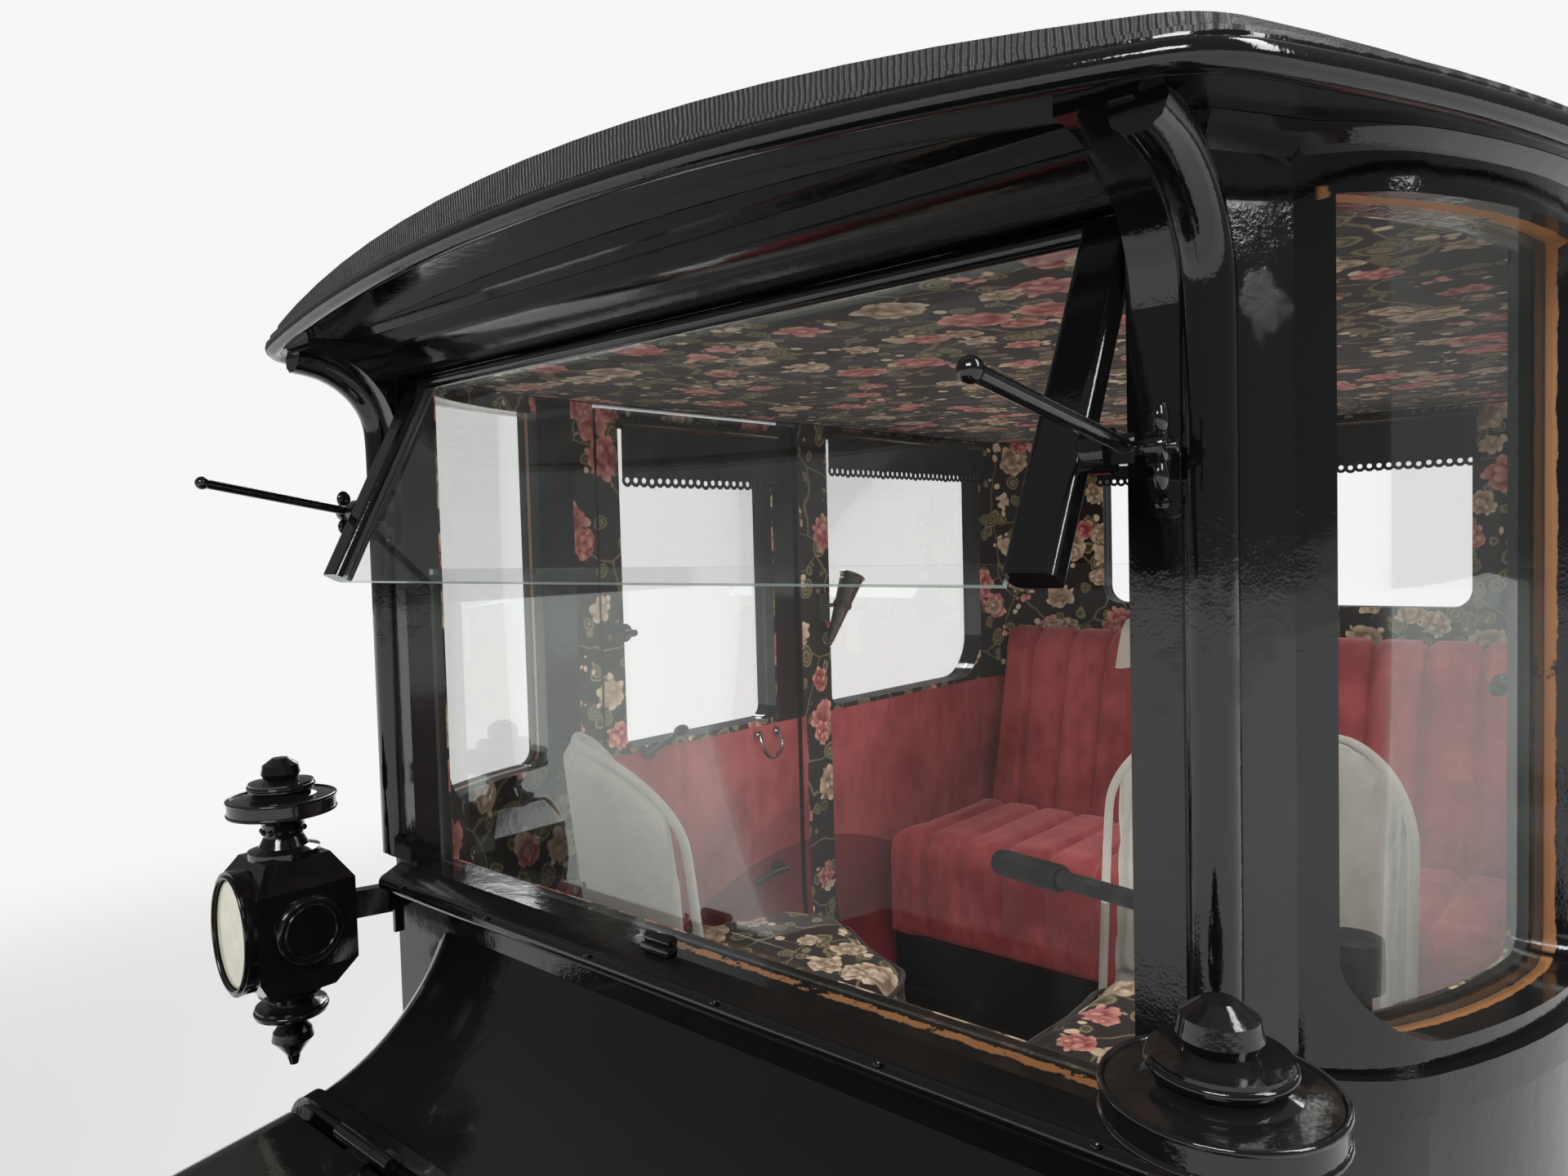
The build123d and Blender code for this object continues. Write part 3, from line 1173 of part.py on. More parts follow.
# Upper sash, swung out on its tube, with its stays
sash_y = SCREEN_Y - SASH_T / 2
sash_z = SCREEN_HEAD - SEAT - SASH_TUBE_R
tilt = Pos(0, sash_y, sash_z) * Rot(X=-SASH_ANGLE)
sash = Pos(0, sash_y, sash_z) * Rot(Y=90) * Cylinder(SASH_TUBE_R, 2 * (SASH_X + SASH_W / 2))
stile = Pos(SASH_X, 0, -SASH_LEN / 2) * Box(SASH_W, SASH_T, SASH_LEN)
stile = fillet(stile.edges().filter_by(Axis.Z), 6.0)
stile = tilt * stile
foot = Vector(*STAY_FOOT)
tip = Vector(*STAY_TIP)
stay = rod(STAY_FOOT, STAY_TIP, STAY_R)
stay = stay + Pos(*STAY_TIP) * Sphere(STAY_R + 2.0)
clamp_drop = sash_z - foot.Z - 18.0
clamp_y = sash_y - clamp_drop * sin(radians(SASH_ANGLE)) / cos(radians(SASH_ANGLE))
clamp_t = (clamp_y - foot.Y) / (tip.Y - foot.Y)
clamp_at = foot + (tip - foot) * clamp_t
clamp_in = SASH_X + SASH_W / 2 - 2.0
clamp_sides = (clamp_y - 9.0, clamp_y + 9.0)
clamp = slab(clamp_in, clamp_at.X + 6.0, *clamp_sides, clamp_at.Z - 9.0, clamp_at.Z + 9.0)
boss = Pos(clamp_in + 8.0, clamp_y - 2.0, clamp_at.Z) * Rot(Y=90) * Cylinder(14.0, 16.0)
plate_back = FRONT_Y - SEAT
foot_plate = slab(foot.X - 14.0, foot.X + 14.0, plate_back - 5.0, plate_back, foot.Z - 34.0, foot.Z + 34.0)
foot_plate = fillet(foot_plate.edges().filter_by(Axis.Y), 13.0)
foot_lug = slab(foot.X - 8.0, foot.X + 8.0, foot.Y - 6.0, FRONT_Y - SEAT - 1.0, foot.Z - 10.0, foot.Z + 10.0)
stay = stay + clamp + boss + foot_plate + foot_lug
for piece in both_sides(stile + stay):
    sash = sash + piece
save("upper_sash", sash)
glass_half = SASH_X - SASH_W / 2 - SEAT
upper_pane = Pos(0, 0, -SASH_LEN / 2 - SASH_TUBE_R) * Box(2 * glass_half, GLASS_T, SASH_LEN - SASH_TUBE_R)
save("upper_glass", tilt * upper_pane)

# Roof, its overhang rail and the headliner
roof_top = crown(ROOF_TOP_Z, ROOF_TOP_R, CROWN_DEPTH)
roof_top = roof_top & upright(roof_plan(), WALL_TOP - 60.0, ROOF_TOP_Z + 10.0)
bead_ring = upright(roof_plan(ROOF_BEAD_OUT), WALL_TOP - 60.0, ROOF_TOP_Z) - upright(
    roof_plan(SEAT), WALL_TOP - 61.0, ROOF_TOP_Z + 1.0
)
bead_ring = bead_ring & crown(ROOF_UNDER_Z + ROOF_BEAD_H, ROOF_UNDER_R, CROWN_DEPTH)
under_room = crown(ROOF_UNDER_Z, ROOF_UNDER_R, CROWN_DEPTH_ROOM)
save("roof", roof_top - under_room, bead_ring - under_room)
rail_block = flare() & upright(roof_plan(-12.0), WALL_TOP, ROOF_TOP_Z)
rail_block = rail_block & crown(ROOF_UNDER_Z - SEAT, ROOF_UNDER_R, CROWN_DEPTH)
save("roof_rail", rail_block - upright(body_plan(-WALL), WALL_TOP - 1.0, CEILING_Z + CEILING_T + SEAT))
ceiling = upright(body_plan(-WALL - SEAT), CEILING_Z, CEILING_Z + CEILING_T)
save("headliner", ceiling & crown(ROOF_UNDER_Z - SEAT, ROOF_UNDER_R, CROWN_DEPTH))


def box_hinge(front, on_lid):
    """The hinge knuckles and leaves on one side of a lid's joint."""
    sign = -1 if front else 1
    axis_y = (COWL_END_Y if front else REAR_COVE_END_Y) + sign * (LID_GAP + 1.0)
    half = LID_KNUCKLE / 2
    end = half + 1.0 + COWL_KNUCKLE
    spans = ((-half, half),) if on_lid else ((-end, -half - 1.0), (half + 1.0, end))
    pieces = []
    for middle in (-LID_HINGE_X, LID_HINGE_X):
        along = Pos(middle, axis_y, LID_HINGE_Z) * Rot(Y=90)
        if on_lid:
            pieces.append(along * Cylinder(LID_PIN_R, 2 * end - 1.0))
        for low, high in spans:
            x = middle + (low + high) / 2
            width = high - low
            knuckle_pipe = Pos(x, axis_y, LID_HINGE_Z) * Rot(Y=90) * Cylinder(LID_HINGE_R, width)
            if on_lid:
                leaf_start = (x, axis_y + sign * 2.0, LID_HINGE_Z - 7.0)
                fall = deck_slope(front) * LEAF_REACH
                leaf_end = (x, axis_y + sign * LEAF_REACH, LID_HINGE_Z - 7.0 - fall)
                pieces.append(knuckle_pipe + bar(leaf_start, leaf_end, width, 7.0))
            else:
                near = axis_y - sign * 15.0
                foot_y = (min(near, axis_y), max(near, axis_y))
                foot = slab(x - width / 2, x + width / 2, *foot_y, DECK_Z - 3.0, LID_HINGE_Z)
                pieces.append(knuckle_pipe + foot - along * Cylinder(LID_PIN_R + SPINDLE_PLAY, 4 * end))
    return pieces


def hollow_box(front):
    """The front or rear box as a shell open towards the cabin."""
    return shoulder_box(front, 0.0) - shoulder_box(front, BOX_WALL)


# Cowl, front box and its lid
front_shell = hollow_box(True)
low_y = BOX_FRONT_Y - 60.0
high_y = BOX_REAR_Y + 60.0
top_z = COWL_TOP_Z + 20.0
cowl = front_shell & slab(-WIDE, WIDE, COWL_END_Y - 1.0, FRONT_Y - SEAT, BOX_SPLIT_Z, top_z)
bead_slab = slab(-WIDE, WIDE, COWL_END_Y + 3.0, COWL_END_Y + 3.0 + BOX_BEAD_W, BOX_SPLIT_Z, top_z)
cowl = cowl + ((shoulder_box(True, -BOX_BEAD_OUT) - shoulder_box(True, BOX_WALL)) & bead_slab)
for piece in box_hinge(True, False):
    cowl = cowl + piece
save("cowl", cowl)
save("front_box", front_shell & slab(-WIDE, WIDE, low_y, FRONT_Y - SEAT, SILL_Z, BOX_SPLIT_Z))
lid_front_y = COWL_END_Y - 1.0 - 2 * LID_GAP
front_lid = front_shell & slab(-WIDE, WIDE, low_y, lid_front_y, BOX_SPLIT_Z + LID_GAP, top_z)
for piece in box_hinge(True, True):
    front_lid = front_lid + piece
save("front_lid", front_lid)

# Rear box with its cove, and its lid
rear_shell = hollow_box(False)
rear_box = rear_shell & slab(-WIDE, WIDE, REAR_Y + SEAT, high_y, SILL_Z, BOX_SPLIT_Z)
rear_box = rear_box + (rear_shell & slab(-WIDE, WIDE, REAR_Y + SEAT, REAR_COVE_END_Y + 1.0, SILL_Z, top_z))
for piece in box_hinge(False, False):
    rear_box = rear_box + piece
save("rear_box", rear_box)
lid_rear_y = REAR_COVE_END_Y + 1.0 + 2 * LID_GAP
rear_lid = rear_shell & slab(-WIDE, WIDE, lid_rear_y, high_y, BOX_SPLIT_Z + LID_GAP, top_z)
for piece in box_hinge(False, True):
    rear_lid = rear_lid + piece
save("rear_lid", rear_lid)


def lamp_octagon(half, z0, z1):
    """The lamp box's eight-sided outline, across and up."""
    cut_in, cut_up = LAMP_CHAMFER
    return make_face(Polyline(
        (-half + cut_in, z0),
        (half - cut_in, z0),
        (half, z0 + cut_up),
        (half, z1 - cut_up),
        (half - cut_in, z1),
        (-half + cut_in, z1),
        (-half, z1 - cut_up),
        (-half, z0 + cut_up),
        close=True,
    ))


def turned(steps):
    """A solid turned about the Z axis from its radius and height at each step."""
    low_end = (0.0, steps[-1][1])
    high_end = (0.0, steps[0][1])
    return revolve(Plane.XZ * make_face(Polyline(high_end, *steps, low_end, close=True)), Axis.Z)


# Coach lamps on the front pillars
octagon = lamp_octagon(LAMP_HALF, *LAMP_BOX_Z)
lamp = extrude(Plane.XZ * octagon, LAMP_HALF, both=True) & extrude(Plane.YZ * octagon, LAMP_HALF, both=True)
lamp_mid = (LAMP_BOX_Z[0] + LAMP_BOX_Z[1]) / 2
for hand in (-1, 1):
    boss = Pos(hand * (LAMP_HALF + 1.0), 0, lamp_mid) * Rot(Y=90) * Cylinder(LAMP_BOSS_R, 14.0)
    lamp = lamp + fillet(boss.edges().filter_by(GeomType.CIRCLE), 5.0)
face_plane = Plane(origin=(0, -LAMP_HALF + 10.0, lamp_mid), x_dir=(1, 0, 0), z_dir=(0, -1, 0))
bezel = extrude(face_plane * Ellipse(LENS_R[0] + BEZEL_W, LENS_R[1] + BEZEL_W), 10.0 + BEZEL_OUT)
lens_plane = Plane(origin=(0, -LAMP_HALF + 4.0, lamp_mid), x_dir=(1, 0, 0), z_dir=(0, -1, 0))
lens_room = extrude(lens_plane * Ellipse(LENS_R[0] + SEAT, LENS_R[1] + SEAT), LENS_T + 20.0)
lamp = lamp + bezel - lens_room + turned(LAMP_CAP) + turned(LAMP_FINIAL)
lamp = Pos(LAMP_X, LAMP_Y, 0) * lamp
bracket_start = (LAMP_X, LAMP_Y + LAMP_HALF - 8.0, LAMP_BRACKET_Z)
bracket = bar(bracket_start, (LAMP_X - 34.0, FRONT_Y + 40.0, LAMP_BRACKET_Z), 16.0, 34.0)
bracket = bracket - upright(body_plan(SEAT), LAMP_TIP_Z, LAMP_TOP_Z)
plate_z = (LAMP_BRACKET_Z - LAMP_PLATE_H / 2, LAMP_BRACKET_Z + LAMP_PLATE_H / 2)
plate_room = slab(LAMP_X - 48.0, LAMP_X - 8.0, FRONT_Y - 10.0, FRONT_Y + 60.0, *plate_z)
pillar_plate = upright(body_plan(LAMP_PLATE_T), LAMP_TIP_Z, LAMP_TOP_Z)
pillar_plate = (pillar_plate - upright(body_plan(SEAT), LAMP_TIP_Z, LAMP_TOP_Z)) & plate_room
save("coach_lamps", *both_sides(lamp + bracket + pillar_plate))
lens = extrude(lens_plane * Ellipse(*LENS_R), LENS_T)
lens = fillet(lens.edges().group_by(Axis.Y)[0], 5.0)
save("lamp_lenses", *both_sides(Pos(LAMP_X, LAMP_Y, 0) * lens))


def seat_outline():
    """The front seats' cushion seen from above: a square with bowed corners."""
    square = RectangleRounded(2 * SEAT_HALF, 2 * SEAT_HALF, SEAT_CORNER_R)
    return square & Circle(SEAT_CIRCLE_R)


# Seat bases: the box under the bench and the two pedestals
bench_base = upright(body_plan(-WALL - SEAT), FLOOR_TOP, BENCH_BASE_TOP) & body_section(WALL + SEAT)
bench_room = slab(-BENCH_BASE_HALF_W, BENCH_BASE_HALF_W, *BENCH_BASE_Y, FLOOR_TOP, BENCH_BASE_TOP)
bench_base = bench_base & bench_room
pedestals = []
for seat_x, seat_y, heading in FRONT_SEATS:
    flange = Pos(0, 0, FLOOR_TOP + 5.0) * Cylinder(SEAT_FLANGE_R, 10.0)
    column_h = SEAT_BOTTOM - SEAT_PLATE_T - FLOOR_TOP
    column = Pos(0, 0, FLOOR_TOP + column_h / 2) * Cylinder(SEAT_COLUMN_R, column_h)
    plate = upright(offset(seat_outline(), amount=-8.0), SEAT_BOTTOM - SEAT_PLATE_T, SEAT_BOTTOM)
    pedestals.append(Pos(seat_x, seat_y, 0) * (flange + column + plate))
save("seat_bases", bench_base, *pedestals)

# Bench cushion and its rolled back
bench = slab(-BENCH_HALF_W, BENCH_HALF_W, BENCH_FRONT_Y, BENCH_BACK_Y, BENCH_BASE_TOP + SEAT, BENCH_TOP)
bench = fillet(bench.edges().filter_by(Axis.X).group_by(Axis.Z)[-1], BENCH_EDGE_R)
save("bench_cushion", bench)
roll_low = (BACK_LEAN_Y, BENCH_BACK_TOP - 40.0)
back_edges = [
    Line((BACK_FOOT_Y, BENCH_BASE_TOP + SEAT), (BACK_FOOT_Y, BENCH_TOP)),
    Line((BACK_FOOT_Y, BENCH_TOP), roll_low),
    ThreePointArc(roll_low, (BACK_LEAN_Y + 45.0, BENCH_BACK_TOP), (BACK_ROLL_Y, BENCH_BACK_TOP - 12.0)),
    Line((BACK_ROLL_Y, BENCH_BACK_TOP - 12.0), (BACK_REAR_Y, BENCH_BACK_TOP - 55.0)),
    Line((BACK_REAR_Y, BENCH_BACK_TOP - 55.0), (BACK_REAR_Y, BENCH_BASE_TOP + SEAT)),
    Line((BACK_REAR_Y, BENCH_BASE_TOP + SEAT), (BACK_FOOT_Y, BENCH_BASE_TOP + SEAT)),
]
bench_back = yz_block(back_edges, BENCH_HALF_W) & upright(body_plan(-WALL - 2.0), FLOOR_TOP, WALL_TOP)
save("bench_back", bench_back - wheel_house(ARCH_WALL + 4.0))


def seat_back():
    """A front seat's curved back, behind a sitter who faces the front at the origin."""
    inner_r, outer_r = SEAT_BACK_R
    ring = Circle(outer_r) - Circle(inner_r)
    reach = 2 * outer_r
    tip_x = reach * sin(radians(SEAT_BACK_SPREAD))
    tip_y = reach * cos(radians(SEAT_BACK_SPREAD))
    wedge = make_face(Polyline((0, 0), (tip_x, tip_y), (0, reach), (-tip_x, tip_y), close=True))
    curved = upright(Pos(0, -SEAT_BACK_AHEAD) * (ring & wedge), SEAT_BOTTOM - 40.0, SEAT_BACK_TOP)
    half = outer_r * sin(radians(SEAT_BACK_SPREAD))
    front_view = RectangleRounded(2 * half + 2.0, SEAT_BACK_TOP - SEAT_BOTTOM + 300.0, SEAT_BACK_CORNER_R)
    face_z = (SEAT_BACK_TOP + SEAT_BOTTOM - 300.0) / 2
    mask_plane = Plane(origin=(0, 0, face_z), x_dir=(1, 0, 0), z_dir=(0, -1, 0))
    curved = curved & extrude(mask_plane * front_view, reach, both=True)
    leaning = Pos(0, inner_r - SEAT_BACK_AHEAD, SEAT_BOTTOM) * Rot(X=-SEAT_BACK_LEAN)
    leaning = leaning * Pos(0, SEAT_BACK_AHEAD - inner_r, -SEAT_BOTTOM) * curved
    return leaning & slab(-reach, reach, -reach, reach, SEAT_BOTTOM, SEAT_BACK_TOP + 40.0)


# Front seat cushions and backs
cushion = upright(seat_outline(), SEAT_BOTTOM + SEAT, SEAT_TOP)
cushion = fillet(cushion.edges().group_by(Axis.Z)[-1], 28.0)
cushion_room = upright(offset(seat_outline(), amount=SEAT), SEAT_BOTTOM - 1.0, SEAT_TOP + SEAT)
cushions = []
backs = []
for seat_x, seat_y, heading in FRONT_SEATS:
    place = Pos(seat_x, seat_y, 0) * Rot(Z=heading)
    cushions.append(place * cushion)
    backs.append(place * (seat_back() - cushion_room))
save("seat_cushions", *cushions)
save("seat_backs", *backs)


def side_blind(y_span, low_z, roll_z):
    """A left side blind: its cloth, its roller and the two brackets that hold it to the wall."""
    wall_x = HALF_W - WALL
    x = wall_x - BLIND_OFF - BLIND_T / 2
    cloth = slab(x - BLIND_T / 2, x + BLIND_T / 2, *y_span, low_z, roll_z)
    roller = Rot(X=90) * Cylinder(BLIND_ROLL_R, y_span[1] - y_span[0])
    roller = Pos(x, (y_span[0] + y_span[1]) / 2, roll_z) * roller
    whole = cloth + roller
    for end in y_span:
        whole = whole + slab(x - 6.0, wall_x - SEAT, end - 3.0, end + 3.0, roll_z - 8.0, roll_z + 8.0)
    return whole & upright(body_plan(-WALL - SEAT), low_z - 1.0, WALL_TOP)


# Blinds
quarter_blind = side_blind(QUARTER_BLIND_Y, QUARTER_BLIND_LOW, BLIND_ROLL_Z)
back_y = REAR_Y - WALL - BLIND_OFF - BLIND_T / 2
back_blind = slab(
    -BACK_BLIND_HALF_W, BACK_BLIND_HALF_W, back_y - BLIND_T / 2, back_y + BLIND_T / 2,
    BACK_BLIND_LOW, BLIND_ROLL_Z
)
back_roller = Rot(Y=90) * Cylinder(BLIND_ROLL_R, 2 * BACK_BLIND_HALF_W)
back_blind = back_blind + Pos(0, back_y, BLIND_ROLL_Z) * back_roller
for end in (-BACK_BLIND_HALF_W, BACK_BLIND_HALF_W):
    back_blind = back_blind + slab(
        end - 3.0, end + 3.0, back_y - 6.0, REAR_Y - WALL - SEAT, BLIND_ROLL_Z - 8.0, BLIND_ROLL_Z + 8.0
    )
save("window_blinds", *both_sides(quarter_blind), back_blind)
left_blind, right_blind = both_sides(side_blind(DOOR_BLIND_Y, DOOR_BLIND_LOW, DOOR_BLIND_ROLL_Z))
save("door_blind_left", left_blind)
save("door_blind_right", right_blind)

# Flower vase on the right rear door pillar
vase_foot = Vector(*VASE_FOOT)
vase_axis = Vector(*VASE_MOUTH) - vase_foot
vase_len = vase_axis.length
vase_place = Plane(origin=VASE_FOOT, z_dir=vase_axis)
vase_edges = Polyline(
    (0.0, 0.0),
    (VASE_R[0], 0.0),
    (VASE_R[1], vase_len - 4.0),
    (VASE_R[1] + 3.0, vase_len),
    (VASE_R[1] - VASE_WALL, vase_len),
    (VASE_R[0] - VASE_WALL, 12.0),
    (0.0, 12.0),
    close=True,
)
vase = vase_place * revolve(Plane.XZ * make_face(vase_edges), Axis.Z)
ring_at = vase_len * 0.55
ring_r = VASE_R[0] + 0.55 * (VASE_R[1] - VASE_R[0])
ring = Pos(0, 0, ring_at) * (Cylinder(ring_r + 3.0, 9.0) - Cylinder(ring_r - 1.0, 9.0))
vase = vase + vase_place * ring
plate_x = -HALF_W + WALL + SEAT
vase = vase + slab(plate_x, plate_x + 5.0, *VASE_PLATE_Y, *VASE_PLATE_Z)
arm_end = vase_foot + vase_axis * 0.55 - Vector(ring_r * 0.6, ring_r * 0.8, 0)
arm_start = (plate_x + 4.5, (VASE_PLATE_Y[0] + VASE_PLATE_Y[1]) / 2, arm_end.Z)
save("flower_vase", vase + rod(arm_start, tuple(arm_end), 4.0))
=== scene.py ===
"""Looks of an early electric closed car: paint, cloth, cushions, glass, lamps and small fittings.

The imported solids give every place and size; this file dresses them and adds the soft goods,
the blinds, the tyre treads, the bolts and the cabin's small hardware. Lengths are in metres,
the front faces -Y, the car's left is +X and the ground is z = 0.
"""

import logging
import math
from dataclasses import dataclass
from enum import Enum
from typing import Iterable, Sequence

import bpy
import numpy as np
from mathutils import Matrix, Vector


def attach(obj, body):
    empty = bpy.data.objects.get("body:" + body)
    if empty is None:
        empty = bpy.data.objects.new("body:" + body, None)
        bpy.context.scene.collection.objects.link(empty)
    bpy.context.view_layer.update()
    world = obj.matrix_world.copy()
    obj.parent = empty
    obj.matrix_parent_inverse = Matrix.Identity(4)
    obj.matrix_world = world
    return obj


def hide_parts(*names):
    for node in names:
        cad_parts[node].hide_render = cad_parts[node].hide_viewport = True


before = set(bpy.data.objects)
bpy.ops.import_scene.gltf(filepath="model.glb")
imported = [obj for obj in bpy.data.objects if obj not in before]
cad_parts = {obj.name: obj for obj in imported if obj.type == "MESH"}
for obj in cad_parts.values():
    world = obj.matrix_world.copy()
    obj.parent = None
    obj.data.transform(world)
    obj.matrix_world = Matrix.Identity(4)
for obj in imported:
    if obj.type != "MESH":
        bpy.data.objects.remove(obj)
LOG = logging.getLogger("electric_car")
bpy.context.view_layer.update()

CORNERS = ("front_left", "front_right", "rear_left", "rear_right")
SMOOTH_ANGLE = math.radians(40.0)

Vec = tuple[float, float, float]
Colour = tuple[float, float, float]


# Shader expressions


class Signal:
    """A shader socket that takes part in Python arithmetic."""

    def __init__(self, shop: "Shop", socket: bpy.types.NodeSocket) -> None:
        """Keep the socket and the shop that makes new nodes for it."""
        self.shop = shop
        self.socket = socket

    def __add__(self, other: "Signal | float") -> "Signal":
        """Sum of two signals."""
        return self.shop.math("ADD", self, other)

    __radd__ = __add__

    def __sub__(self, other: "Signal | float") -> "Signal":
        """Difference of two signals."""
        return self.shop.math("SUBTRACT", self, other)

    def __rsub__(self, other: float) -> "Signal":
        """A number less this signal."""
        return self.shop.math("SUBTRACT", other, self)

    def __mul__(self, other: "Signal | float") -> "Signal":
        """Product of two signals."""
        return self.shop.math("MULTIPLY", self, other)

    __rmul__ = __mul__

    def __truediv__(self, other: "Signal | float") -> "Signal":
        """Quotient of two signals."""
        return self.shop.math("DIVIDE", self, other)

    def __pow__(self, power: float) -> "Signal":
        """This signal raised to a power."""
        return self.shop.math("POWER", self, power)


class Shop:
    """One material's node tree, with a short way to add each node."""

    def __init__(self, name: str) -> None:
        """Start an empty material with its output node."""
        self.material = bpy.data.materials.new(name)
        self.material.use_nodes = True
        self.tree = self.material.node_tree
        self.tree.nodes.clear()
        self.output = self.tree.nodes.new("ShaderNodeOutputMaterial")

    def node(self, kind: str, settings: dict | None = None, sockets: dict | None = None) -> bpy.types.Node:
        """Add a node with its settings and the values or links of its sockets.

        Args:
            kind: The node's type name.
            settings: Attributes of the node, set first.
            sockets: Input sockets by name or index, each a value or a Signal.

        Returns:
            The new node.
        """
        made = self.tree.nodes.new(kind)
        for key, value in (settings or {}).items():
            setattr(made, key, value)
        for key, value in (sockets or {}).items():
            if isinstance(value, Signal):
                self.tree.links.new(value.socket, made.inputs[key])
            else:
                made.inputs[key].default_value = value
        return made

    def out(self, made: bpy.types.Node, key: str | int = 0) -> Signal:
        """One output of a node as a signal."""
        return Signal(self, made.outputs[key])

    def math(self, operation: str, a: "Signal | float", b: "Signal | float" = 0.0) -> Signal:
        """A Math node on one or two values.

        Args:
            operation: The Math node's operation.
            a: First value.
            b: Second value.

        Returns:
            The result.
        """
        return self.out(self.node("ShaderNodeMath", {"operation": operation}, {0: a, 1: b}))

    def ramp01(self, value: Signal, low: float, high: float) -> Signal:
        """A smooth step from 0 at low to 1 at high.

        Args:
            value: The signal to step on.
            low: Where the step starts.
            high: Where the step ends.

        Returns:
            The stepped signal.
        """
        settings = {"interpolation_type": "SMOOTHSTEP"}
        sockets = {"Value": value, "From Min": low, "From Max": high}
        return self.out(self.node("ShaderNodeMapRange", settings, sockets))

    def under(self, value: Signal, limit: float, blur: float) -> Signal:
        """1 where a value is under a limit, 0 above it, blurred on both sides of the limit."""
        return self.ramp01(value, limit + blur, limit - blur)

    def within(self, value: Signal, middle: float, half: float, blur: float = 0.0005) -> Signal:
        """1 where a value is nearer to a middle than half, 0 elsewhere."""
        return self.under(self.math("ABSOLUTE", value - middle), half, blur)

    def mix(self, factor: "Signal | float", a: "Signal | Colour", b: "Signal | Colour") -> Signal:
        """A blend of two colours.

        Args:
            factor: 0 gives a, 1 gives b.
            a: First colour.
            b: Second colour.

        Returns:
            The blended colour.
        """
        pair = [c if isinstance(c, Signal) else (*c, 1.0) for c in (a, b)]
        made = self.node("ShaderNodeMix", {"data_type": "RGBA"}, {0: factor, 6: pair[0], 7: pair[1]})
        return self.out(made, 2)

    def place(self, scale: Vec = (1.0, 1.0, 1.0)) -> Signal:
        """The point on the piece, scaled.

        Args:
            scale: Scale along each axis.

        Returns:
            The mapped object coordinates.
        """
        coordinates = self.out(self.node("ShaderNodeTexCoord"), "Object")
        return self.out(self.node("ShaderNodeMapping", None, {"Vector": coordinates, "Scale": scale}))

    def xyz(self) -> tuple[Signal, Signal, Signal]:
        """The point's three coordinates."""
        made = self.node("ShaderNodeSeparateXYZ", None, {0: self.place()})
        return self.out(made, 0), self.out(made, 1), self.out(made, 2)

    def normal_xyz(self) -> tuple[Signal, Signal, Signal]:
        """The surface normal's three components."""
        geometry = self.out(self.node("ShaderNodeNewGeometry"), "Normal")
        made = self.node("ShaderNodeSeparateXYZ", None, {0: geometry})
        return self.out(made, 0), self.out(made, 1), self.out(made, 2)

    def noise(
        self, scale: float, detail: float = 3.0, roughness: float = 0.5, stretch: Vec = (1.0, 1.0, 1.0)
    ) -> Signal:
        """Noise between 0 and 1.

        Args:
            scale: Features per metre.
            detail: Octaves.
            roughness: How strong the fine octaves are.
            stretch: Scale along each axis first.

        Returns:
            The noise value.
        """
        sockets = {"Vector": self.place(stretch), "Scale": scale, "Detail": detail, "Roughness": roughness}
        return self.out(self.node("ShaderNodeTexNoise", None, sockets), 0)

    def cells(
        self, scale: float, feature: str = "F1", vector: Signal | None = None, jitter: float = 1.0
    ) -> bpy.types.Node:
        """A Voronoi node.

        Args:
            scale: Cells per metre.
            feature: F1 or DISTANCE_TO_EDGE.
            vector: Where to sample, or the point itself.
            jitter: How irregular the cells are.

        Returns:
            The node, with Distance and Color outputs.
        """
        sockets = {"Vector": vector or self.place(), "Scale": scale, "Randomness": jitter}
        return self.node("ShaderNodeTexVoronoi", {"feature": feature}, sockets)

    def bump(self, height: Signal, strength: float, distance: float, under: Signal | None = None) -> Signal:
        """A Bump node.

        Args:
            height: The height signal.
            strength: Bump strength.
            distance: Height in metres for a signal of 1.
            under: The normal that this bump is laid on.

        Returns:
            The new normal.
        """
        sockets = {"Strength": strength, "Distance": distance, "Height": height}
        if under is not None:
            sockets["Normal"] = under
        return self.out(self.node("ShaderNodeBump", None, sockets))

    def surface(self, **sockets: "Signal | float | tuple") -> Signal:
        """A Principled surface whose sockets are given with underscores for spaces."""
        named = {key.replace("_", " "): value for key, value in sockets.items()}
        for key, value in named.items():
            if isinstance(value, tuple) and len(value) == 3:
                named[key] = (*value, 1.0)
        return self.out(self.node("ShaderNodeBsdfPrincipled", None, named), 0)

    def blend_shaders(self, factor: "Signal | float", a: Signal, b: Signal) -> Signal:
        """A Mix Shader between two surfaces."""
        return self.out(self.node("ShaderNodeMixShader", None, {0: factor, 1: a, 2: b}))

    def done(self, shader: Signal) -> bpy.types.Material:
        """Link the surface to the output and hand over the material."""
        self.tree.links.new(shader.socket, self.output.inputs["Surface"])
        return self.material


# Finishes


class Zone(Enum):
    """Which lining the inside of a body panel carries."""

    NONE = "none"
    CLOTH = "cloth"
    DOOR = "door"


class Finish:
    """A kind of surface that a material can be made of."""

    def shade(self, shop: Shop) -> Signal:
        """The surface, which each finish makes in its own way."""
        raise NotImplementedError

    def material(self, name: str) -> bpy.types.Material:
        """The finish as a material of its own.

        Args:
            name: The material's name.

        Returns:
            The material.
        """
        shop = Shop(name)
        return shop.done(self.shade(shop))


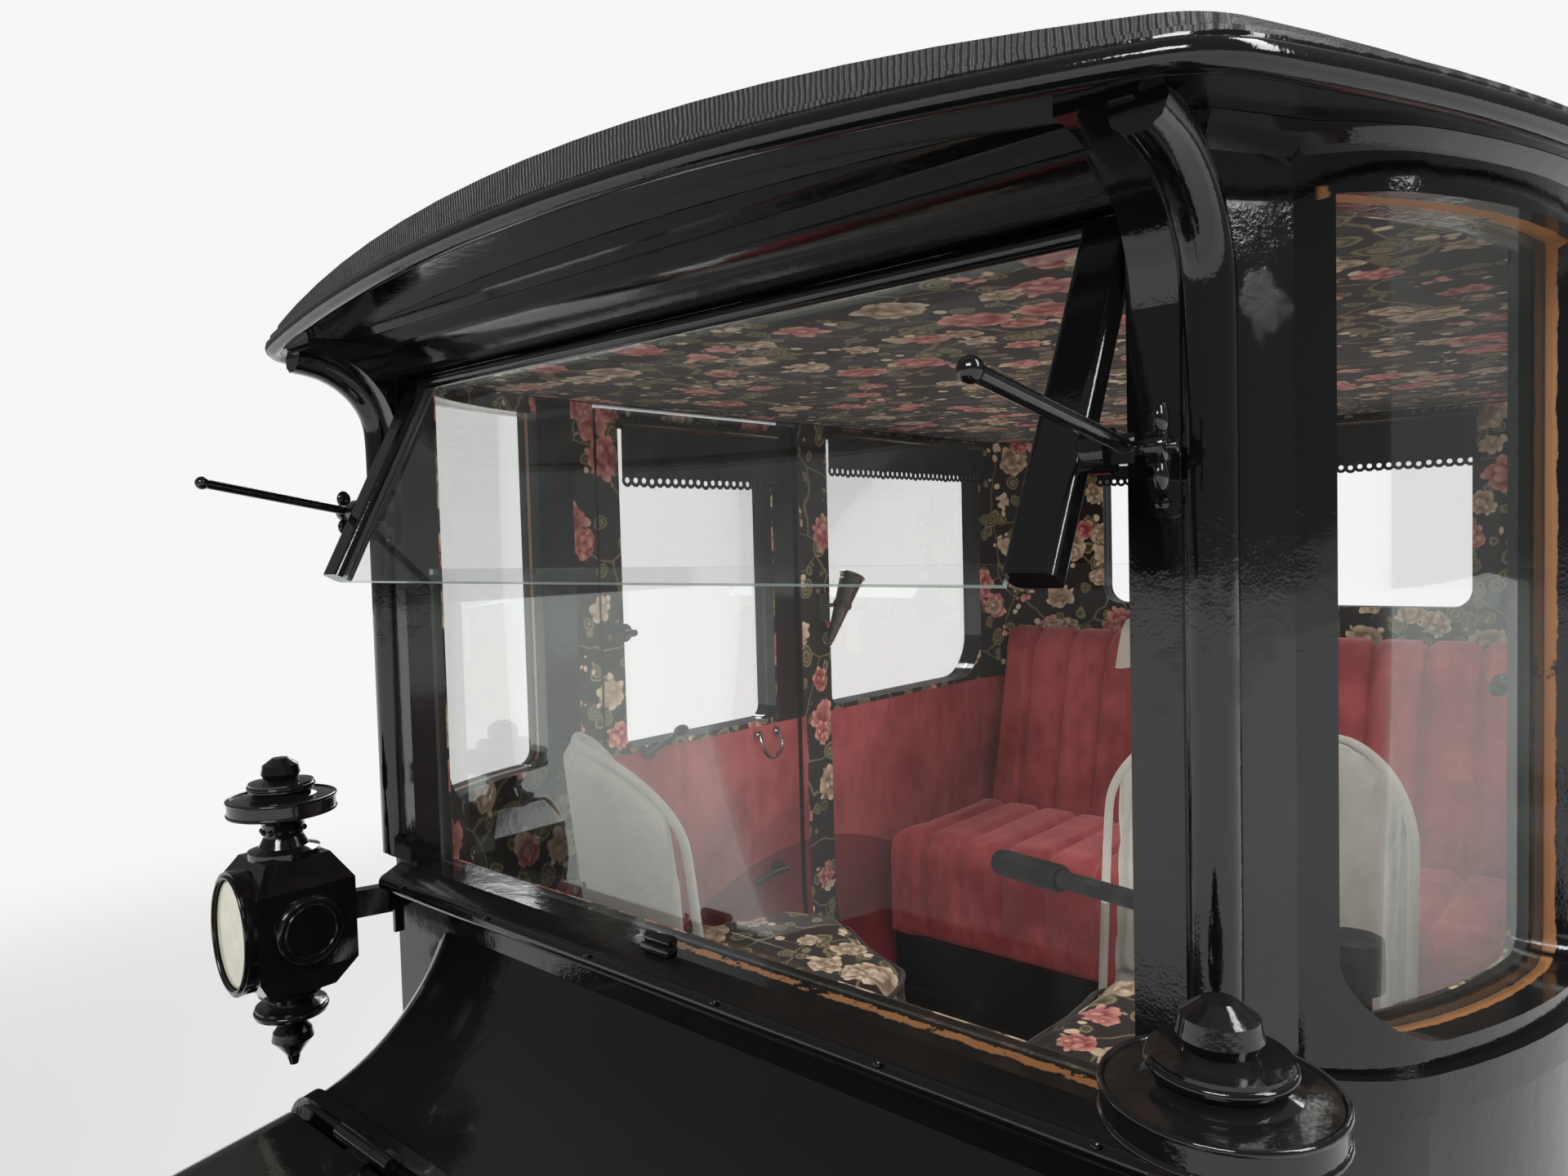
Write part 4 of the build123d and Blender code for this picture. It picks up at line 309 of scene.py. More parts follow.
@dataclass(frozen=True)
class FloralCloth(Finish):
    """Dark cloth with large roses, leaves, buds and stems."""

    ground: Colour = (0.019, 0.012, 0.010)
    rose_dark: Colour = (0.26, 0.040, 0.040)
    rose_light: Colour = (0.72, 0.33, 0.27)
    cream_dark: Colour = (0.22, 0.13, 0.075)
    cream_light: Colour = (0.72, 0.57, 0.40)
    leaf_dark: Colour = (0.050, 0.044, 0.020)
    leaf_light: Colour = (0.25, 0.20, 0.10)
    roses_per_m: float = 10.5
    small_roses: float = 1.45
    buds_per_m: float = 34.0
    stems_per_m: float = 6.3
    leaves: tuple[tuple[float, float], ...] = ((17.0, 0.36), (27.0, 0.40))

    def shade(self, shop: Shop) -> Signal:
        """The cloth's surface.

        Args:
            shop: The material's node tree.

        Returns:
            The shader.
        """
        wobble = self._wobbled(shop, 0.020, 26.0)
        rough_wobble = self._wobbled(shop, 0.034, 15.0)
        colour = self.ground
        stem = shop.out(shop.cells(self.stems_per_m, "DISTANCE_TO_EDGE", rough_wobble), 0)
        colour = shop.mix(shop.ramp01(stem, 0.013, 0.006) * 0.7, colour, self.leaf_light)
        for vector, (scale, reach) in zip((rough_wobble, wobble), self.leaves):
            colour = self._leaves(shop, colour, vector, scale, reach)
        buds = shop.cells(self.buds_per_m, "F1", wobble)
        pick = self._channel(shop, shop.out(buds, "Color"), 0)
        bud = shop.ramp01(shop.out(buds, 0), 0.30, 0.22) * shop.ramp01(pick, 0.72, 0.74)
        colour = shop.mix(bud, colour, self.cream_light)
        for scale, chosen in ((self.roses_per_m, 0.30), (self.roses_per_m * self.small_roses, 0.62)):
            colour = self._roses(shop, colour, wobble, scale, chosen)
        weave = shop.noise(1500.0, 1.0)
        folds = shop.noise(9.0, 2.0)
        normal = shop.bump(weave, 0.25, 0.0006, shop.bump(folds, 0.35, 0.006))
        return shop.surface(
            Base_Color=colour, Roughness=0.82, Normal=normal, Sheen_Weight=0.12, Specular_IOR_Level=0.25
        )

    def _wobbled(self, shop: Shop, reach: float, scale: float) -> Signal:
        """The point moved by noise, so that cell edges look drawn by hand."""
        coordinates = shop.place()
        noise = shop.out(shop.node("ShaderNodeTexNoise", None, {"Vector": coordinates, "Scale": scale}), 1)
        moved = shop.node("ShaderNodeVectorMath", {"operation": "MULTIPLY_ADD"}, {
            0: noise, 1: (reach, reach, reach), 2: coordinates,
        })
        return shop.out(moved)

    def _channel(self, shop: Shop, colour: Signal, index: int) -> Signal:
        """One channel of a colour as a number."""
        return shop.out(shop.node("ShaderNodeSeparateColor", None, {0: colour}), index)

    def _leaves(
        self, shop: Shop, colour: "Signal | Colour", vector: Signal, scale: float, reach: float
    ) -> Signal:
        """Lay olive leaves over a colour."""
        cells = shop.cells(scale, "F1", vector)
        distance = shop.out(cells, 0)
        pick = self._channel(shop, shop.out(cells, "Color"), 1)
        mask = shop.ramp01(distance, reach, reach - 0.05) * shop.ramp01(pick, 0.42, 0.44)
        vein = shop.math("SINE", distance * 46.0) * 0.5 + 0.5
        return shop.mix(mask, colour, shop.mix(vein, self.leaf_dark, self.leaf_light))

    def _roses(self, shop: Shop, colour: Signal, vector: Signal, scale: float, chosen: float) -> Signal:
        """Lay full-blown roses over a colour."""
        cells = shop.cells(scale, "F1", vector, 0.85)
        distance = shop.out(cells, 0)
        red = self._channel(shop, shop.out(cells, "Color"), 0)
        pick = self._channel(shop, shop.out(cells, "Color"), 1)
        petal = shop.out(shop.cells(scale * 5.2, "F1", vector), 0)
        fold = shop.math("SINE", distance * 30.0 + petal * 7.0) * 0.22
        light = shop.ramp01(petal, 0.72, 0.10) * 0.75 + fold + distance * 0.55
        is_red = shop.ramp01(red, 0.50, 0.52)
        dark = shop.mix(is_red, self.cream_dark, self.rose_dark)
        bright = shop.mix(is_red, self.cream_light, self.rose_light)
        edge = distance + petal * 0.20
        mask = shop.ramp01(edge, 0.50, 0.47) * shop.ramp01(pick, chosen, chosen + 0.02)
        return shop.mix(mask, colour, shop.mix(light, dark, bright))


@dataclass(frozen=True)
class Velour(Finish):
    """Rose-red pile cloth with a soft sheen and brushed patches."""

    light: Colour = (0.42, 0.082, 0.088)
    dark: Colour = (0.235, 0.028, 0.034)

    def shade(self, shop: Shop) -> Signal:
        """The pile's surface.

        Args:
            shop: The material's node tree.

        Returns:
            The shader.
        """
        nap = shop.noise(7.0, 4.0, 0.6)
        brushed = shop.noise(38.0, 3.0, 0.6, (1.0, 1.0, 0.35))
        worn = shop.ramp01(nap * 0.65 + brushed * 0.35, 0.34, 0.66)
        pile = shop.noise(1400.0, 2.0)
        normal = shop.bump(pile, 0.35, 0.0006, shop.bump(nap, 0.25, 0.004))
        return shop.surface(
            Base_Color=shop.mix(worn, self.dark, self.light), Roughness=0.78 + brushed * 0.15, Normal=normal,
            Sheen_Weight=0.55, Sheen_Roughness=0.45, Sheen_Tint=(0.95, 0.45, 0.45), Specular_IOR_Level=0.15,
        )


@dataclass(frozen=True)
class CoachPaint(Finish):
    """Thick hand-brushed black coach paint with orange peel, runs, grit and chips."""

    colour: Colour = (0.0035, 0.0035, 0.004)
    primer: Colour = (0.16, 0.10, 0.055)
    wood: Colour = (0.30, 0.125, 0.038)
    chips: float = 0.5
    lining: Zone = Zone.NONE

    def coat(self, shop: Shop) -> Signal:
        """The paint alone.

        Args:
            shop: The material's node tree.

        Returns:
            The shader.
        """
        peel = shop.noise(420.0, 2.0, 0.45)
        wave = shop.noise(34.0, 3.0, 0.5)
        runs = shop.noise(60.0, 3.0, 0.55, (1.0, 1.0, 0.16))
        patch = shop.ramp01(shop.noise(5.5, 4.0, 0.62), 0.65, 0.73)
        grit = shop.noise(900.0, 4.0, 0.75) * patch
        flakes = shop.out(shop.cells(150.0, "F1"), 0) * patch
        flaked = shop.noise(170.0, 5.0, 0.72)
        chip_field = shop.noise(11.0, 5.0, 0.7)
        flaking = 0.735 - 0.05 * self.chips
        chip = shop.ramp01(chip_field * 0.55 + flaked * 0.45, flaking, flaking + 0.01)
        dust = shop.noise(3.0, 6.0, 0.7)
        _, _, up = shop.normal_xyz()
        settled = shop.ramp01(up, 0.5, 1.0) * dust
        colour = shop.mix(settled * 0.05, self.colour, (0.22, 0.20, 0.17))
        colour = shop.mix(patch * 0.04, colour, (0.10, 0.09, 0.08))
        colour = shop.mix(chip * self.chips, colour, self.primer)
        rough = 0.06 + wave * 0.05 + settled * 0.08 + patch * 0.12 + chip * 0.35
        height = peel * 0.16 + runs * 0.40 + grit * 0.35 + flakes * 0.2 - chip * 0.5
        normal = shop.bump(height, 0.55, 0.0011, shop.bump(wave, 0.12, 0.004))
        if self.lining is not Zone.NONE:
            bead = shop.math("MAXIMUM", CornerBead().bare(shop), ScreenSill().bare(shop))
            colour = shop.mix(bead, colour, self.wood)
            rough = rough + bead * 0.4
        return shop.surface(
            Base_Color=colour, Roughness=rough, Normal=normal, IOR=1.52, Coat_Weight=0.35, Coat_Roughness=0.05
        )

    def shade(self, shop: Shop) -> Signal:
        """The paint, with the cabin's lining on the inner faces where the finish has one.

        Args:
            shop: The material's node tree.

        Returns:
            The shader.
        """
        paint = self.coat(shop)
        if self.lining is Zone.NONE:
            return paint
        lining = Lining()
        cloth = FloralCloth().shade(shop)
        if self.lining is Zone.DOOR:
            cloth = lining.with_pile(shop, cloth)
        inside = shop.ramp01(CabinShell().depth(shop), 0.0470, 0.0478) * (1.0 - lining.stiles(shop))
        return shop.blend_shaders(inside, paint, cloth)


@dataclass(frozen=True)
class CornerBead:
    """The wooden bead round the front corner window's opening, its paint worn off in places."""

    ahead: float = 0.4965
    half: float = 0.1255
    low: float = 1.300
    high: float = 1.843
    half_width: float = 0.005

    def bare(self, shop: Shop) -> Signal:
        """Where its wood is bare.

        Args:
            shop: The material's node tree.

        Returns:
            1 on bare wood, 0 elsewhere.
        """
        x, y, z = shop.xyz()
        side = shop.math("ABSOLUTE", x)
        across = shop.math("ABSOLUTE", y + self.ahead) - self.half
        outside = shop.math("MAXIMUM", across, shop.math("MAXIMUM", self.low - z, z - self.high))
        ring = shop.within(outside, 0.0, self.half_width, 0.001) * shop.ramp01(side, 0.47, 0.50)
        depth = CabinShell().depth(shop)
        uneven = shop.noise(45.0, 4.0, 0.7) * 0.006
        head = shop.ramp01(z, self.high - 0.005, self.high - 0.001) * 0.006
        ring = ring * shop.ramp01(depth + uneven + head, 0.0215, 0.0225) * shop.under(depth, 0.0265, 0.001)
        return ring * shop.ramp01(shop.noise(12.0, 5.0, 0.7), 0.36, 0.42)


@dataclass(frozen=True)
class ScreenSill:
    """The wooden sill under the windscreen, bare on the car's left half."""

    z: float = 1.2495
    half_width: float = 0.00275
    front: float = 0.6717
    back: float = -0.6635
    ragged: float = 0.018

    def bare(self, shop: Shop) -> Signal:
        """Where its wood is bare.

        Args:
            shop: The material's node tree.

        Returns:
            1 on bare wood, 0 elsewhere.
        """
        x, y, z = shop.xyz()
        line = shop.within(z, self.z, self.half_width, 0.00075)
        ragged = shop.noise(60.0, 5.0, 0.75) * self.ragged
        front = shop.ramp01(ragged - y, self.front - 0.0005, self.front + 0.0005)
        back = shop.ramp01(ragged + y, self.back - 0.0005, self.back + 0.0005)
        left = shop.ramp01(x, -0.05, 0.02)
        return line * front * back * left * shop.ramp01(shop.noise(26.0, 5.0, 0.75), 0.43, 0.46)


@dataclass(frozen=True)
class Lining:
    """How the cabin's inside is lined: floral cloth, painted stiles, and pile on the doors."""

    sill_z: float = 1.290
    post_y: float = 0.292
    post_half: float = 0.039
    arch_y: float = 0.222
    arch_top: float = 1.043
    arch_fall: float = 0.75
    corner_stile: tuple[float, float] = (-0.338, 0.0335)
    door_stile: tuple[float, float] = (0.207, 0.0395)
    # Colours of the darker pile in the arch: painted shade, not a different cloth.
    painted_shade_arch: tuple[Colour, Colour] = ((0.20, 0.012, 0.020), (0.10, 0.006, 0.010))

    def with_pile(self, shop: Shop, cloth: Signal) -> Signal:
        """Cloth with rose pile below the windows, and low on the door an arch of darker pile that is painted
        shade.

        Args:
            shop: The material's node tree.
            cloth: The cloth's surface.

        Returns:
            The shader.
        """
        _, y, z = shop.xyz()
        post = shop.within(y, self.post_y, self.post_half, 0.001)
        # Below this arch the pile is painted darker: painted shade where a reflection in the windscreen ends.
        from_top = y - self.arch_y
        shade_arch = self.arch_top - from_top * from_top * self.arch_fall
        plain = Velour().shade(shop)
        painted_shade_arch = Velour(*self.painted_shade_arch).shade(shop)
        pile = shop.blend_shaders(shop.under(z - shade_arch, 0.0, 0.001), plain, painted_shade_arch)
        return shop.blend_shaders(shop.under(z, self.sill_z, 0.001) * (1.0 - post), cloth, pile)

    def stiles(self, shop: Shop) -> Signal:
        """Where painted wood shows inside: behind the corner window and behind the door's window.

        Args:
            shop: The material's node tree.

        Returns:
            1 on painted wood, 0 elsewhere.
        """
        _, y, z = shop.xyz()
        corner, door = (shop.within(y, *stile) for stile in (self.corner_stile, self.door_stile))
        return shop.math("MAXIMUM", corner, door) * shop.ramp01(z, self.sill_z - 0.001, self.sill_z + 0.001)


@dataclass(frozen=True)
class CabinShell:
    """The outer surface of the cabin's walls, in plan and in its tumble below the belt."""

    belt_z: float = 1.0
    tumble_centre: float = 0.188
    tumble_radius: float = 0.862
    front_y: float = -0.690
    corner_x: float = 0.164
    corner_y: float = -0.325
    corner_radius: float = 0.508
    back_y: float = 1.145
    rear_x: float = 0.422
    rear_y: float = 0.895
    rear_radius: float = 0.25

    def depth(self, shop: Shop) -> Signal:
        """How far a point lies inside the surface.

        Args:
            shop: The material's node tree.

        Returns:
            The depth in metres, positive inside.
        """
        x, y, z = shop.xyz()
        side = shop.math("ABSOLUTE", x)
        below = shop.math("MINIMUM", z - self.belt_z, 0.0)
        walls = (
            self._round(shop, self.tumble_radius, side + self.tumble_centre, below),
            self._round(shop, self.corner_radius, *self._past(shop, side - self.corner_x, self.corner_y - y)),
            self._round(shop, self.rear_radius, *self._past(shop, side - self.rear_x, y - self.rear_y)),
            shop.math("MINIMUM", y - self.front_y, self.back_y - y),
        )
        depth = walls[0]
        for wall in walls[1:]:
            depth = shop.math("MINIMUM", depth, wall)
        return depth

    def _past(self, shop: Shop, *ways: Signal) -> list[Signal]:
        """Each distance, or 0 where it is negative."""
        return [shop.math("MAXIMUM", way, 0.0) for way in ways]

    def _round(self, shop: Shop, radius: float, a: Signal, b: Signal) -> Signal:
        """How far a point lies inside a round wall."""
        return radius - shop.math("SQRT", a * a + b * b)


@dataclass(frozen=True)
class RoofUnderside:
    """The crowned surface that the roof's rim and bead stand on."""

    height: float = 1.934
    across: float = 10.0
    along: float = 30.0
    middle: float = 0.17

    def drop(self, x: "Signal | float", y: "Signal | float") -> "Signal | float":
        """How far the surface lies under its highest point."""
        behind = y - self.middle
        return x * x * (1 / self.across) + behind * behind * (1 / self.along)


@dataclass(frozen=True)
class PlainCloth(Finish):
    """A fine plain-woven cloth."""

    light: Colour
    dark: Colour
    sheen: float = 0.2

    def shade(self, shop: Shop) -> Signal:
        """The cloth's surface.

        Args:
            shop: The material's node tree.

        Returns:
            The shader.
        """
        warp = shop.noise(1300.0, 1.0, 0.5, (1.0, 1.0, 0.2))
        weft = shop.noise(1300.0, 1.0, 0.5, (0.2, 0.2, 1.0))
        stain = shop.noise(6.0, 5.0, 0.65)
        colour = shop.mix(shop.ramp01(stain + warp * 0.2, 0.35, 0.8), self.dark, self.light)
        normal = shop.bump(warp + weft, 0.4, 0.0006, shop.bump(stain, 0.2, 0.004))
        return shop.surface(
            Base_Color=colour, Roughness=0.85, Normal=normal, Sheen_Weight=self.sheen, Specular_IOR_Level=0.2
        )


@dataclass(frozen=True)
class PlateGlass(Finish):
    """Clear old plate glass with a pale green edge."""

    across: Vec
    free_edge: tuple[float, float] = (0.0, 0.01)
    haze: float = 0.03

    def shade(self, shop: Shop) -> Signal:
        """The glass, bright on its free edge and dim where a frame hides the cut.

        Args:
            shop: The material's node tree.

        Returns:
            The shader.
        """
        geometry = shop.out(shop.node("ShaderNodeNewGeometry"), "Normal")
        facing = shop.out(shop.node("ShaderNodeVectorMath", {"operation": "DOT_PRODUCT"}, {
            0: geometry, 1: self.across,
        }), 1)
        edge = shop.ramp01(shop.math("ABSOLUTE", facing), 0.55, 0.35)
        _, _, z = shop.xyz()
        free = shop.ramp01(z, self.free_edge[0], self.free_edge[1])
        return glass_film(shop, self.haze, edge * (0.08 + free * 0.92))


def glass_film(shop: Shop, haze: float, edge: "Signal | float") -> Signal:
    """Old window glass: a mirror film that grows at a glance, over a little smeared dust.

    Args:
        shop: The material's node tree.
        haze: How much dust lies on it.
        edge: 1 on the cut edges.

    Returns:
        The shader.
    """
    smear = shop.ramp01(shop.noise(9.0, 6.0, 0.7, (1.0, 1.0, 0.4)), 0.45, 0.80)
    film = shop.out(shop.node("ShaderNodeFresnel", None, {"IOR": 1.38}), 0)
    mirror = shop.surface(Base_Color=(0.86, 0.92, 0.89), Metallic=1.0, Roughness=0.015, Alpha=film * 0.36)
    dust = shop.surface(Base_Color=(0.70, 0.71, 0.68), Roughness=0.6, Alpha=haze * (0.3 + smear))
    bright = shop.surface(Base_Color=(0.62, 0.74, 0.66), Roughness=0.12, Alpha=0.72)
    film_and_dust = shop.blend_shaders(0.35, mirror, dust)
    return shop.blend_shaders(edge, film_and_dust, bright)


@dataclass(frozen=True)
class Hide(Finish):
    """Black roofing hide with long ribs that run back over the roof, their crests painted lighter as a
    highlight, and a painted bead.
    """

    rib: float = 0.0040
    front: tuple[float, float] = (-0.69, -0.76)
    back: tuple[float, float] = (1.05, 1.13)
    sides: tuple[float, float] = (0.59, 0.65)
    faint: float = 0.06
    bead_top: float = 0.0138

    def shade(self, shop: Shop) -> Signal:
        """The hide with the bead's paint below it.

        Args:
            shop: The material's node tree.

        Returns:
            The shader.
        """
        x, y, z = shop.xyz()
        drift = shop.noise(20.0, 3.0, 0.6, (1.0, 0.12, 1.0)) * 0.008
        broken = shop.noise(130.0, 2.0, 0.5, (1.0, 0.10, 1.0))
        along = shop.math("ABSOLUTE", x) - y * 0.55 + drift
        ends = shop.math("MAXIMUM", shop.ramp01(y, *self.front), shop.ramp01(y, *self.back))
        rim = shop.math("MAXIMUM", ends, shop.ramp01(shop.math("ABSOLUTE", x), *self.sides))
        rim = rim * (1.0 - self.faint) + self.faint
        ribs = (shop.math("SINE", along * (2 * math.pi / self.rib)) * 0.5 + 0.5) ** 2.0 * rim
        grain = shop.noise(700.0, 3.0, 0.6)
        dust = shop.noise(5.0, 5.0, 0.65)
        height = ribs * 0.9 + broken * 0.35 + grain * 0.2
        normal = shop.bump(height, 0.9, 0.0016)
        # Rib crests lighten the colour: a painted highlight for the ribs' glints. The dust term is real dust.
        colour = shop.mix(ribs * 0.75 + dust * 0.2, (0.008, 0.008, 0.009), (0.085, 0.085, 0.088))
        hide = shop.surface(
            Base_Color=colour, Roughness=0.30 + dust * 0.22, Normal=normal, Specular_IOR_Level=0.55
        )
        crown = RoofUnderside()
        underside = crown.height - crown.drop(x, y)
        gritty = shop.noise(70.0, 4.0, 0.75) * 0.004
        bead = shop.under(z - underside - gritty, self.bead_top, 0.0004)
        paint = CoachPaint(chips=0.75).coat(shop)
        return shop.blend_shaders(bead, hide, paint)


@dataclass(frozen=True)
class Metal(Finish):
    """A metal finish, from bright nickel to dull iron, with rubbed and dirty patches."""

    bright: Colour
    dull: Colour
    metallic: float = 1.0
    rough: float = 0.3
    rust: float = 0.0

    def shade(self, shop: Shop) -> Signal:
        """The metal's surface.

        Args:
            shop: The material's node tree.

        Returns:
            The shader.
        """
        patches = shop.noise(14.0, 5.0, 0.65)
        fine = shop.noise(220.0, 3.0, 0.6)
        dirt = shop.ramp01(patches * 0.7 + fine * 0.3, 0.45, 0.62)
        rusty = shop.ramp01(shop.noise(26.0, 6.0, 0.72), 0.60, 0.68) * self.rust
        colour = shop.mix(dirt, self.bright, self.dull)
        colour = shop.mix(rusty, colour, (0.16, 0.055, 0.02))
        rough = self.rough + dirt * 0.15 + rusty * 0.35
        metallic = shop.math("SUBTRACT", self.metallic, rusty * self.metallic)
        normal = shop.bump(fine + rusty, 0.25, 0.0006)
        return shop.surface(Base_Color=colour, Roughness=rough, Metallic=metallic, Normal=normal)


@dataclass(frozen=True)
class Rubber(Finish):
    """Old black rubber with clouds of dust."""

    colour: Colour = (0.018, 0.018, 0.018)
    dust: Colour = (0.14, 0.12, 0.10)

    def shade(self, shop: Shop) -> Signal:
        """The rubber's surface.

        Args:
            shop: The material's node tree.

        Returns:
            The shader.
        """
        cloud = shop.noise(7.0, 5.0, 0.65)
        grain = shop.noise(500.0, 3.0, 0.6)
        colour = shop.mix(shop.ramp01(cloud + grain * 0.2, 0.5, 0.85) * 0.6, self.colour, self.dust)
        return shop.surface(
            Base_Color=colour, Roughness=0.62 + cloud * 0.2, Normal=shop.bump(grain, 0.4, 0.0007)
        )


@dataclass(frozen=True)
class LampGlass(Finish):
    """The lamps' cream front glass, cloudy and spotted."""

    def shade(self, shop: Shop) -> Signal:
        """The glass's surface.

        Args:
            shop: The material's node tree.

        Returns:
            The shader.
        """
        cloud = shop.noise(38.0, 4.0, 0.6)
        spots = shop.ramp01(shop.noise(120.0, 3.0, 0.7), 0.62, 0.72)
        colour = shop.mix(cloud, (0.80, 0.77, 0.62), (0.52, 0.49, 0.37))
        colour = shop.mix(spots * 0.4, colour, (0.30, 0.26, 0.18))
        return shop.surface(
            Base_Color=colour, Roughness=0.10 + cloud * 0.12, Coat_Weight=0.6, Coat_Roughness=0.03,
            Normal=shop.bump(cloud, 0.25, 0.002),
        )


@dataclass(frozen=True)
class Carpet(Finish):
    """Short dark wine-red carpet, trodden in patches, its faces that do not point up painted near-black as
    shade.
    """

    def shade(self, shop: Shop) -> Signal:
        """The pile's surface.

        Args:
            shop: The material's node tree.

        Returns:
            The shader.
        """
        pile = shop.noise(900.0, 4.0, 0.7)
        worn = shop.noise(5.0, 4.0, 0.6)
        _, _, up = shop.normal_xyz()
        colour = shop.mix(shop.ramp01(worn, 0.35, 0.7), (0.045, 0.010, 0.010), (0.085, 0.026, 0.022))
        # Faces that do not point up are painted near-black: painted shade.
        colour = shop.mix(shop.ramp01(up, 0.6, 0.4), colour, (0.010, 0.010, 0.010))
        return shop.surface(
            Base_Color=colour, Roughness=0.92, Normal=shop.bump(pile, 0.8, 0.0016), Specular_IOR_Level=0.1
        )


# Modelling by operators


class Bench:
    """The workbench: bpy.ops wrapped so that every new piece ends at the origin, unscaled."""

    @staticmethod
    def clear() -> None:
        """Deselect everything."""
        if bpy.context.object and bpy.context.object.mode != "OBJECT":
            bpy.ops.object.mode_set(mode="OBJECT")
        bpy.ops.object.select_all(action="DESELECT")

    @staticmethod
    def pick(obj: bpy.types.Object) -> None:
        """Make one object the only one selected and active."""
        Bench.clear()
        obj.select_set(True)
        bpy.context.view_layer.objects.active = obj

    @staticmethod
    def settle(obj: bpy.types.Object, name: str) -> bpy.types.Object:
        """Apply an object's place to its mesh and name it.

        Args:
            obj: The object.
            name: Its new name.

        Returns:
            The object at the origin.
        """
        Bench.pick(obj)
        bpy.ops.object.transform_apply(location=True, rotation=True, scale=True)
        obj.name = name
        obj.data.name = name
        return obj

    @staticmethod
    def block(name: str, low: Vec, high: Vec, bevel: float = 0.0, segments: int = 2) -> bpy.types.Object:
        """A block between two corners with rounded edges.

        Args:
            name: The piece's name.
            low: Lowest corner.
            high: Highest corner.
            bevel: Edge radius.
            segments: Steps of the rounding.

        Returns:
            The piece.
        """
        Bench.clear()
        middle = [(a + b) / 2 for a, b in zip(low, high)]
        size = [b - a for a, b in zip(low, high)]
        bpy.ops.mesh.primitive_cube_add(size=1.0, location=middle, scale=size)
        obj = Bench.settle(bpy.context.object, name)
        if bevel:
            Bench.round_edges(obj, bevel, segments)
        return obj

    @staticmethod
    def round_edges(obj: bpy.types.Object, width: float, segments: int = 2, angle: float = 30.0) -> None:
        """Bevel a piece's edges with an applied modifier.

        Args:
            obj: The piece.
            width: Bevel width.
            segments: Steps of the rounding.
            angle: Edges sharper than this many degrees are bevelled.
        """
        Bench.pick(obj)
        modifier = obj.modifiers.new("Bevel", "BEVEL")
        modifier.width = width
        modifier.segments = segments
        modifier.angle_limit = math.radians(angle)
        bpy.ops.object.modifier_apply(modifier=modifier.name)
        bpy.ops.object.shade_smooth_by_angle(angle=SMOOTH_ANGLE)

    @staticmethod
    def thicken(sheet: bpy.types.Object, thickness: float) -> None:
        """Give a sheet its thickness, half to each side.

        Args:
            sheet: The sheet.
            thickness: Its thickness.
        """
        Bench.pick(sheet)
        solid = sheet.modifiers.new("Solidify", "SOLIDIFY")
        solid.thickness = thickness
        solid.offset = 0.0
        bpy.ops.object.modifier_apply(modifier=solid.name)
        bpy.ops.object.shade_smooth_by_angle(angle=SMOOTH_ANGLE)

    @staticmethod
    def bar(
        name: str, start: Vec, end: Vec, radius: float, sides: int = 16, bevel: float = 0.0
    ) -> bpy.types.Object:
        """A round bar between two points.

        Args:
            name: The piece's name.
            start: One end.
            end: The other end.
            radius: Its radius.
            sides: Faces round it.
            bevel: Radius of its end edges.

        Returns:
            The piece.
        """
        Bench.clear()
        a, b = Vector(start), Vector(end)
        turn = (b - a).to_track_quat("Z", "Y").to_euler()
        bpy.ops.mesh.primitive_cylinder_add(
            vertices=sides, radius=radius, depth=(b - a).length, location=(a + b) / 2, rotation=turn
        )
        obj = Bench.settle(bpy.context.object, name)
        if bevel:
            Bench.round_edges(obj, bevel)
        else:
            bpy.ops.object.shade_smooth_by_angle(angle=SMOOTH_ANGLE)
        return obj

    @staticmethod
    def ball(name: str, centre: Vec, radius: float, scale: Vec = (1.0, 1.0, 1.0)) -> bpy.types.Object:
        """A ball, or an egg when scaled.

        Args:
            name: The piece's name.
            centre: Its middle.
            radius: Its radius.
            scale: Scale along each axis.

        Returns:
            The piece.
        """
        Bench.clear()
        bpy.ops.mesh.primitive_uv_sphere_add(
            segments=20, ring_count=12, radius=radius, location=centre, scale=scale
        )
        obj = Bench.settle(bpy.context.object, name)
        bpy.ops.object.shade_smooth()
        return obj

    @staticmethod
    def ring(
        name: str, centre: Vec, axis: Vec, major: float, minor: float, steps: tuple[int, int] = (28, 8)
    ) -> bpy.types.Object:
        """A ring about an axis.

        Args:
            name: The piece's name.
            centre: Its middle.
            axis: The axis it goes round.
            major: Radius to the middle of its wire.
            minor: Radius of its wire.
            steps: Segments round the ring and round the wire.

        Returns:
            The piece.
        """
        Bench.clear()
        turn = Vector(axis).to_track_quat("Z", "Y").to_euler()
        bpy.ops.mesh.primitive_torus_add(
            location=centre, rotation=turn, major_radius=major, minor_radius=minor,
            major_segments=steps[0], minor_segments=steps[1],
        )
        obj = Bench.settle(bpy.context.object, name)
        bpy.ops.object.shade_smooth()
        return obj

    @staticmethod
    def tube(
        name: str, points: Sequence[Vec], radius: float, closed: bool = False, sides: int = 6
    ) -> bpy.types.Object:
        """A smooth tube through a row of points.

        Args:
            name: The piece's name.
            points: The points it follows.
            radius: Its radius.
            closed: Whether its ends meet.
            sides: Steps of its section per quarter.

        Returns:
            The piece.
        """
        Bench.clear()
        curve = bpy.data.curves.new(name, "CURVE")
        curve.dimensions = "3D"
        curve.bevel_depth = radius
        curve.bevel_resolution = max(1, sides // 3)
        curve.resolution_u = 4
        curve.use_fill_caps = not closed
        spline = curve.splines.new("NURBS")
        spline.points.add(len(points) - 1)
        for point, place in zip(spline.points, points):
            point.co = (*place, 1.0)
        spline.order_u = 3
        spline.use_cyclic_u = closed
        spline.use_endpoint_u = not closed
        obj = bpy.data.objects.new(name, curve)
        bpy.context.scene.collection.objects.link(obj)
        Bench.pick(obj)
        bpy.ops.object.convert(target="MESH")
        obj = bpy.context.object
        bpy.ops.object.shade_smooth()
        return obj

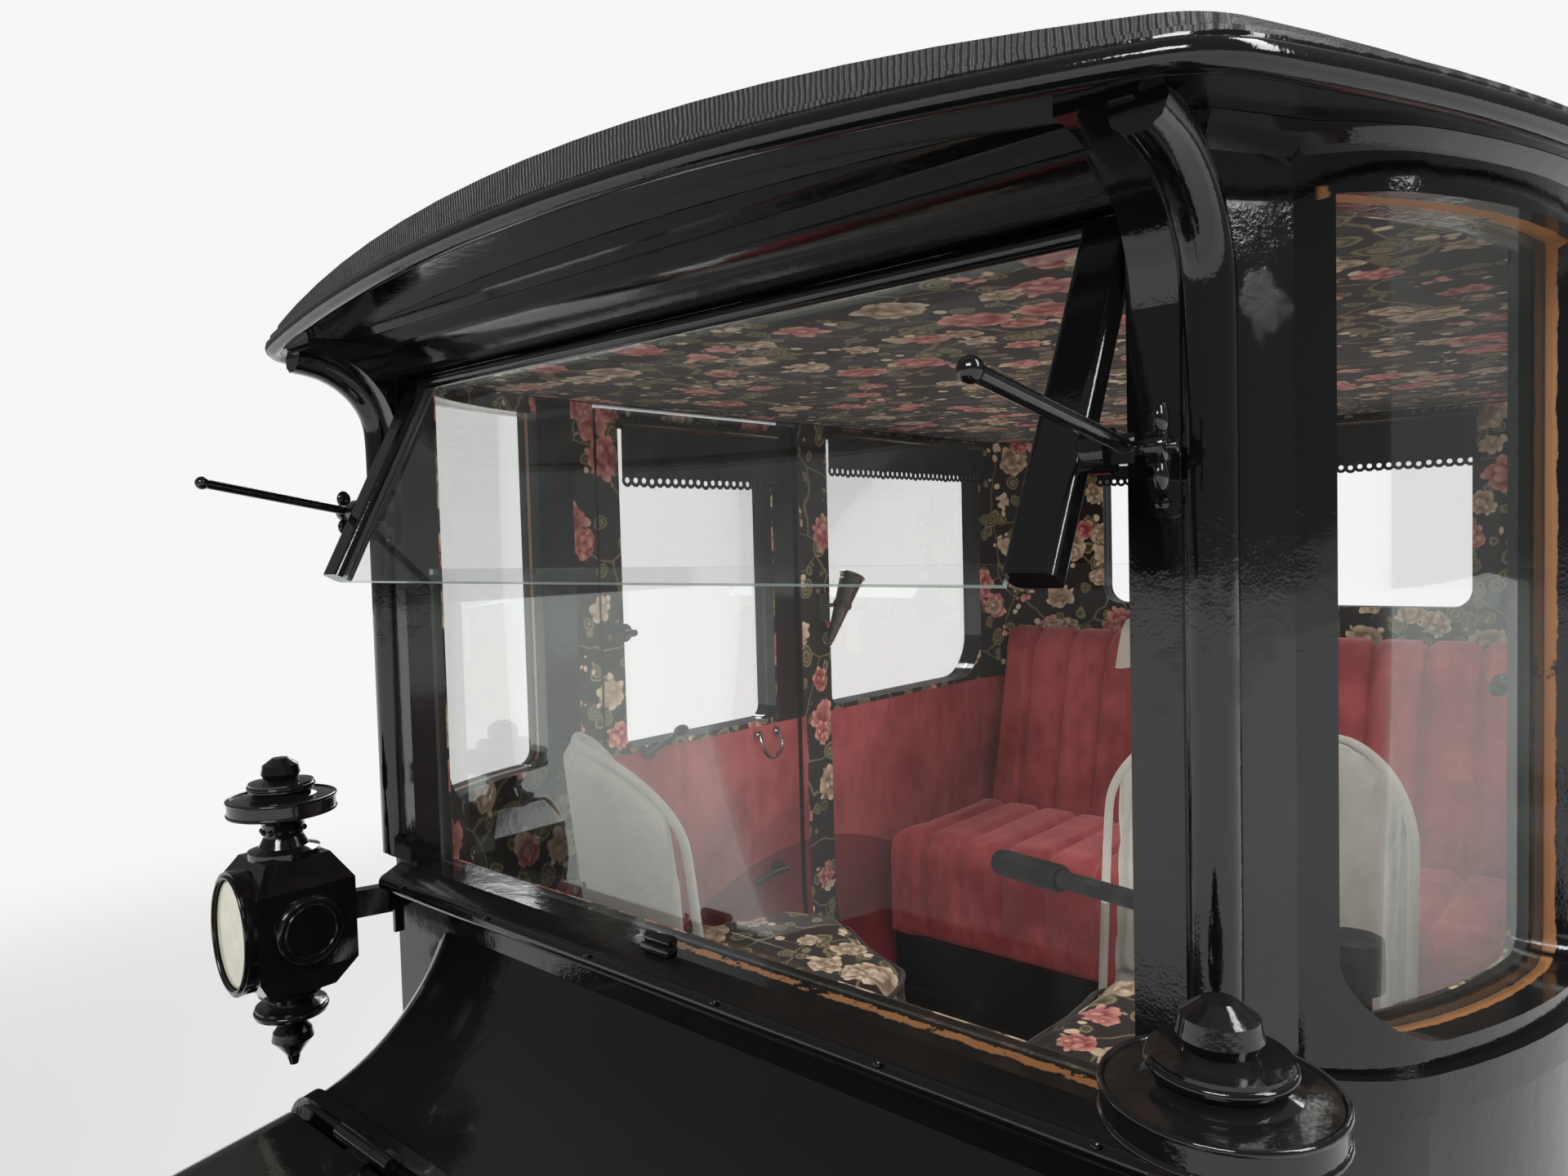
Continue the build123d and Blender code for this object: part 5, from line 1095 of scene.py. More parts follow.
    @staticmethod
    def copies(name: str, model: bpy.types.Object, places: Iterable[Matrix]) -> bpy.types.Object:
        """Copies of one model, joined into one piece. The model goes away.

        Args:
            name: The piece's name.
            model: The piece that is repeated, modelled round the origin.
            places: Where each copy goes.

        Returns:
            The joined piece.
        """
        made = []
        for place in places:
            twin = bpy.data.objects.new(name, model.data.copy())
            twin.data.transform(place)
            bpy.context.scene.collection.objects.link(twin)
            made.append(twin)
        Bench.clear()
        for twin in made:
            twin.select_set(True)
        bpy.context.view_layer.objects.active = made[0]
        bpy.ops.object.join()
        bpy.data.objects.remove(model)
        joined = bpy.context.object
        joined.name = name
        return joined

    @staticmethod
    def joined(name: str, pieces: Sequence[bpy.types.Object]) -> bpy.types.Object:
        """Several pieces made one."""
        Bench.clear()
        for piece in pieces:
            piece.select_set(True)
        bpy.context.view_layer.objects.active = pieces[0]
        bpy.ops.object.join()
        pieces[0].name = name
        return pieces[0]

    @staticmethod
    def coordinates(obj: bpy.types.Object) -> np.ndarray:
        """A mesh's points as an array."""
        found = np.zeros(len(obj.data.vertices) * 3, np.float32)
        obj.data.vertices.foreach_get("co", found)
        return found.reshape(-1, 3)

    @staticmethod
    def move_points(obj: bpy.types.Object, points: np.ndarray) -> None:
        """Write a mesh's points back."""
        obj.data.vertices.foreach_set("co", points.astype(np.float32).ravel())
        obj.data.update()


def finish_piece(
    obj: bpy.types.Object, body: str, material: bpy.types.Material
) -> bpy.types.Object:
    """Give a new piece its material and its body.

    Args:
        obj: The piece.
        body: The body it rides on.
        material: Its material.

    Returns:
        The piece.
    """
    obj.data.materials.clear()
    obj.data.materials.append(material)
    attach(obj, body)
    LOG.info("piece %s on %s", obj.name, body)
    return obj


# Soft goods


@dataclass(frozen=True)
class Padding:
    """How a cushion is stuffed: the mesh step, the pressure and how far it may swell."""

    voxel: float = 0.008
    pressure: float = 4.0
    shrink: float = 0.004
    cap: float = 0.012
    frames: int = 20


@dataclass(frozen=True)
class FrontSeat:
    """Where one front seat stands, and its turn from facing the front in degrees."""

    side: str
    x: float
    y: float
    heading: float


@dataclass
class Upholstery:
    """The bench, the two front seats and their welts."""

    finishes: "Finishes"
    seam_start: float = -0.592
    seam_pitch: float = 0.0911
    seam_count: int = 12
    seam_width: float = 0.009
    strap_size: tuple[float, float] = (0.042, 0.300)
    strap_x: float = -0.252
    welt_radius: float = 0.0036
    back_welt_radius: float = 0.0065
    welt_heights: tuple[float, float] = (0.984, 0.893)
    bench_padding: Padding = Padding(voxel=0.012, shrink=0.005, cap=0.014)
    cushion_padding: Padding = Padding(voxel=0.008, shrink=0.003, cap=0.014)
    back_padding: Padding = Padding(voxel=0.007, shrink=0.002, cap=0.006, pressure=3.0)
    right_seat: FrontSeat = FrontSeat("right", -0.354, -0.185, 152.0)
    left_seat: FrontSeat = FrontSeat("left", 0.270, -0.055, 0.0)

    def solids(self, node: str, name: str) -> list[bpy.types.Object]:
        """Copies of a node's solids, merged and apart, in order of their place along X.

        Args:
            node: The CAD node.
            name: The stem of the copies' names.

        Returns:
            The copies.
        """
        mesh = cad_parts[node].data.copy()
        obj = bpy.data.objects.new(name, mesh)
        bpy.context.scene.collection.objects.link(obj)
        Bench.pick(obj)
        bpy.ops.object.mode_set(mode="EDIT")
        bpy.ops.mesh.select_all(action="SELECT")
        bpy.ops.mesh.remove_doubles(threshold=0.00005)
        bpy.ops.mesh.separate(type="LOOSE")
        bpy.ops.object.mode_set(mode="OBJECT")
        found = list(bpy.context.selected_objects)
        found.sort(key=lambda piece: float(Bench.coordinates(piece)[:, 0].mean()))
        return found

    def stuff(self, obj: bpy.types.Object, padding: Padding) -> None:
        """Swell a solid into a stuffed pad with cloth, then smooth it.

        Args:
            obj: The solid's copy.
            padding: How it is stuffed.
        """
        Bench.pick(obj)
        remesh = obj.modifiers.new("Remesh", "REMESH")
        remesh.mode = "VOXEL"
        remesh.voxel_size = padding.voxel
        bpy.ops.object.modifier_apply(modifier=remesh.name)
        bpy.ops.object.mode_set(mode="EDIT")
        bpy.ops.mesh.select_all(action="SELECT")
        bpy.ops.transform.shrink_fatten(value=-padding.shrink)
        bpy.ops.object.mode_set(mode="OBJECT")
        self._swell(obj, padding)
        subdivide = obj.modifiers.new("Subdivision", "SUBSURF")
        subdivide.levels = subdivide.render_levels = 1
        Bench.pick(obj)
        bpy.ops.object.modifier_apply(modifier=subdivide.name)
        bpy.ops.object.shade_smooth()

    def _swell(self, obj: bpy.types.Object, padding: Padding) -> None:
        """Run the cloth for a few frames and keep its result, each point's way capped.

        Args:
            obj: The pad.
            padding: How it is stuffed.
        """
        before = Bench.coordinates(obj)
        cloth = obj.modifiers.new("Cloth", "CLOTH")
        cloth.settings.use_pressure = True
        cloth.settings.uniform_pressure_force = padding.pressure
        cloth.settings.effector_weights.gravity = 0.0
        cloth.settings.quality = 4
        cloth.point_cache.frame_end = padding.frames
        for number in range(1, padding.frames + 1):
            bpy.context.scene.frame_set(number)
        graph = bpy.context.evaluated_depsgraph_get()
        shaped = obj.evaluated_get(graph).data
        after = np.zeros(len(shaped.vertices) * 3, np.float32)
        shaped.vertices.foreach_get("co", after)
        moved = after.reshape(-1, 3) - before
        length = np.maximum(np.linalg.norm(moved, axis=1, keepdims=True), 1e-9)
        moved *= np.minimum(length, padding.cap) / length
        obj.modifiers.remove(cloth)
        bpy.context.scene.frame_set(1)
        Bench.move_points(obj, before + moved)

    def sew(self, obj: bpy.types.Object, depth: float, low: float, rise: float) -> None:
        """Press sewn fore-and-aft channels into a pad.

        Args:
            obj: The pad.
            depth: Depth of each groove.
            low: The height where the grooves start.
            rise: How much higher they reach their full depth.
        """
        points = Bench.coordinates(obj)
        normals = np.zeros(len(obj.data.vertices) * 3, np.float32)
        obj.data.vertices.foreach_get("normal", normals)
        normals = normals.reshape(-1, 3)
        press = np.zeros(len(points))
        for number in range(1, self.seam_count + 1):
            seam_x = self.seam_start + self.seam_pitch * number
            press += np.exp(-((points[:, 0] - seam_x) / self.seam_width) ** 2)
        weight = np.clip((points[:, 2] - low) / rise, 0, 1)
        Bench.move_points(obj, points - normals * (press * depth * weight)[:, None])

    def welt(self, obj: bpy.types.Object, height: float, name: str, seat: FrontSeat) -> bpy.types.Object:
        """A piped welt round a cushion at one height.

        Args:
            obj: The cushion.
            height: The welt's height.
            name: The welt's name.
            seat: The cushion's seat.

        Returns:
            The welt.
        """
        steps, band, view = 72, 0.007, 0.07
        points = Bench.coordinates(obj)
        points = points[np.abs(points[:, 2] - height) < band]
        dx, dy = points[:, 0] - seat.x, points[:, 1] - seat.y
        angles = np.arctan2(dy, dx)
        reach = np.hypot(dx, dy)
        loop = []
        for step in range(steps):
            angle = -math.pi + step * 2 * math.pi / steps
            near = np.abs(np.angle(np.exp(1j * (angles - angle)))) < view
            radius = float(reach[near].max()) if near.any() else float(reach.max())
            loop.append((seat.x + radius * math.cos(angle), seat.y + radius * math.sin(angle), height))
        return Bench.tube(name, loop, self.welt_radius, closed=True)

    def make_bench(self) -> None:
        """The rear bench: its channelled cushion and its rolled back."""
        grooves = (("bench_cushion", 0.014, 0.84, 0.05), ("bench_back", 0.016, 0.98, 0.04))
        for node, depth, low, rise in grooves:
            cover = self.solids(node, f"{node}_cover")[0]
            self.stuff(cover, self.bench_padding)
            self.sew(cover, depth, low, rise)
            finish_piece(cover, "root", self.finishes.velour)
            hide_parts(node)
        strap = self._strap()
        finish_piece(strap, "root", self.finishes.strap)

    def _strap(self) -> bpy.types.Object:
        """The loose off-white strap that hangs over the bench back.

        Returns:
            The strap.
        """
        profile = [
            (1.034, 1.330), (1.030, 1.380), (1.022, 1.425), (1.000, 1.441), (0.975, 1.436),
            (0.958, 1.415), (0.949, 1.370), (0.944, 1.320),
        ]
        width, length = self.strap_size
        fine = self._even(profile, length, 40)
        Bench.clear()
        bpy.ops.mesh.primitive_grid_add(x_subdivisions=6, y_subdivisions=len(fine) - 1, size=1.0)
        obj = Bench.settle(bpy.context.object, "bench_strap")
        points = Bench.coordinates(obj)
        rows = np.rint((points[:, 1] + 0.5) * (len(fine) - 1)).astype(int)
        table = np.array(fine)
        lean = (table[rows, 1] - 1.44) * 0.12
        across = self.strap_x + points[:, 0] * width + lean
        placed = np.stack([across, table[rows, 0], table[rows, 1]], axis=1)
        Bench.move_points(obj, placed)
        Bench.thicken(obj, 0.0025)
        return obj

    def _even(
        self, corners: Sequence[tuple[float, float]], length: float, count: int
    ) -> list[tuple[float, float]]:
        """Points at even steps along a row of corners, cut to a length.

        Args:
            corners: The row of corners.
            length: The length that is kept.
            count: How many points.

        Returns:
            The points.
        """
        path = np.array(corners)
        steps = np.hypot(*np.diff(path, axis=0).T)
        along = np.concatenate([[0.0], np.cumsum(steps)])
        wanted = np.linspace(0.0, min(length, along[-1]), count)
        columns = [np.interp(wanted, along, path[:, axis]) for axis in (0, 1)]
        return [(float(first), float(second)) for first, second in zip(*columns)]

    def make_front_seats(self) -> None:
        """The two front seats: boxed floral cushions and grey curved backs, all welted."""
        seats = (self.right_seat, self.left_seat)
        for obj, seat in zip(self.solids("seat_cushions", "seat_cushion_cover"), seats):
            obj.name = f"seat_cushion_cover_{seat.side}"
            self.stuff(obj, self.cushion_padding)
            welts = [
                self.welt(obj, height, f"cushion_welt_{level}_{seat.side}", seat)
                for level, height in zip(("top", "low"), self.welt_heights)
            ]
            finish_piece(obj, "root", self.finishes.floral)
            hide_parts("seat_cushions")
            for piece in welts:
                finish_piece(piece, "root", self.finishes.welt)
        for obj, seat in zip(self.solids("seat_backs", "seat_back_cover"), seats):
            obj.name = f"seat_back_cover_{seat.side}"
            self.stuff(obj, self.back_padding)
            finish_piece(obj, "root", self.finishes.grey)
            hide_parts("seat_backs")
            finish_piece(self._back_welt(seat), "root", self.finishes.grey)

    def _back_welt(self, seat: FrontSeat) -> bpy.types.Object:
        """The welt that follows a seat back's open edge.

        Args:
            seat: The back's seat.

        Returns:
            The welt.
        """
        half, top, corner = 0.196, 1.3585, 0.130
        bow_radius, bow_shift = 0.248, 0.025
        pivot_y, pivot_z, lean = 0.211, 0.880, math.radians(6.0)
        flat = [(-half, 0.900), (-half, 1.05), (-half, top - corner)]
        for step in range(1, 7):
            angle = math.pi - step * math.pi / 14
            flat.append((-half + corner + corner * math.cos(angle), top - corner + corner * math.sin(angle)))
        flat.append((0.0, top))
        flat += [(-px, pz) for px, pz in reversed(flat[:-1])]
        turn = Matrix.Rotation(math.radians(seat.heading), 4, "Z")
        place = Matrix.Translation((seat.x, seat.y, 0.0)) @ turn
        points = []
        for px, pz in flat:
            py = math.sqrt(bow_radius ** 2 - px ** 2) - bow_shift
            dy, dz = py - pivot_y, pz - pivot_z
            ly = pivot_y + dy * math.cos(lean) + dz * math.sin(lean)
            lz = pivot_z - dy * math.sin(lean) + dz * math.cos(lean)
            points.append(tuple(place @ Vector((px, ly, lz))))
        return Bench.tube(f"seat_back_welt_{seat.side}", points, self.back_welt_radius)


@dataclass(frozen=True)
class BlindPlace:
    """Where one blind hangs: its top corners, its fringe's lowest height and its outward direction."""

    name: str
    start: Vec
    end: Vec
    low: float
    out: Vec
    body: str = "root"
    node: str = "window_blinds"

    @property
    def width(self) -> float:
        """The blind's width."""
        return (Vector(self.end) - Vector(self.start)).length


@dataclass
class Blinds:
    """Black blinds with a fringe of small open loops."""

    finishes: "Finishes"
    loop: float = 0.0082
    wire: float = 0.0034
    side_x: float = 0.609
    quarter_z: float = 1.852
    door_z: float = 1.838
    roller_radius: float = 0.0098
    bracket_reach: float = 0.0125
    bracket_half: Vec = (0.003, 0.003, 0.008)

    def sheet(self, place: BlindPlace) -> tuple[bpy.types.Object, bpy.types.Object]:
        """One blind's cloth and its fringe.

        Args:
            place: Where it hangs.

        Returns:
            The cloth and the fringe.
        """
        a, b, normal = Vector(place.start), Vector(place.end), Vector(place.out)
        name, width = place.name, place.width
        hem = place.low + 2 * self.loop
        height = place.start[2] - hem
        Bench.clear()
        bpy.ops.mesh.primitive_grid_add(x_subdivisions=60, y_subdivisions=10, size=1.0)
        cloth = Bench.settle(bpy.context.object, name)
        points = Bench.coordinates(cloth)
        along = points[:, 0] + 0.5
        down = 0.5 - points[:, 1]
        across = along * width
        wave = 0.0016 * np.sin(across * 38.0) * down + 0.0012 * np.sin(across * 91.0 + 1.0) * down
        line = np.array(a)[None, :] + along[:, None] * np.array(b - a)[None, :]
        line[:, 2] -= down * height
        Bench.move_points(cloth, line + wave[:, None] * np.array(normal)[None, :])
        Bench.thicken(cloth, 0.0016)
        loop = Bench.ring(f"{name}_loop", (0, 0, 0), tuple(normal), self.loop, self.wire, (10, 4))
        count = int(width / (2 * self.loop + 0.001))
        places = []
        for number in range(count):
            at = a.lerp(b, (number + 0.5) / count)
            drop = 0.0015 if number % 7 == 3 else 0.0
            places.append(Matrix.Translation((at.x, at.y, hem - self.loop * 0.7 - drop)))
        fringe = Bench.copies(f"{name}_fringe", loop, places)
        return cloth, fringe

    def make(self) -> None:
        """All five blinds with their rollers and brackets."""
        sides = ((1, "left"), (-1, "right"))
        places = []
        for hand, side in sides:
            ends = [(self.side_x * hand, y, self.quarter_z) for y in (0.328, 0.925)]
            places.append(BlindPlace(f"blind_{side}", *ends, 1.768, (hand, 0, 0)))
        ends = [(x, 1.082, self.quarter_z) for x in (-0.388, 0.388)]
        places.append(BlindPlace("blind_back", *ends, 1.750, (0, 1, 0)))
        for hand, side in sides:
            ends = [(self.side_x * hand, y, self.door_z) for y in (-0.212, 0.167)]
            door, node = f"door_{side}", f"door_blind_{side}"
            places.append(BlindPlace(f"blind_{door}", *ends, 1.735, (hand, 0, 0), door, node))
        for place in places:
            cloth, fringe = self.sheet(place)
            finish_piece(cloth, place.body, self.finishes.blind)
            finish_piece(fringe, place.body, self.finishes.blind)
            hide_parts(place.node)
            roller = self._roller(place)
            finish_piece(roller, place.body, self.finishes.dark_wood)
            flat = (place.width, place.start[2] - place.low - 2 * self.loop)

    def _roller(self, place: BlindPlace) -> bpy.types.Object:
        """A blind's roller with its two end brackets on the wall.

        Args:
            place: Where the blind hangs.

        Returns:
            The roller.
        """
        name = place.name
        parts = [Bench.bar(f"{name}_roller", place.start, place.end, self.roller_radius, 20, 0.002)]
        half = Vector(self.bracket_half)
        lift = Vector((0.0, 0.0, half.z))
        for corner in (place.start, place.end):
            end = Vector(corner)
            reach = end + Vector(place.out) * self.bracket_reach
            low = tuple(map(min, end - half, reach - lift))
            high = tuple(map(max, end + half, reach + lift))
            parts.append(Bench.block(f"{name}_bracket", low, high, 0.001, 1))
        return Bench.joined(f"{name}_roller", parts)


# Running gear, trim and hardware


@dataclass
class TyreDress:
    """Tread blocks, side ribs and the valve of one tyre."""

    finishes: "Finishes"
    blocks: int = 54
    radius: float = 0.406
    row_pitch: float = 0.0185
    row_drop: float = 0.0012
    bolt_circle: float = 0.077
    bolts: int = 12
    clips: int = 6
    clip_turn: float = 0.26
    clip_place: tuple[float, float] = (0.0335, 0.279)
    rib_rows: tuple[tuple[float, float], ...] = ((0.030, 0.0455), (0.058, 0.0505))
    valve: tuple[float, float, float] = (0.012, 0.253, 0.225)

    def make(self, name: str, body: str, centre: Vec, hand: float) -> None:
        """Dress one tyre.

        Args:
            name: Which wheel, such as front_left.
            body: The wheel's body.
            centre: The wheel's middle.
            hand: 1 on the left, -1 on the right.
        """
        block = Bench.block("tread_block", (-0.0095, -0.0165, -0.0055), (0.0095, 0.0165, 0.0), 0.0018, 1)
        places = []
        for number in range(self.blocks):
            angle = number * 2 * math.pi / self.blocks
            for row, shift in ((-self.row_pitch, 0.0), (0.0, 0.5), (self.row_pitch, 0.0)):
                lift = self.radius - (0.0 if row == 0.0 else self.row_drop)
                turn = Matrix.Rotation(angle + shift * 2 * math.pi / self.blocks, 4, "X")
                places.append(Matrix.Translation(centre) @ turn @ Matrix.Translation((row, 0.0, lift)))
        tread = Bench.copies(f"tread_{name}", block, places)
        finish_piece(tread, body, self.finishes.rubber)
        ribs = []
        for side in (-1, 1):
            for drop, out in self.rib_rows:
                at = (centre[0] + side * out, centre[1], centre[2])
                reach = self.radius - drop
                ribs.append(Bench.ring(f"side_rib_{name}", at, (1, 0, 0), reach, 0.0016, (72, 6)))
        finish_piece(Bench.joined(f"side_ribs_{name}", ribs), body, self.finishes.rubber)
        out, low, high = self.valve
        ends = [(centre[0] + hand * out, centre[1], centre[2] - drop) for drop in (low, high)]
        stem = Bench.bar(f"valve_{name}", *ends, 0.0042, 12, 0.001)
        finish_piece(stem, body, self.finishes.nickel)
        self._bolts(name, body, centre)

    def _bolts(self, name: str, body: str, centre: Vec) -> None:
        """Flange bolts and rim clips of one wheel.

        Args:
            name: Which wheel.
            body: The wheel's body.
            centre: The wheel's middle.
        """
        nut = Bench.bar("hub_bolt", (0, 0, -0.003), (0, 0, 0.006), 0.0075, 6, 0.001)
        face = Matrix.Rotation(math.pi / 2, 4, "Y")
        places = []
        for number in range(self.bolts):
            angle = (number + 0.5) * 2 * math.pi / self.bolts
            y, z = self.bolt_circle * math.cos(angle), self.bolt_circle * math.sin(angle)
            for side in (-1, 1):
                at = Matrix.Translation((centre[0] + side * 0.0165, centre[1] + y, centre[2] + z))
                places.append(at @ face @ Matrix.Scale(side, 4, (0, 0, 1)))
        bolts = Bench.copies(f"hub_bolts_{name}", nut, places)
        finish_piece(bolts, body, self.finishes.dull_metal)
        clip = Bench.block("rim_clip", (-0.004, -0.016, -0.015), (0.004, 0.016, 0.015), 0.002, 1)
        places = []
        out, reach = self.clip_place
        for number in range(self.clips):
            turn = Matrix.Rotation(number * 2 * math.pi / self.clips + self.clip_turn, 4, "X")
            for side in (-1, 1):
                places.append(
                    Matrix.Translation(centre) @ turn @ Matrix.Translation((side * out, 0.0, reach))
                    @ Matrix.Rotation(side * -0.24, 4, "Y")
                )
        clips = Bench.copies(f"rim_clips_{name}", clip, places)
        finish_piece(clips, body, self.finishes.paint)


@dataclass
class RoofBead:
    """The half-round painted moulding that runs round the roof's rim under the hide."""

    finishes: "Finishes"
    radius: float = 0.0095
    stand_out: float = 0.0052
    lift: float = 0.0050
    front_y: float = -0.840
    front_bow: float = 0.045
    front_half: float = 0.545
    corner_leg: float = 0.028
    bend: float = 0.022
    bend_start: float = 0.06
    side_half: float = 0.705
    shoulder_y: float = -0.355
    rear_y: float = 1.185
    rear_turn: float = 0.250
    rear_bow: float = 0.020

    def _front(self) -> list[tuple[float, float]]:
        """The rim from the middle of the front round the corner to the side."""
        arc_radius = (self.front_half ** 2 + self.front_bow ** 2) / (2 * self.front_bow)
        reach = math.asin((self.front_half - self.corner_leg) / arc_radius)
        rows = []
        for step in range(15):
            angle = reach * step / 14
            rows.append((arc_radius * math.sin(angle), self.front_y + arc_radius * (1 - math.cos(angle))))
        tip = Vector((self.front_half, self.front_y + self.front_bow))
        shoulder = Vector((self.side_half, self.shoulder_y))
        middle = (tip + shoulder) / 2 + Vector((self.bend, 0.0))
        control = middle * 2 - (tip + shoulder) / 2
        entry = Vector(rows[-1])
        leave = self._between(tip, control, shoulder, self.bend_start)
        rows += [tuple(self._between(entry, tip, leave, step / 8)) for step in range(1, 8)]
        for step in range(17):
            share = self.bend_start + (1 - self.bend_start) * step / 16
            rows.append(tuple(self._between(tip, control, shoulder, share)))
        return rows

    def _rear(self) -> list[tuple[float, float]]:
        """The rim from the side round the rear corner to the middle of the back."""
        start = self.rear_y - self.rear_turn - self.rear_bow
        way = start - self.shoulder_y
        rows = [(self.side_half, self.shoulder_y + way * step / 8) for step in range(1, 9)]
        centre_x = self.side_half - self.rear_turn
        for step in range(1, 13):
            angle = step * math.pi / 24
            side, back = self.rear_turn * math.cos(angle), self.rear_turn * math.sin(angle)
            rows.append((centre_x + side, start + back))
        for step in range(1, 5):
            left = 1 - step / 4
            rows.append((centre_x * left, self.rear_y - self.rear_bow * left ** 2))
        return rows

    def _between(self, start: Vector, control: Vector, end: Vector, share: float) -> Vector:
        """A point on the curve from start to end that a control point pulls."""
        return start * (1 - share) ** 2 + control * 2 * share * (1 - share) + end * share ** 2

    def make(self) -> None:
        """Lay the bead round the whole rim."""
        rows = self._front() + self._rear()
        crown = RoofUnderside()
        path = []
        for number, (x, y) in enumerate(rows):
            before, after = rows[max(number - 1, 0)], rows[min(number + 1, len(rows) - 1)]
            along = Vector((after[0] - before[0], after[1] - before[1])).normalized()
            px, py = x + along.y * self.stand_out, y - along.x * self.stand_out
            path.append((px, py, crown.height + self.lift - crown.drop(px, py)))
        path += [(-px, py, pz) for px, py, pz in reversed(path[1:-1])]
        bead = Bench.tube("roof_bead", path, self.radius, closed=True, sides=12)
        finish_piece(bead, "root", self.finishes.worn_paint)


@dataclass(frozen=True)
class DoorFace:
    """The inner face of one door."""

    hand: float
    wall: float = 0.6215

    def inside(self, depth: float, y: float, z: float) -> Vec:
        """A point that stands off the face, towards the cabin."""
        return (self.wall * self.hand - depth * self.hand, y, z)


@dataclass
class Hardware:
    """Pillar beads, screws, thumb nuts, pulls, handles and the running boards' mats."""

    finishes: "Finishes"
    mat_ribs: int = 17
    pillar_x: float = 0.5065
    pillar_y: float = -0.687
    neck_z: float = 1.778
    flare: tuple[float, float] = (0.104, 0.088)

    def screw_set(self, name: str, spots: Sequence[tuple[Vec, Vec, float]]) -> None:
        """Round-headed slotted screws, painted over.

        Args:
            name: The set's name.
            spots: Place, outward direction and head radius of each.
        """
        made = []
        for place, axis, radius in spots:
            turn = Vector(axis).to_track_quat("Z", "Y").to_matrix().to_4x4()
            head = Bench.ball("screw_head", (0, 0, 0), radius, (1.0, 1.0, 0.45))
            half, thin, low, high = (radius * share for share in (0.8, 0.11, 0.36, 0.47))
            slot_bar = Bench.block("screw_slot", (-half, -thin, low), (half, thin, high))
            whole = Bench.joined("screw", [head, slot_bar])
            whole.data.transform(Matrix.Translation(place) @ turn)
            made.append(whole)
        finish_piece(Bench.joined(name, made), "root", self.finishes.paint)

    def stays(self) -> None:
        """Wing nuts, bosses and screws on the upper sash's stays."""
        for hand, side in ((1, "left"), (-1, "right")):
            y, z = -0.7412, 1.6856
            reach = [(0.474 + out) * hand for out in (0.004, 0.034, 0.016, 0.028, 0.024)]
            parts = [
                Bench.bar("stay_screw", (reach[0], y, z), (reach[1], y, z), 0.0042, 12, 0.001),
                Bench.bar("stay_nut", (reach[2], y, z), (reach[3], y, z), 0.0095, 16, 0.002),
            ]
            for lift in (-0.0165, 0.0165):
                parts.append(Bench.ball("stay_wing", (reach[4], y, z + lift), 0.0098, (0.42, 0.85, 1.0)))
            nut = Bench.joined(f"stay_wing_nut_{side}", parts)
            finish_piece(nut, "root", self.finishes.paint)
            spots = [((0.480 * hand, -0.6955, 1.678 + lift), (0, -1, 0), 0.0052) for lift in (-0.024, 0.024)]
            self.screw_set(f"stay_foot_screws_{side}", spots)

    def doors(self) -> None:
        """Inner pulls, levers, window catches and winders of both doors."""
        dark = self.finishes.dark_metal
        for hand, side in ((1, "left"), (-1, "right")):
            face = DoorFace(hand)
            pieces = (
                (self._d_ring(face, f"door_pull_{side}"), self.finishes.nickel),
                (self._lever(face, f"door_lever_{side}", 0.150, 1.012, 0.075), dark),
                (self._lever(face, f"window_catch_{side}", -0.212, 1.494, 0.026), dark),
                (self._winder(face, f"window_handle_{side}"), dark),
            )
            for piece, finish in pieces:
                finish_piece(piece, f"door_{side}", finish)

    def _d_ring(self, face: DoorFace, name: str) -> bpy.types.Object:
        """The D-shaped door pull just under the window."""
        y, z = 0.130, 1.262
        half = [(0.010, 0.026, 0.012), (0.018, 0.030, -0.004), (0.020, 0.022, -0.024)]
        points = [face.inside(depth, y - reach, z + lift) for depth, reach, lift in half]
        points.append(face.inside(0.020, y, z - 0.034))
        points += [face.inside(depth, y + reach, z + lift) for depth, reach, lift in reversed(half)]
        ring = Bench.tube("pull_ring", points, 0.0038)
        eyes = [Bench.ball("pull_eye", face.inside(0.005, y + s * 0.026, z + 0.013), 0.0085) for s in (-1, 1)]
        return Bench.joined(name, [ring, *eyes])

    def _lever(self, face: DoorFace, name: str, y: float, z: float, length: float) -> bpy.types.Object:
        """A small lever handle on a round rose.

        Args:
            face: The door's inner face.
            name: The lever's name.
            y: The rose's place along the car.
            z: Its height.
            length: How far the arm reaches forward.

        Returns:
            The lever.
        """
        root, tip = face.inside(0.0, y, z), face.inside(0.025, y - length, z - 0.004)
        rose = Bench.bar("rose", root, face.inside(0.006, y, z), 0.0155, 20, 0.002)
        neck = Bench.bar("neck", root, face.inside(0.026, y, z), 0.0058, 12)
        arm = Bench.tube("arm", [
            face.inside(0.024, y + 0.006, z), face.inside(0.027, y - length * 0.4, z + 0.003),
            face.inside(0.026, y - length * 0.8, z - 0.001), tip,
        ], 0.0052)
        knob = Bench.ball("knob", tip, 0.0078, (1.0, 1.5, 1.0))
        return Bench.joined(name, [rose, neck, arm, knob])

    def _winder(self, face: DoorFace, name: str) -> bpy.types.Object:
        """The bent handle at the front end of the door's window sill."""
        y, z = -0.170, 1.288
        base = Bench.bar("winder_base", face.inside(0.0, y, z), face.inside(0.010, y, z), 0.012, 18, 0.002)
        arm = Bench.tube("winder_arm", [
            face.inside(0.008, y, z), face.inside(0.018, -0.160, 1.296),
            face.inside(0.024, -0.140, 1.306), face.inside(0.026, -0.118, 1.316),
        ], 0.0045)
        grip = Bench.ball("winder_grip", face.inside(0.026, -0.112, 1.319), 0.0085, (0.9, 1.9, 1.1))
        return Bench.joined(name, [base, arm, grip])

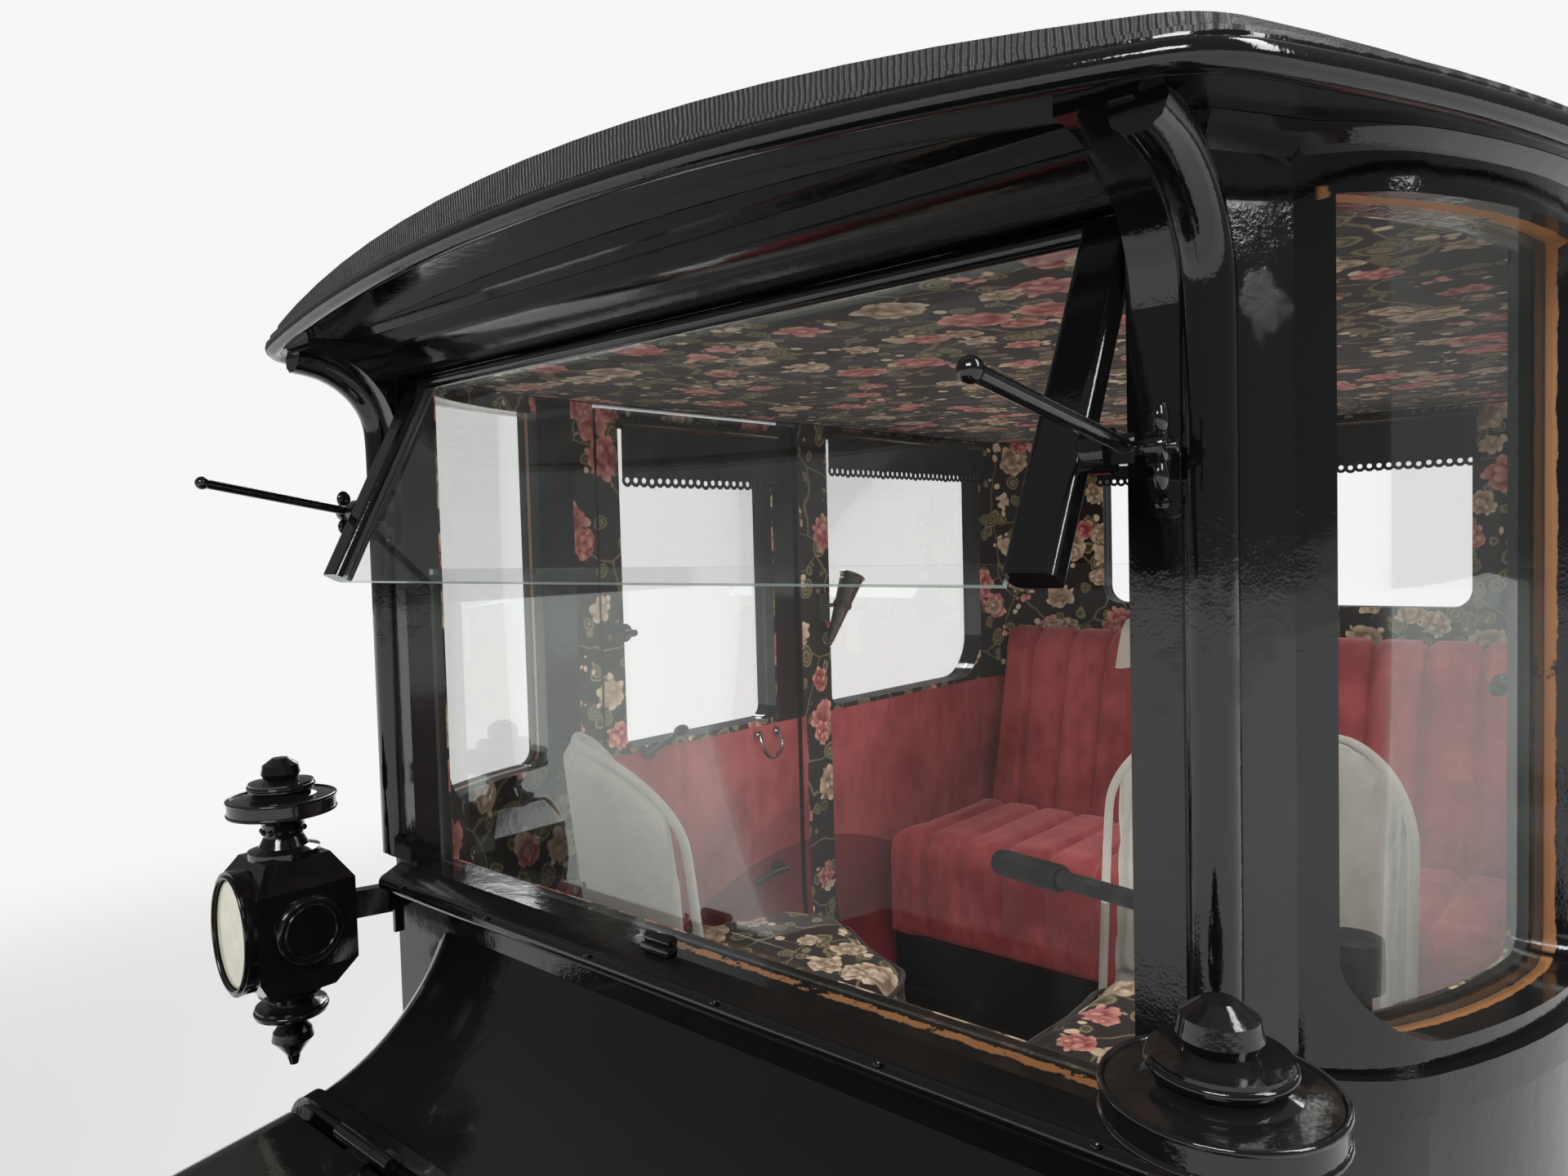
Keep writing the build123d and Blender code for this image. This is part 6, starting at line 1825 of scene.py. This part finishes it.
    def boards(self) -> None:
        """Ribbed mats with bright edges on both running boards."""
        for hand, side in ((1, "left"), (-1, "right")):
            low, high = sorted((0.606 * hand, 0.820 * hand))
            mat = Bench.block(f"board_mat_{side}", (low, -0.560, 0.4100), (high, 0.560, 0.4125), 0.001, 1)
            rib = Bench.block("mat_rib", (-0.0022, -0.555, 0.0), (0.0022, 0.555, 0.0022), 0.0008, 1)
            pitch = (high - low) / self.mat_ribs
            lines = [low + (number + 0.5) * pitch for number in range(self.mat_ribs)]
            places = [Matrix.Translation((x, 0.0, 0.4124)) for x in lines]
            ribs = Bench.copies(f"board_ribs_{side}", rib, places)
            whole = Bench.joined(f"board_mat_{side}", [mat, ribs])
            finish_piece(whole, "root", self.finishes.rubber)
            inner, outer = 0.8262 * hand - 0.004, 0.8262 * hand + 0.004
            edge = Bench.block(f"board_edge_{side}", (inner, -0.566, 0.392), (outer, 0.566, 0.4135), 0.002, 2)
            finish_piece(edge, "root", self.finishes.dull_metal)

    def lids(self) -> None:
        """Latches at the free ends of the two lids."""
        z = 0.905
        for body, y, sign in (("front_lid", -1.5705, -1), ("rear_lid", 1.6605, 1)):
            near, far = sorted((y, y + sign * 0.004))
            for x in (-0.22, 0.22):
                low, high = (x - 0.017, near, z - 0.010), (x + 0.017, far, z + 0.024)
                plate = Bench.block("latch_plate", low, high, 0.0015, 1)
                hook = Bench.tube("latch_hook", [
                    (x, y + sign * 0.004, z + 0.014), (x, y + sign * 0.012, z + 0.010),
                    (x, y + sign * 0.012, z - 0.006), (x, y + sign * 0.007, z - 0.014),
                ], 0.0042)
                piece = Bench.joined(f"{body}_latch_{'left' if x > 0 else 'right'}", [plate, hook])
                finish_piece(piece, body, self.finishes.dark_metal)

    def pillars(self) -> None:
        """Screws in the lamp brackets and along the windscreen's lower rail, with the rail's clasp."""
        spots = [
            ((0.527 * hand, -0.668, 1.198 + lift), (0.85 * hand, -0.52, 0.0), 0.0048)
            for hand in (1, -1) for lift in (-0.028, 0.028)
        ]
        self.screw_set("lamp_bracket_screws", spots)
        clasp = [
            Bench.block("clasp_base", (-0.032, -0.700, 1.2500), (0.008, -0.686, 1.2585), 0.002, 2),
            Bench.bar("clasp_roll", (-0.030, -0.690, 1.262), (0.006, -0.690, 1.262), 0.0065, 16, 0.002),
        ]
        finish_piece(Bench.joined("screen_clasp", clasp), "root", self.finishes.paint)
        rows = [((-0.44 + 0.176 * n, -0.7205, 1.2385), (0, -0.9, 0.45), 0.0034) for n in range(6)]
        self.screw_set("screen_rail_screws", rows)

    def pillar_beads(self) -> None:
        """The tall half-round bead on each front pillar, which flares out under the roof's corner."""
        for side in ("left", "right"):
            rows = [(self.pillar_x, self.pillar_y, z) for z in (1.262, 1.30, 1.40, 1.50, 1.60, 1.70)]
            out, rise = self.flare
            for step in range(7):
                angle = step * math.pi / 12
                forward, up = out * (1 - math.cos(angle)), rise * math.sin(angle)
                rows.append((self.pillar_x, self.pillar_y - forward, self.neck_z + up))
            bead = Bench.tube(f"pillar_bead_{side}", rows, 0.0175, sides=9)
            if side == "right":
                Bench.pick(bead)
                bead.data.transform(Matrix.Scale(-1.0, 4, (1.0, 0.0, 0.0)))
                bead.data.flip_normals()
            finish_piece(bead, "root", self.finishes.paint)

    def make(self) -> None:
        """All the small hardware."""
        self.pillar_beads()
        self.stays()
        self.doors()
        self.boards()
        self.lids()
        self.pillars()


@dataclass
class LampDress:
    """Slim beads, vents and the glass rims of the two coach lamps."""

    finishes: "Finishes"
    x: float = 0.551
    y: float = -0.808
    lens_z: float = 1.199
    vent_z: float = 1.309
    vent_circle: float = 0.0228
    vents: int = 12
    beads: tuple[tuple[float, float, float, int], ...] = (
        (1.332, 0.0595, 0.0022, 40), (1.348, 0.0595, 0.0022, 40),
        (1.091, 0.0395, 0.0030, 36), (1.362, 0.0355, 0.0028, 36),
    )

    def make(self) -> None:
        """Dress both lamps."""
        for hand, side in ((1, "left"), (-1, "right")):
            x, y = self.x * hand, self.y
            parts = [
                Bench.ring("lamp_bead", (x, y, z), (0, 0, 1), radius, wire, (around, 8))
                for z, radius, wire, around in self.beads
            ]
            for turn in (-1, 1):
                boss = (x + turn * 0.0655, y, self.lens_z)
                parts.append(Bench.ring("boss_bead", boss, (1, 0, 0), 0.030, 0.0022, (32, 8)))
            rim = Bench.ring("lens_rim", (0, 0, 0), (0, 1, 0), 1.0, 0.045, (56, 10))
            rim.data.transform(Matrix.Diagonal((0.0468, 0.060, 0.0668, 1.0)))
            rim.data.transform(Matrix.Translation((x, y - 0.0665, self.lens_z)))
            parts.append(rim)
            stud = Bench.ball("vent_stud", (0, 0, 0), 0.0036)
            places = []
            for number in range(self.vents):
                angle = number * 2 * math.pi / self.vents
                dx, dy = self.vent_circle * math.cos(angle), self.vent_circle * math.sin(angle)
                places.append(Matrix.Translation((x + dx, y + dy, self.vent_z)))
            parts.append(Bench.copies("vent_studs", stud, places))
            finish_piece(Bench.joined(f"lamp_beads_{side}", parts), "root", self.finishes.paint)


@dataclass
class Underside:
    """U-bolts and nuts that hold the springs to the axles."""

    finishes: "Finishes"
    spring_x: float = 0.345
    half_gauge: float = 0.0265
    half_pitch: float = 0.032
    bolt_radius: float = 0.0055
    axles: tuple[Vec, ...] = ((-1.275, 0.328, 0.424), (1.275, 0.318, 0.452))

    def make(self) -> None:
        """Bolt all four springs down, as one piece."""
        parts = []
        for y, low, high in self.axles:
            for hand in (1, -1):
                middle = self.spring_x * hand
                for bolt_y in (y - self.half_pitch, y + self.half_pitch):
                    legs = (middle - self.half_gauge, middle + self.half_gauge)
                    for x in legs:
                        foot = (x, bolt_y, low)
                        parts.append(Bench.bar("u_bolt", foot, (x, bolt_y, high), self.bolt_radius, 10))
                        parts.append(Bench.bar("nut", foot, (x, bolt_y, low + 0.010), 0.0105, 6))
                    top = [(x, bolt_y, high) for x in legs]
                    parts.append(Bench.bar("u_bolt_top", *top, self.bolt_radius, 10))
        finish_piece(Bench.joined("spring_bolts", parts), "root", self.finishes.chassis)


@dataclass
class VaseDress:
    """The vase's bright rim and its three raised rings."""

    finishes: "Finishes"

    def make(self) -> None:
        """Dress the vase."""
        foot, mouth = Vector((-0.603, 0.310, 1.436)), Vector((-0.591, 0.372, 1.565))
        axis = mouth - foot
        parts = []
        for share, radius, wire in ((0.995, 0.0255, 0.0022), (0.9, 0.0231, 0.0012), (0.25, 0.0118, 0.0012)):
            centre = tuple(foot + axis * share)
            parts.append(Bench.ring("vase_ring", centre, tuple(axis), radius, wire, (32, 8)))
        parts.append(Bench.ball("vase_tip", tuple(foot - axis.normalized() * 0.004), 0.0062))
        finish_piece(Bench.joined("vase_rings", parts), "root", self.finishes.nickel)


# The finishes on the CAD nodes


class Finishes:
    """Every material of the car, made once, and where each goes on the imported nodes."""

    def __init__(self) -> None:
        """Make the materials."""
        self.paint = CoachPaint(chips=0.35).material("coach_paint")
        self.worn_paint = CoachPaint(chips=0.8).material("coach_paint_worn")
        self.panel = CoachPaint(chips=0.45, lining=Zone.CLOTH).material("panel_paint_and_cloth")
        self.door = CoachPaint(chips=0.35, lining=Zone.DOOR).material("door_paint_and_velour")
        self.floral = FloralCloth().material("floral_cloth")
        self.welt = PlainCloth((0.030, 0.020, 0.016), (0.015, 0.010, 0.008)).material("dark_welt")
        self.velour = Velour().material("rose_velour")
        self.grey = PlainCloth((0.42, 0.395, 0.35), (0.31, 0.29, 0.255), 0.35).material("grey_cloth")
        self.strap = PlainCloth((0.66, 0.62, 0.52), (0.50, 0.46, 0.38)).material("strap_cloth")
        self.blind = PlainCloth((0.012, 0.012, 0.012), (0.006, 0.006, 0.006), 0.1).material("blind_cloth")
        self.hide = Hide().material("roof_hide")
        iron = Metal((0.060, 0.058, 0.055), (0.030, 0.029, 0.028), 0.6, 0.34, 0.15)
        painted_iron = Metal((0.020, 0.020, 0.020), (0.045, 0.040, 0.035), 0.0, 0.42, 0.8)
        self.nickel = Metal((0.62, 0.60, 0.56), (0.40, 0.37, 0.32), 1.0, 0.22).material("nickel")
        self.dull_metal = Metal((0.42, 0.41, 0.40), (0.26, 0.25, 0.24), 1.0, 0.42, 0.5).material("dull_metal")
        self.dark_metal = iron.material("dark_metal")
        self.chassis = painted_iron.material("chassis_paint")
        self.casting = Metal((0.055, 0.055, 0.055), (0.085, 0.075, 0.065), 0.2, 0.5, 0.5).material("casting")
        self.tiller = self._tiller()
        self.spoke = CoachPaint(colour=(0.006, 0.005, 0.005), chips=0.5).material("wheel_paint")
        self.rubber = Rubber().material("rubber")
        self.case = Rubber((0.030, 0.030, 0.031), (0.10, 0.09, 0.08)).material("battery_case")
        self.dark_wood = CoachPaint(colour=(0.020, 0.011, 0.006), chips=0.2).material("dark_wood")
        self.lens = LampGlass().material("lamp_glass")
        self.carpet = Carpet().material("carpet")
        self.screen_glass = PlateGlass((0.0, 1.0, 0.0), (1.606, 1.610)).material("screen_glass")
        tilt = math.radians(27.0)
        across = (0.0, math.cos(tilt), -math.sin(tilt))
        self.sash_glass = PlateGlass(across, (1.614, 1.610)).material("sash_glass")
        self.cabin_glass = self._cabin_glass()
        self.vase = Metal((0.30, 0.29, 0.27), (0.16, 0.15, 0.14), 0.9, 0.30, 0.2).material("vase_metal")

    def _tiller(self) -> bpy.types.Material:
        """The tiller's grey steel rod and shaft, with a dark grip at its free end."""
        shop = Shop("tiller_steel")
        end = shop.out(shop.node("ShaderNodeVectorMath", {"operation": "DISTANCE"}, {
            0: shop.place(), 1: (0.017, -0.105, 1.198),
        }), 1)
        grain = shop.noise(260.0, 3.0, 0.6)
        worn = shop.ramp01(shop.noise(18.0, 5.0, 0.65), 0.42, 0.62)
        steel = shop.surface(
            Base_Color=shop.mix(worn, (0.075, 0.077, 0.080), (0.040, 0.040, 0.041)), Metallic=0.5,
            Roughness=0.34 + worn * 0.1, Normal=shop.bump(grain, 0.2, 0.0005),
        )
        grip = shop.surface(
            Base_Color=shop.mix(worn, (0.012, 0.012, 0.013), (0.020, 0.020, 0.021)),
            Roughness=0.55 + grain * 0.1, Normal=shop.bump(grain, 0.3, 0.0005),
        )
        return shop.done(shop.blend_shaders(shop.ramp01(end, 0.134, 0.132), steel, grip))

    def _cabin_glass(self) -> bpy.types.Material:
        """The cabin's bent and flat side panes, whose cut edges are hidden in their frames."""
        shop = Shop("cabin_glass")
        return shop.done(glass_film(shop, 0.045, 0.0))

    def dress_nodes(self) -> None:
        """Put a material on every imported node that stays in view."""
        table = {
            "panel": ("front_frame", "corner_panels", "back_panel"),
            "door": ("door_left", "door_right", "rear_quarters"),
            "paint": ("fenders", "coach_lamps", "upper_sash", "roof_rail", "running_boards", "side_aprons"),
            "worn_paint": ("cowl", "front_box", "rear_box", "front_lid", "rear_lid"),
            "floral": ("headliner", "seat_cushions"),
            "velour": ("bench_cushion", "bench_back"),
            "grey": ("seat_backs",),
            "blind": ("window_blinds", "door_blind_left", "door_blind_right"),
            "hide": ("roof",),
            "tiller": ("steering_tiller",),
            "chassis": ("chassis_frame", "cross_members", "spring_hangers", "board_brackets", "leaf_springs",
                        "front_axle", "rear_axle", "knuckle_left", "knuckle_right", "tie_rod", "drag_link"),
            "casting": ("drive_motor",),
            "case": ("battery_blocks",),
            "spoke": tuple(f"wheel_{corner}" for corner in CORNERS),
            "rubber": tuple(f"tyre_{corner}" for corner in CORNERS),
            "lens": ("lamp_lenses",),
            "carpet": ("floor", "seat_bases"),
            "cabin_glass": ("cabin_glass", "door_glass_left", "door_glass_right"),
            "screen_glass": ("windscreen_glass",),
            "sash_glass": ("upper_glass",),
            "vase": ("flower_vase",),
        }
        for finish, nodes in table.items():
            for node in nodes:
                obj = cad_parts[node]
                obj.data.materials.clear()
                obj.data.materials.append(getattr(self, finish))
                LOG.info("node %s in %s", node, finish)


# Camera, floor and light

BACKDROP = (0.93, 0.93, 0.92, 1.0)
DAYLIGHT = (0.88, 0.89, 0.90, 1.0)


@dataclass
class Studio:
    """A pale floor, soft panels above and beside, and the photograph's camera."""

    eye: Vec = (0.7427, -1.3562, 1.6354)
    yaw: float = 41.340
    pitch: float = 2.419
    roll: float = -1.551
    lens: float = 24.44

    def camera(self) -> None:
        """Set the camera at the photograph's place."""
        yaw, pitch, roll = (math.radians(a) for a in (self.yaw, self.pitch, self.roll))
        level = math.cos(pitch)
        forward = Vector((-math.sin(yaw) * level, math.cos(yaw) * level, -math.sin(pitch)))
        right = Vector((math.cos(yaw), math.sin(yaw), 0.0))
        up = right.cross(forward)
        turned_right = math.cos(roll) * right + math.sin(roll) * up
        turned_up = -math.sin(roll) * right + math.cos(roll) * up
        data = bpy.data.cameras.new("camera")
        data.lens = self.lens
        data.sensor_width = 36.0
        data.clip_start = 0.02
        obj = bpy.data.objects.new("camera", data)
        axes = Matrix((turned_right, turned_up, -forward)).transposed()
        obj.matrix_world = Matrix.Translation(self.eye) @ axes.to_4x4()
        bpy.context.scene.collection.objects.link(obj)
        bpy.context.scene.camera = obj

    def floor(self) -> None:
        """A plain pale floor."""
        Bench.clear()
        bpy.ops.mesh.primitive_plane_add(size=60.0, location=(0.0, 0.0, -0.0005))
        plane = Bench.settle(bpy.context.object, "studio_floor")
        shop = Shop("studio_floor")
        matte = shop.surface(Base_Color=(0.74, 0.74, 0.73), Roughness=0.7)
        far = shop.out(shop.node("ShaderNodeVectorMath", {"operation": "LENGTH"}, {0: shop.place()}), 1)
        pale = shop.out(shop.node("ShaderNodeEmission", None, {"Color": BACKDROP, "Strength": 1.0}))
        plane.data.materials.append(shop.done(shop.blend_shaders(shop.ramp01(far, 2.4, 6.0), matte, pale)))

    def lamps(self) -> None:
        """Soft panels like a ceiling's, and two weak lamps inside the cabin, one shining down and one up."""
        rows = (
            ("panel_front", (1.0, -3.0, 3.1), (1.5, 0.7), (0.2, -1.1, 1.0), 46.0, True),
            ("panel_left", (2.4, -0.3, 3.3), (0.7, 2.2), (0.6, 0.1, 1.0), 44.0, True),
            ("panel_right", (-2.6, 1.2, 3.3), (0.7, 2.2), (-0.5, 0.2, 1.0), 48.0, True),
            ("panel_back", (0.4, 3.4, 3.2), (2.4, 0.7), (0.0, 0.9, 1.0), 42.0, True),
            ("cabin_down", (0.05, 0.10, 1.80), (0.7, 0.9), (0.05, 0.15, 0.9), 3.0, False),
            ("cabin_up", (-0.05, 0.05, 1.10), (0.7, 0.9), (-0.05, 0.06, 1.9), 3.4, False),
        )
        for name, place, size, aim, power, mirrored in rows:
            data = bpy.data.lights.new(name, "AREA")
            data.shape = "RECTANGLE"
            data.size, data.size_y = size
            data.energy = power
            obj = bpy.data.objects.new(name, data)
            obj.location = place
            obj.rotation_euler = (Vector(aim) - Vector(place)).to_track_quat("-Z", "Y").to_euler()
            obj.visible_camera = False
            obj.visible_glossy = mirrored
            bpy.context.scene.collection.objects.link(obj)

    def sky(self) -> None:
        """A white surround for the camera and glass, plain light for cloth and a dim room for paint."""
        world = bpy.data.worlds.new("surround")
        bpy.context.scene.world = world
        world.use_nodes = True
        tree = world.node_tree
        tree.nodes.clear()
        path = tree.nodes.new("ShaderNodeLightPath")
        seen = tree.nodes.new("ShaderNodeMath")
        seen.operation = "MAXIMUM"
        tree.links.new(path.outputs["Is Camera Ray"], seen.inputs[0])
        tree.links.new(path.outputs["Is Transmission Ray"], seen.inputs[1])
        shown, light, mirror = (
            self._background(tree, colour, strength)
            for colour, strength in ((BACKDROP, 1.0), (DAYLIGHT, 0.80), (DAYLIGHT, 0.17))
        )
        dim = tree.nodes.new("ShaderNodeMixShader")
        blend = tree.nodes.new("ShaderNodeMixShader")
        glossy = path.outputs["Is Glossy Ray"]
        links = ((dim, (glossy, light.outputs[0], mirror.outputs[0])),
                 (blend, (seen.outputs[0], dim.outputs[0], shown.outputs[0])))
        for made, sources in links:
            for number, source in enumerate(sources):
                tree.links.new(source, made.inputs[number])
        output = tree.nodes.new("ShaderNodeOutputWorld")
        tree.links.new(blend.outputs[0], output.inputs["Surface"])

    def _background(
        self, tree: bpy.types.NodeTree, colour: tuple[float, ...], strength: float
    ) -> bpy.types.Node:
        """A world background of one colour and strength."""
        made = tree.nodes.new("ShaderNodeBackground")
        made.inputs["Color"].default_value = colour
        made.inputs["Strength"].default_value = strength
        return made

    def make(self) -> None:
        """Build the whole studio."""
        self.camera()
        self.floor()
        self.lamps()
        self.sky()
        bpy.context.scene.view_settings.view_transform = "Standard"


def main() -> None:
    """Build every piece in order."""
    logging.basicConfig(level=logging.INFO, format="%(name)s: %(message)s")
    Bench.clear()
    Studio().make()
    finishes = Finishes()
    finishes.dress_nodes()
    seats = Upholstery(finishes)
    seats.make_bench()
    seats.make_front_seats()
    Blinds(finishes).make()
    tyres = TyreDress(finishes)
    for name in CORNERS:
        hand = 1.0 if name.endswith("left") else -1.0
        fore = -1.0 if name.startswith("front") else 1.0
        tyres.make(name, f"wheel_{name}", (0.710 * hand, 1.275 * fore, 0.406), hand)
    RoofBead(finishes).make()
    Hardware(finishes).make()
    LampDress(finishes).make()
    Underside(finishes).make()
    VaseDress(finishes).make()


if __name__ == "__main__":
    main()
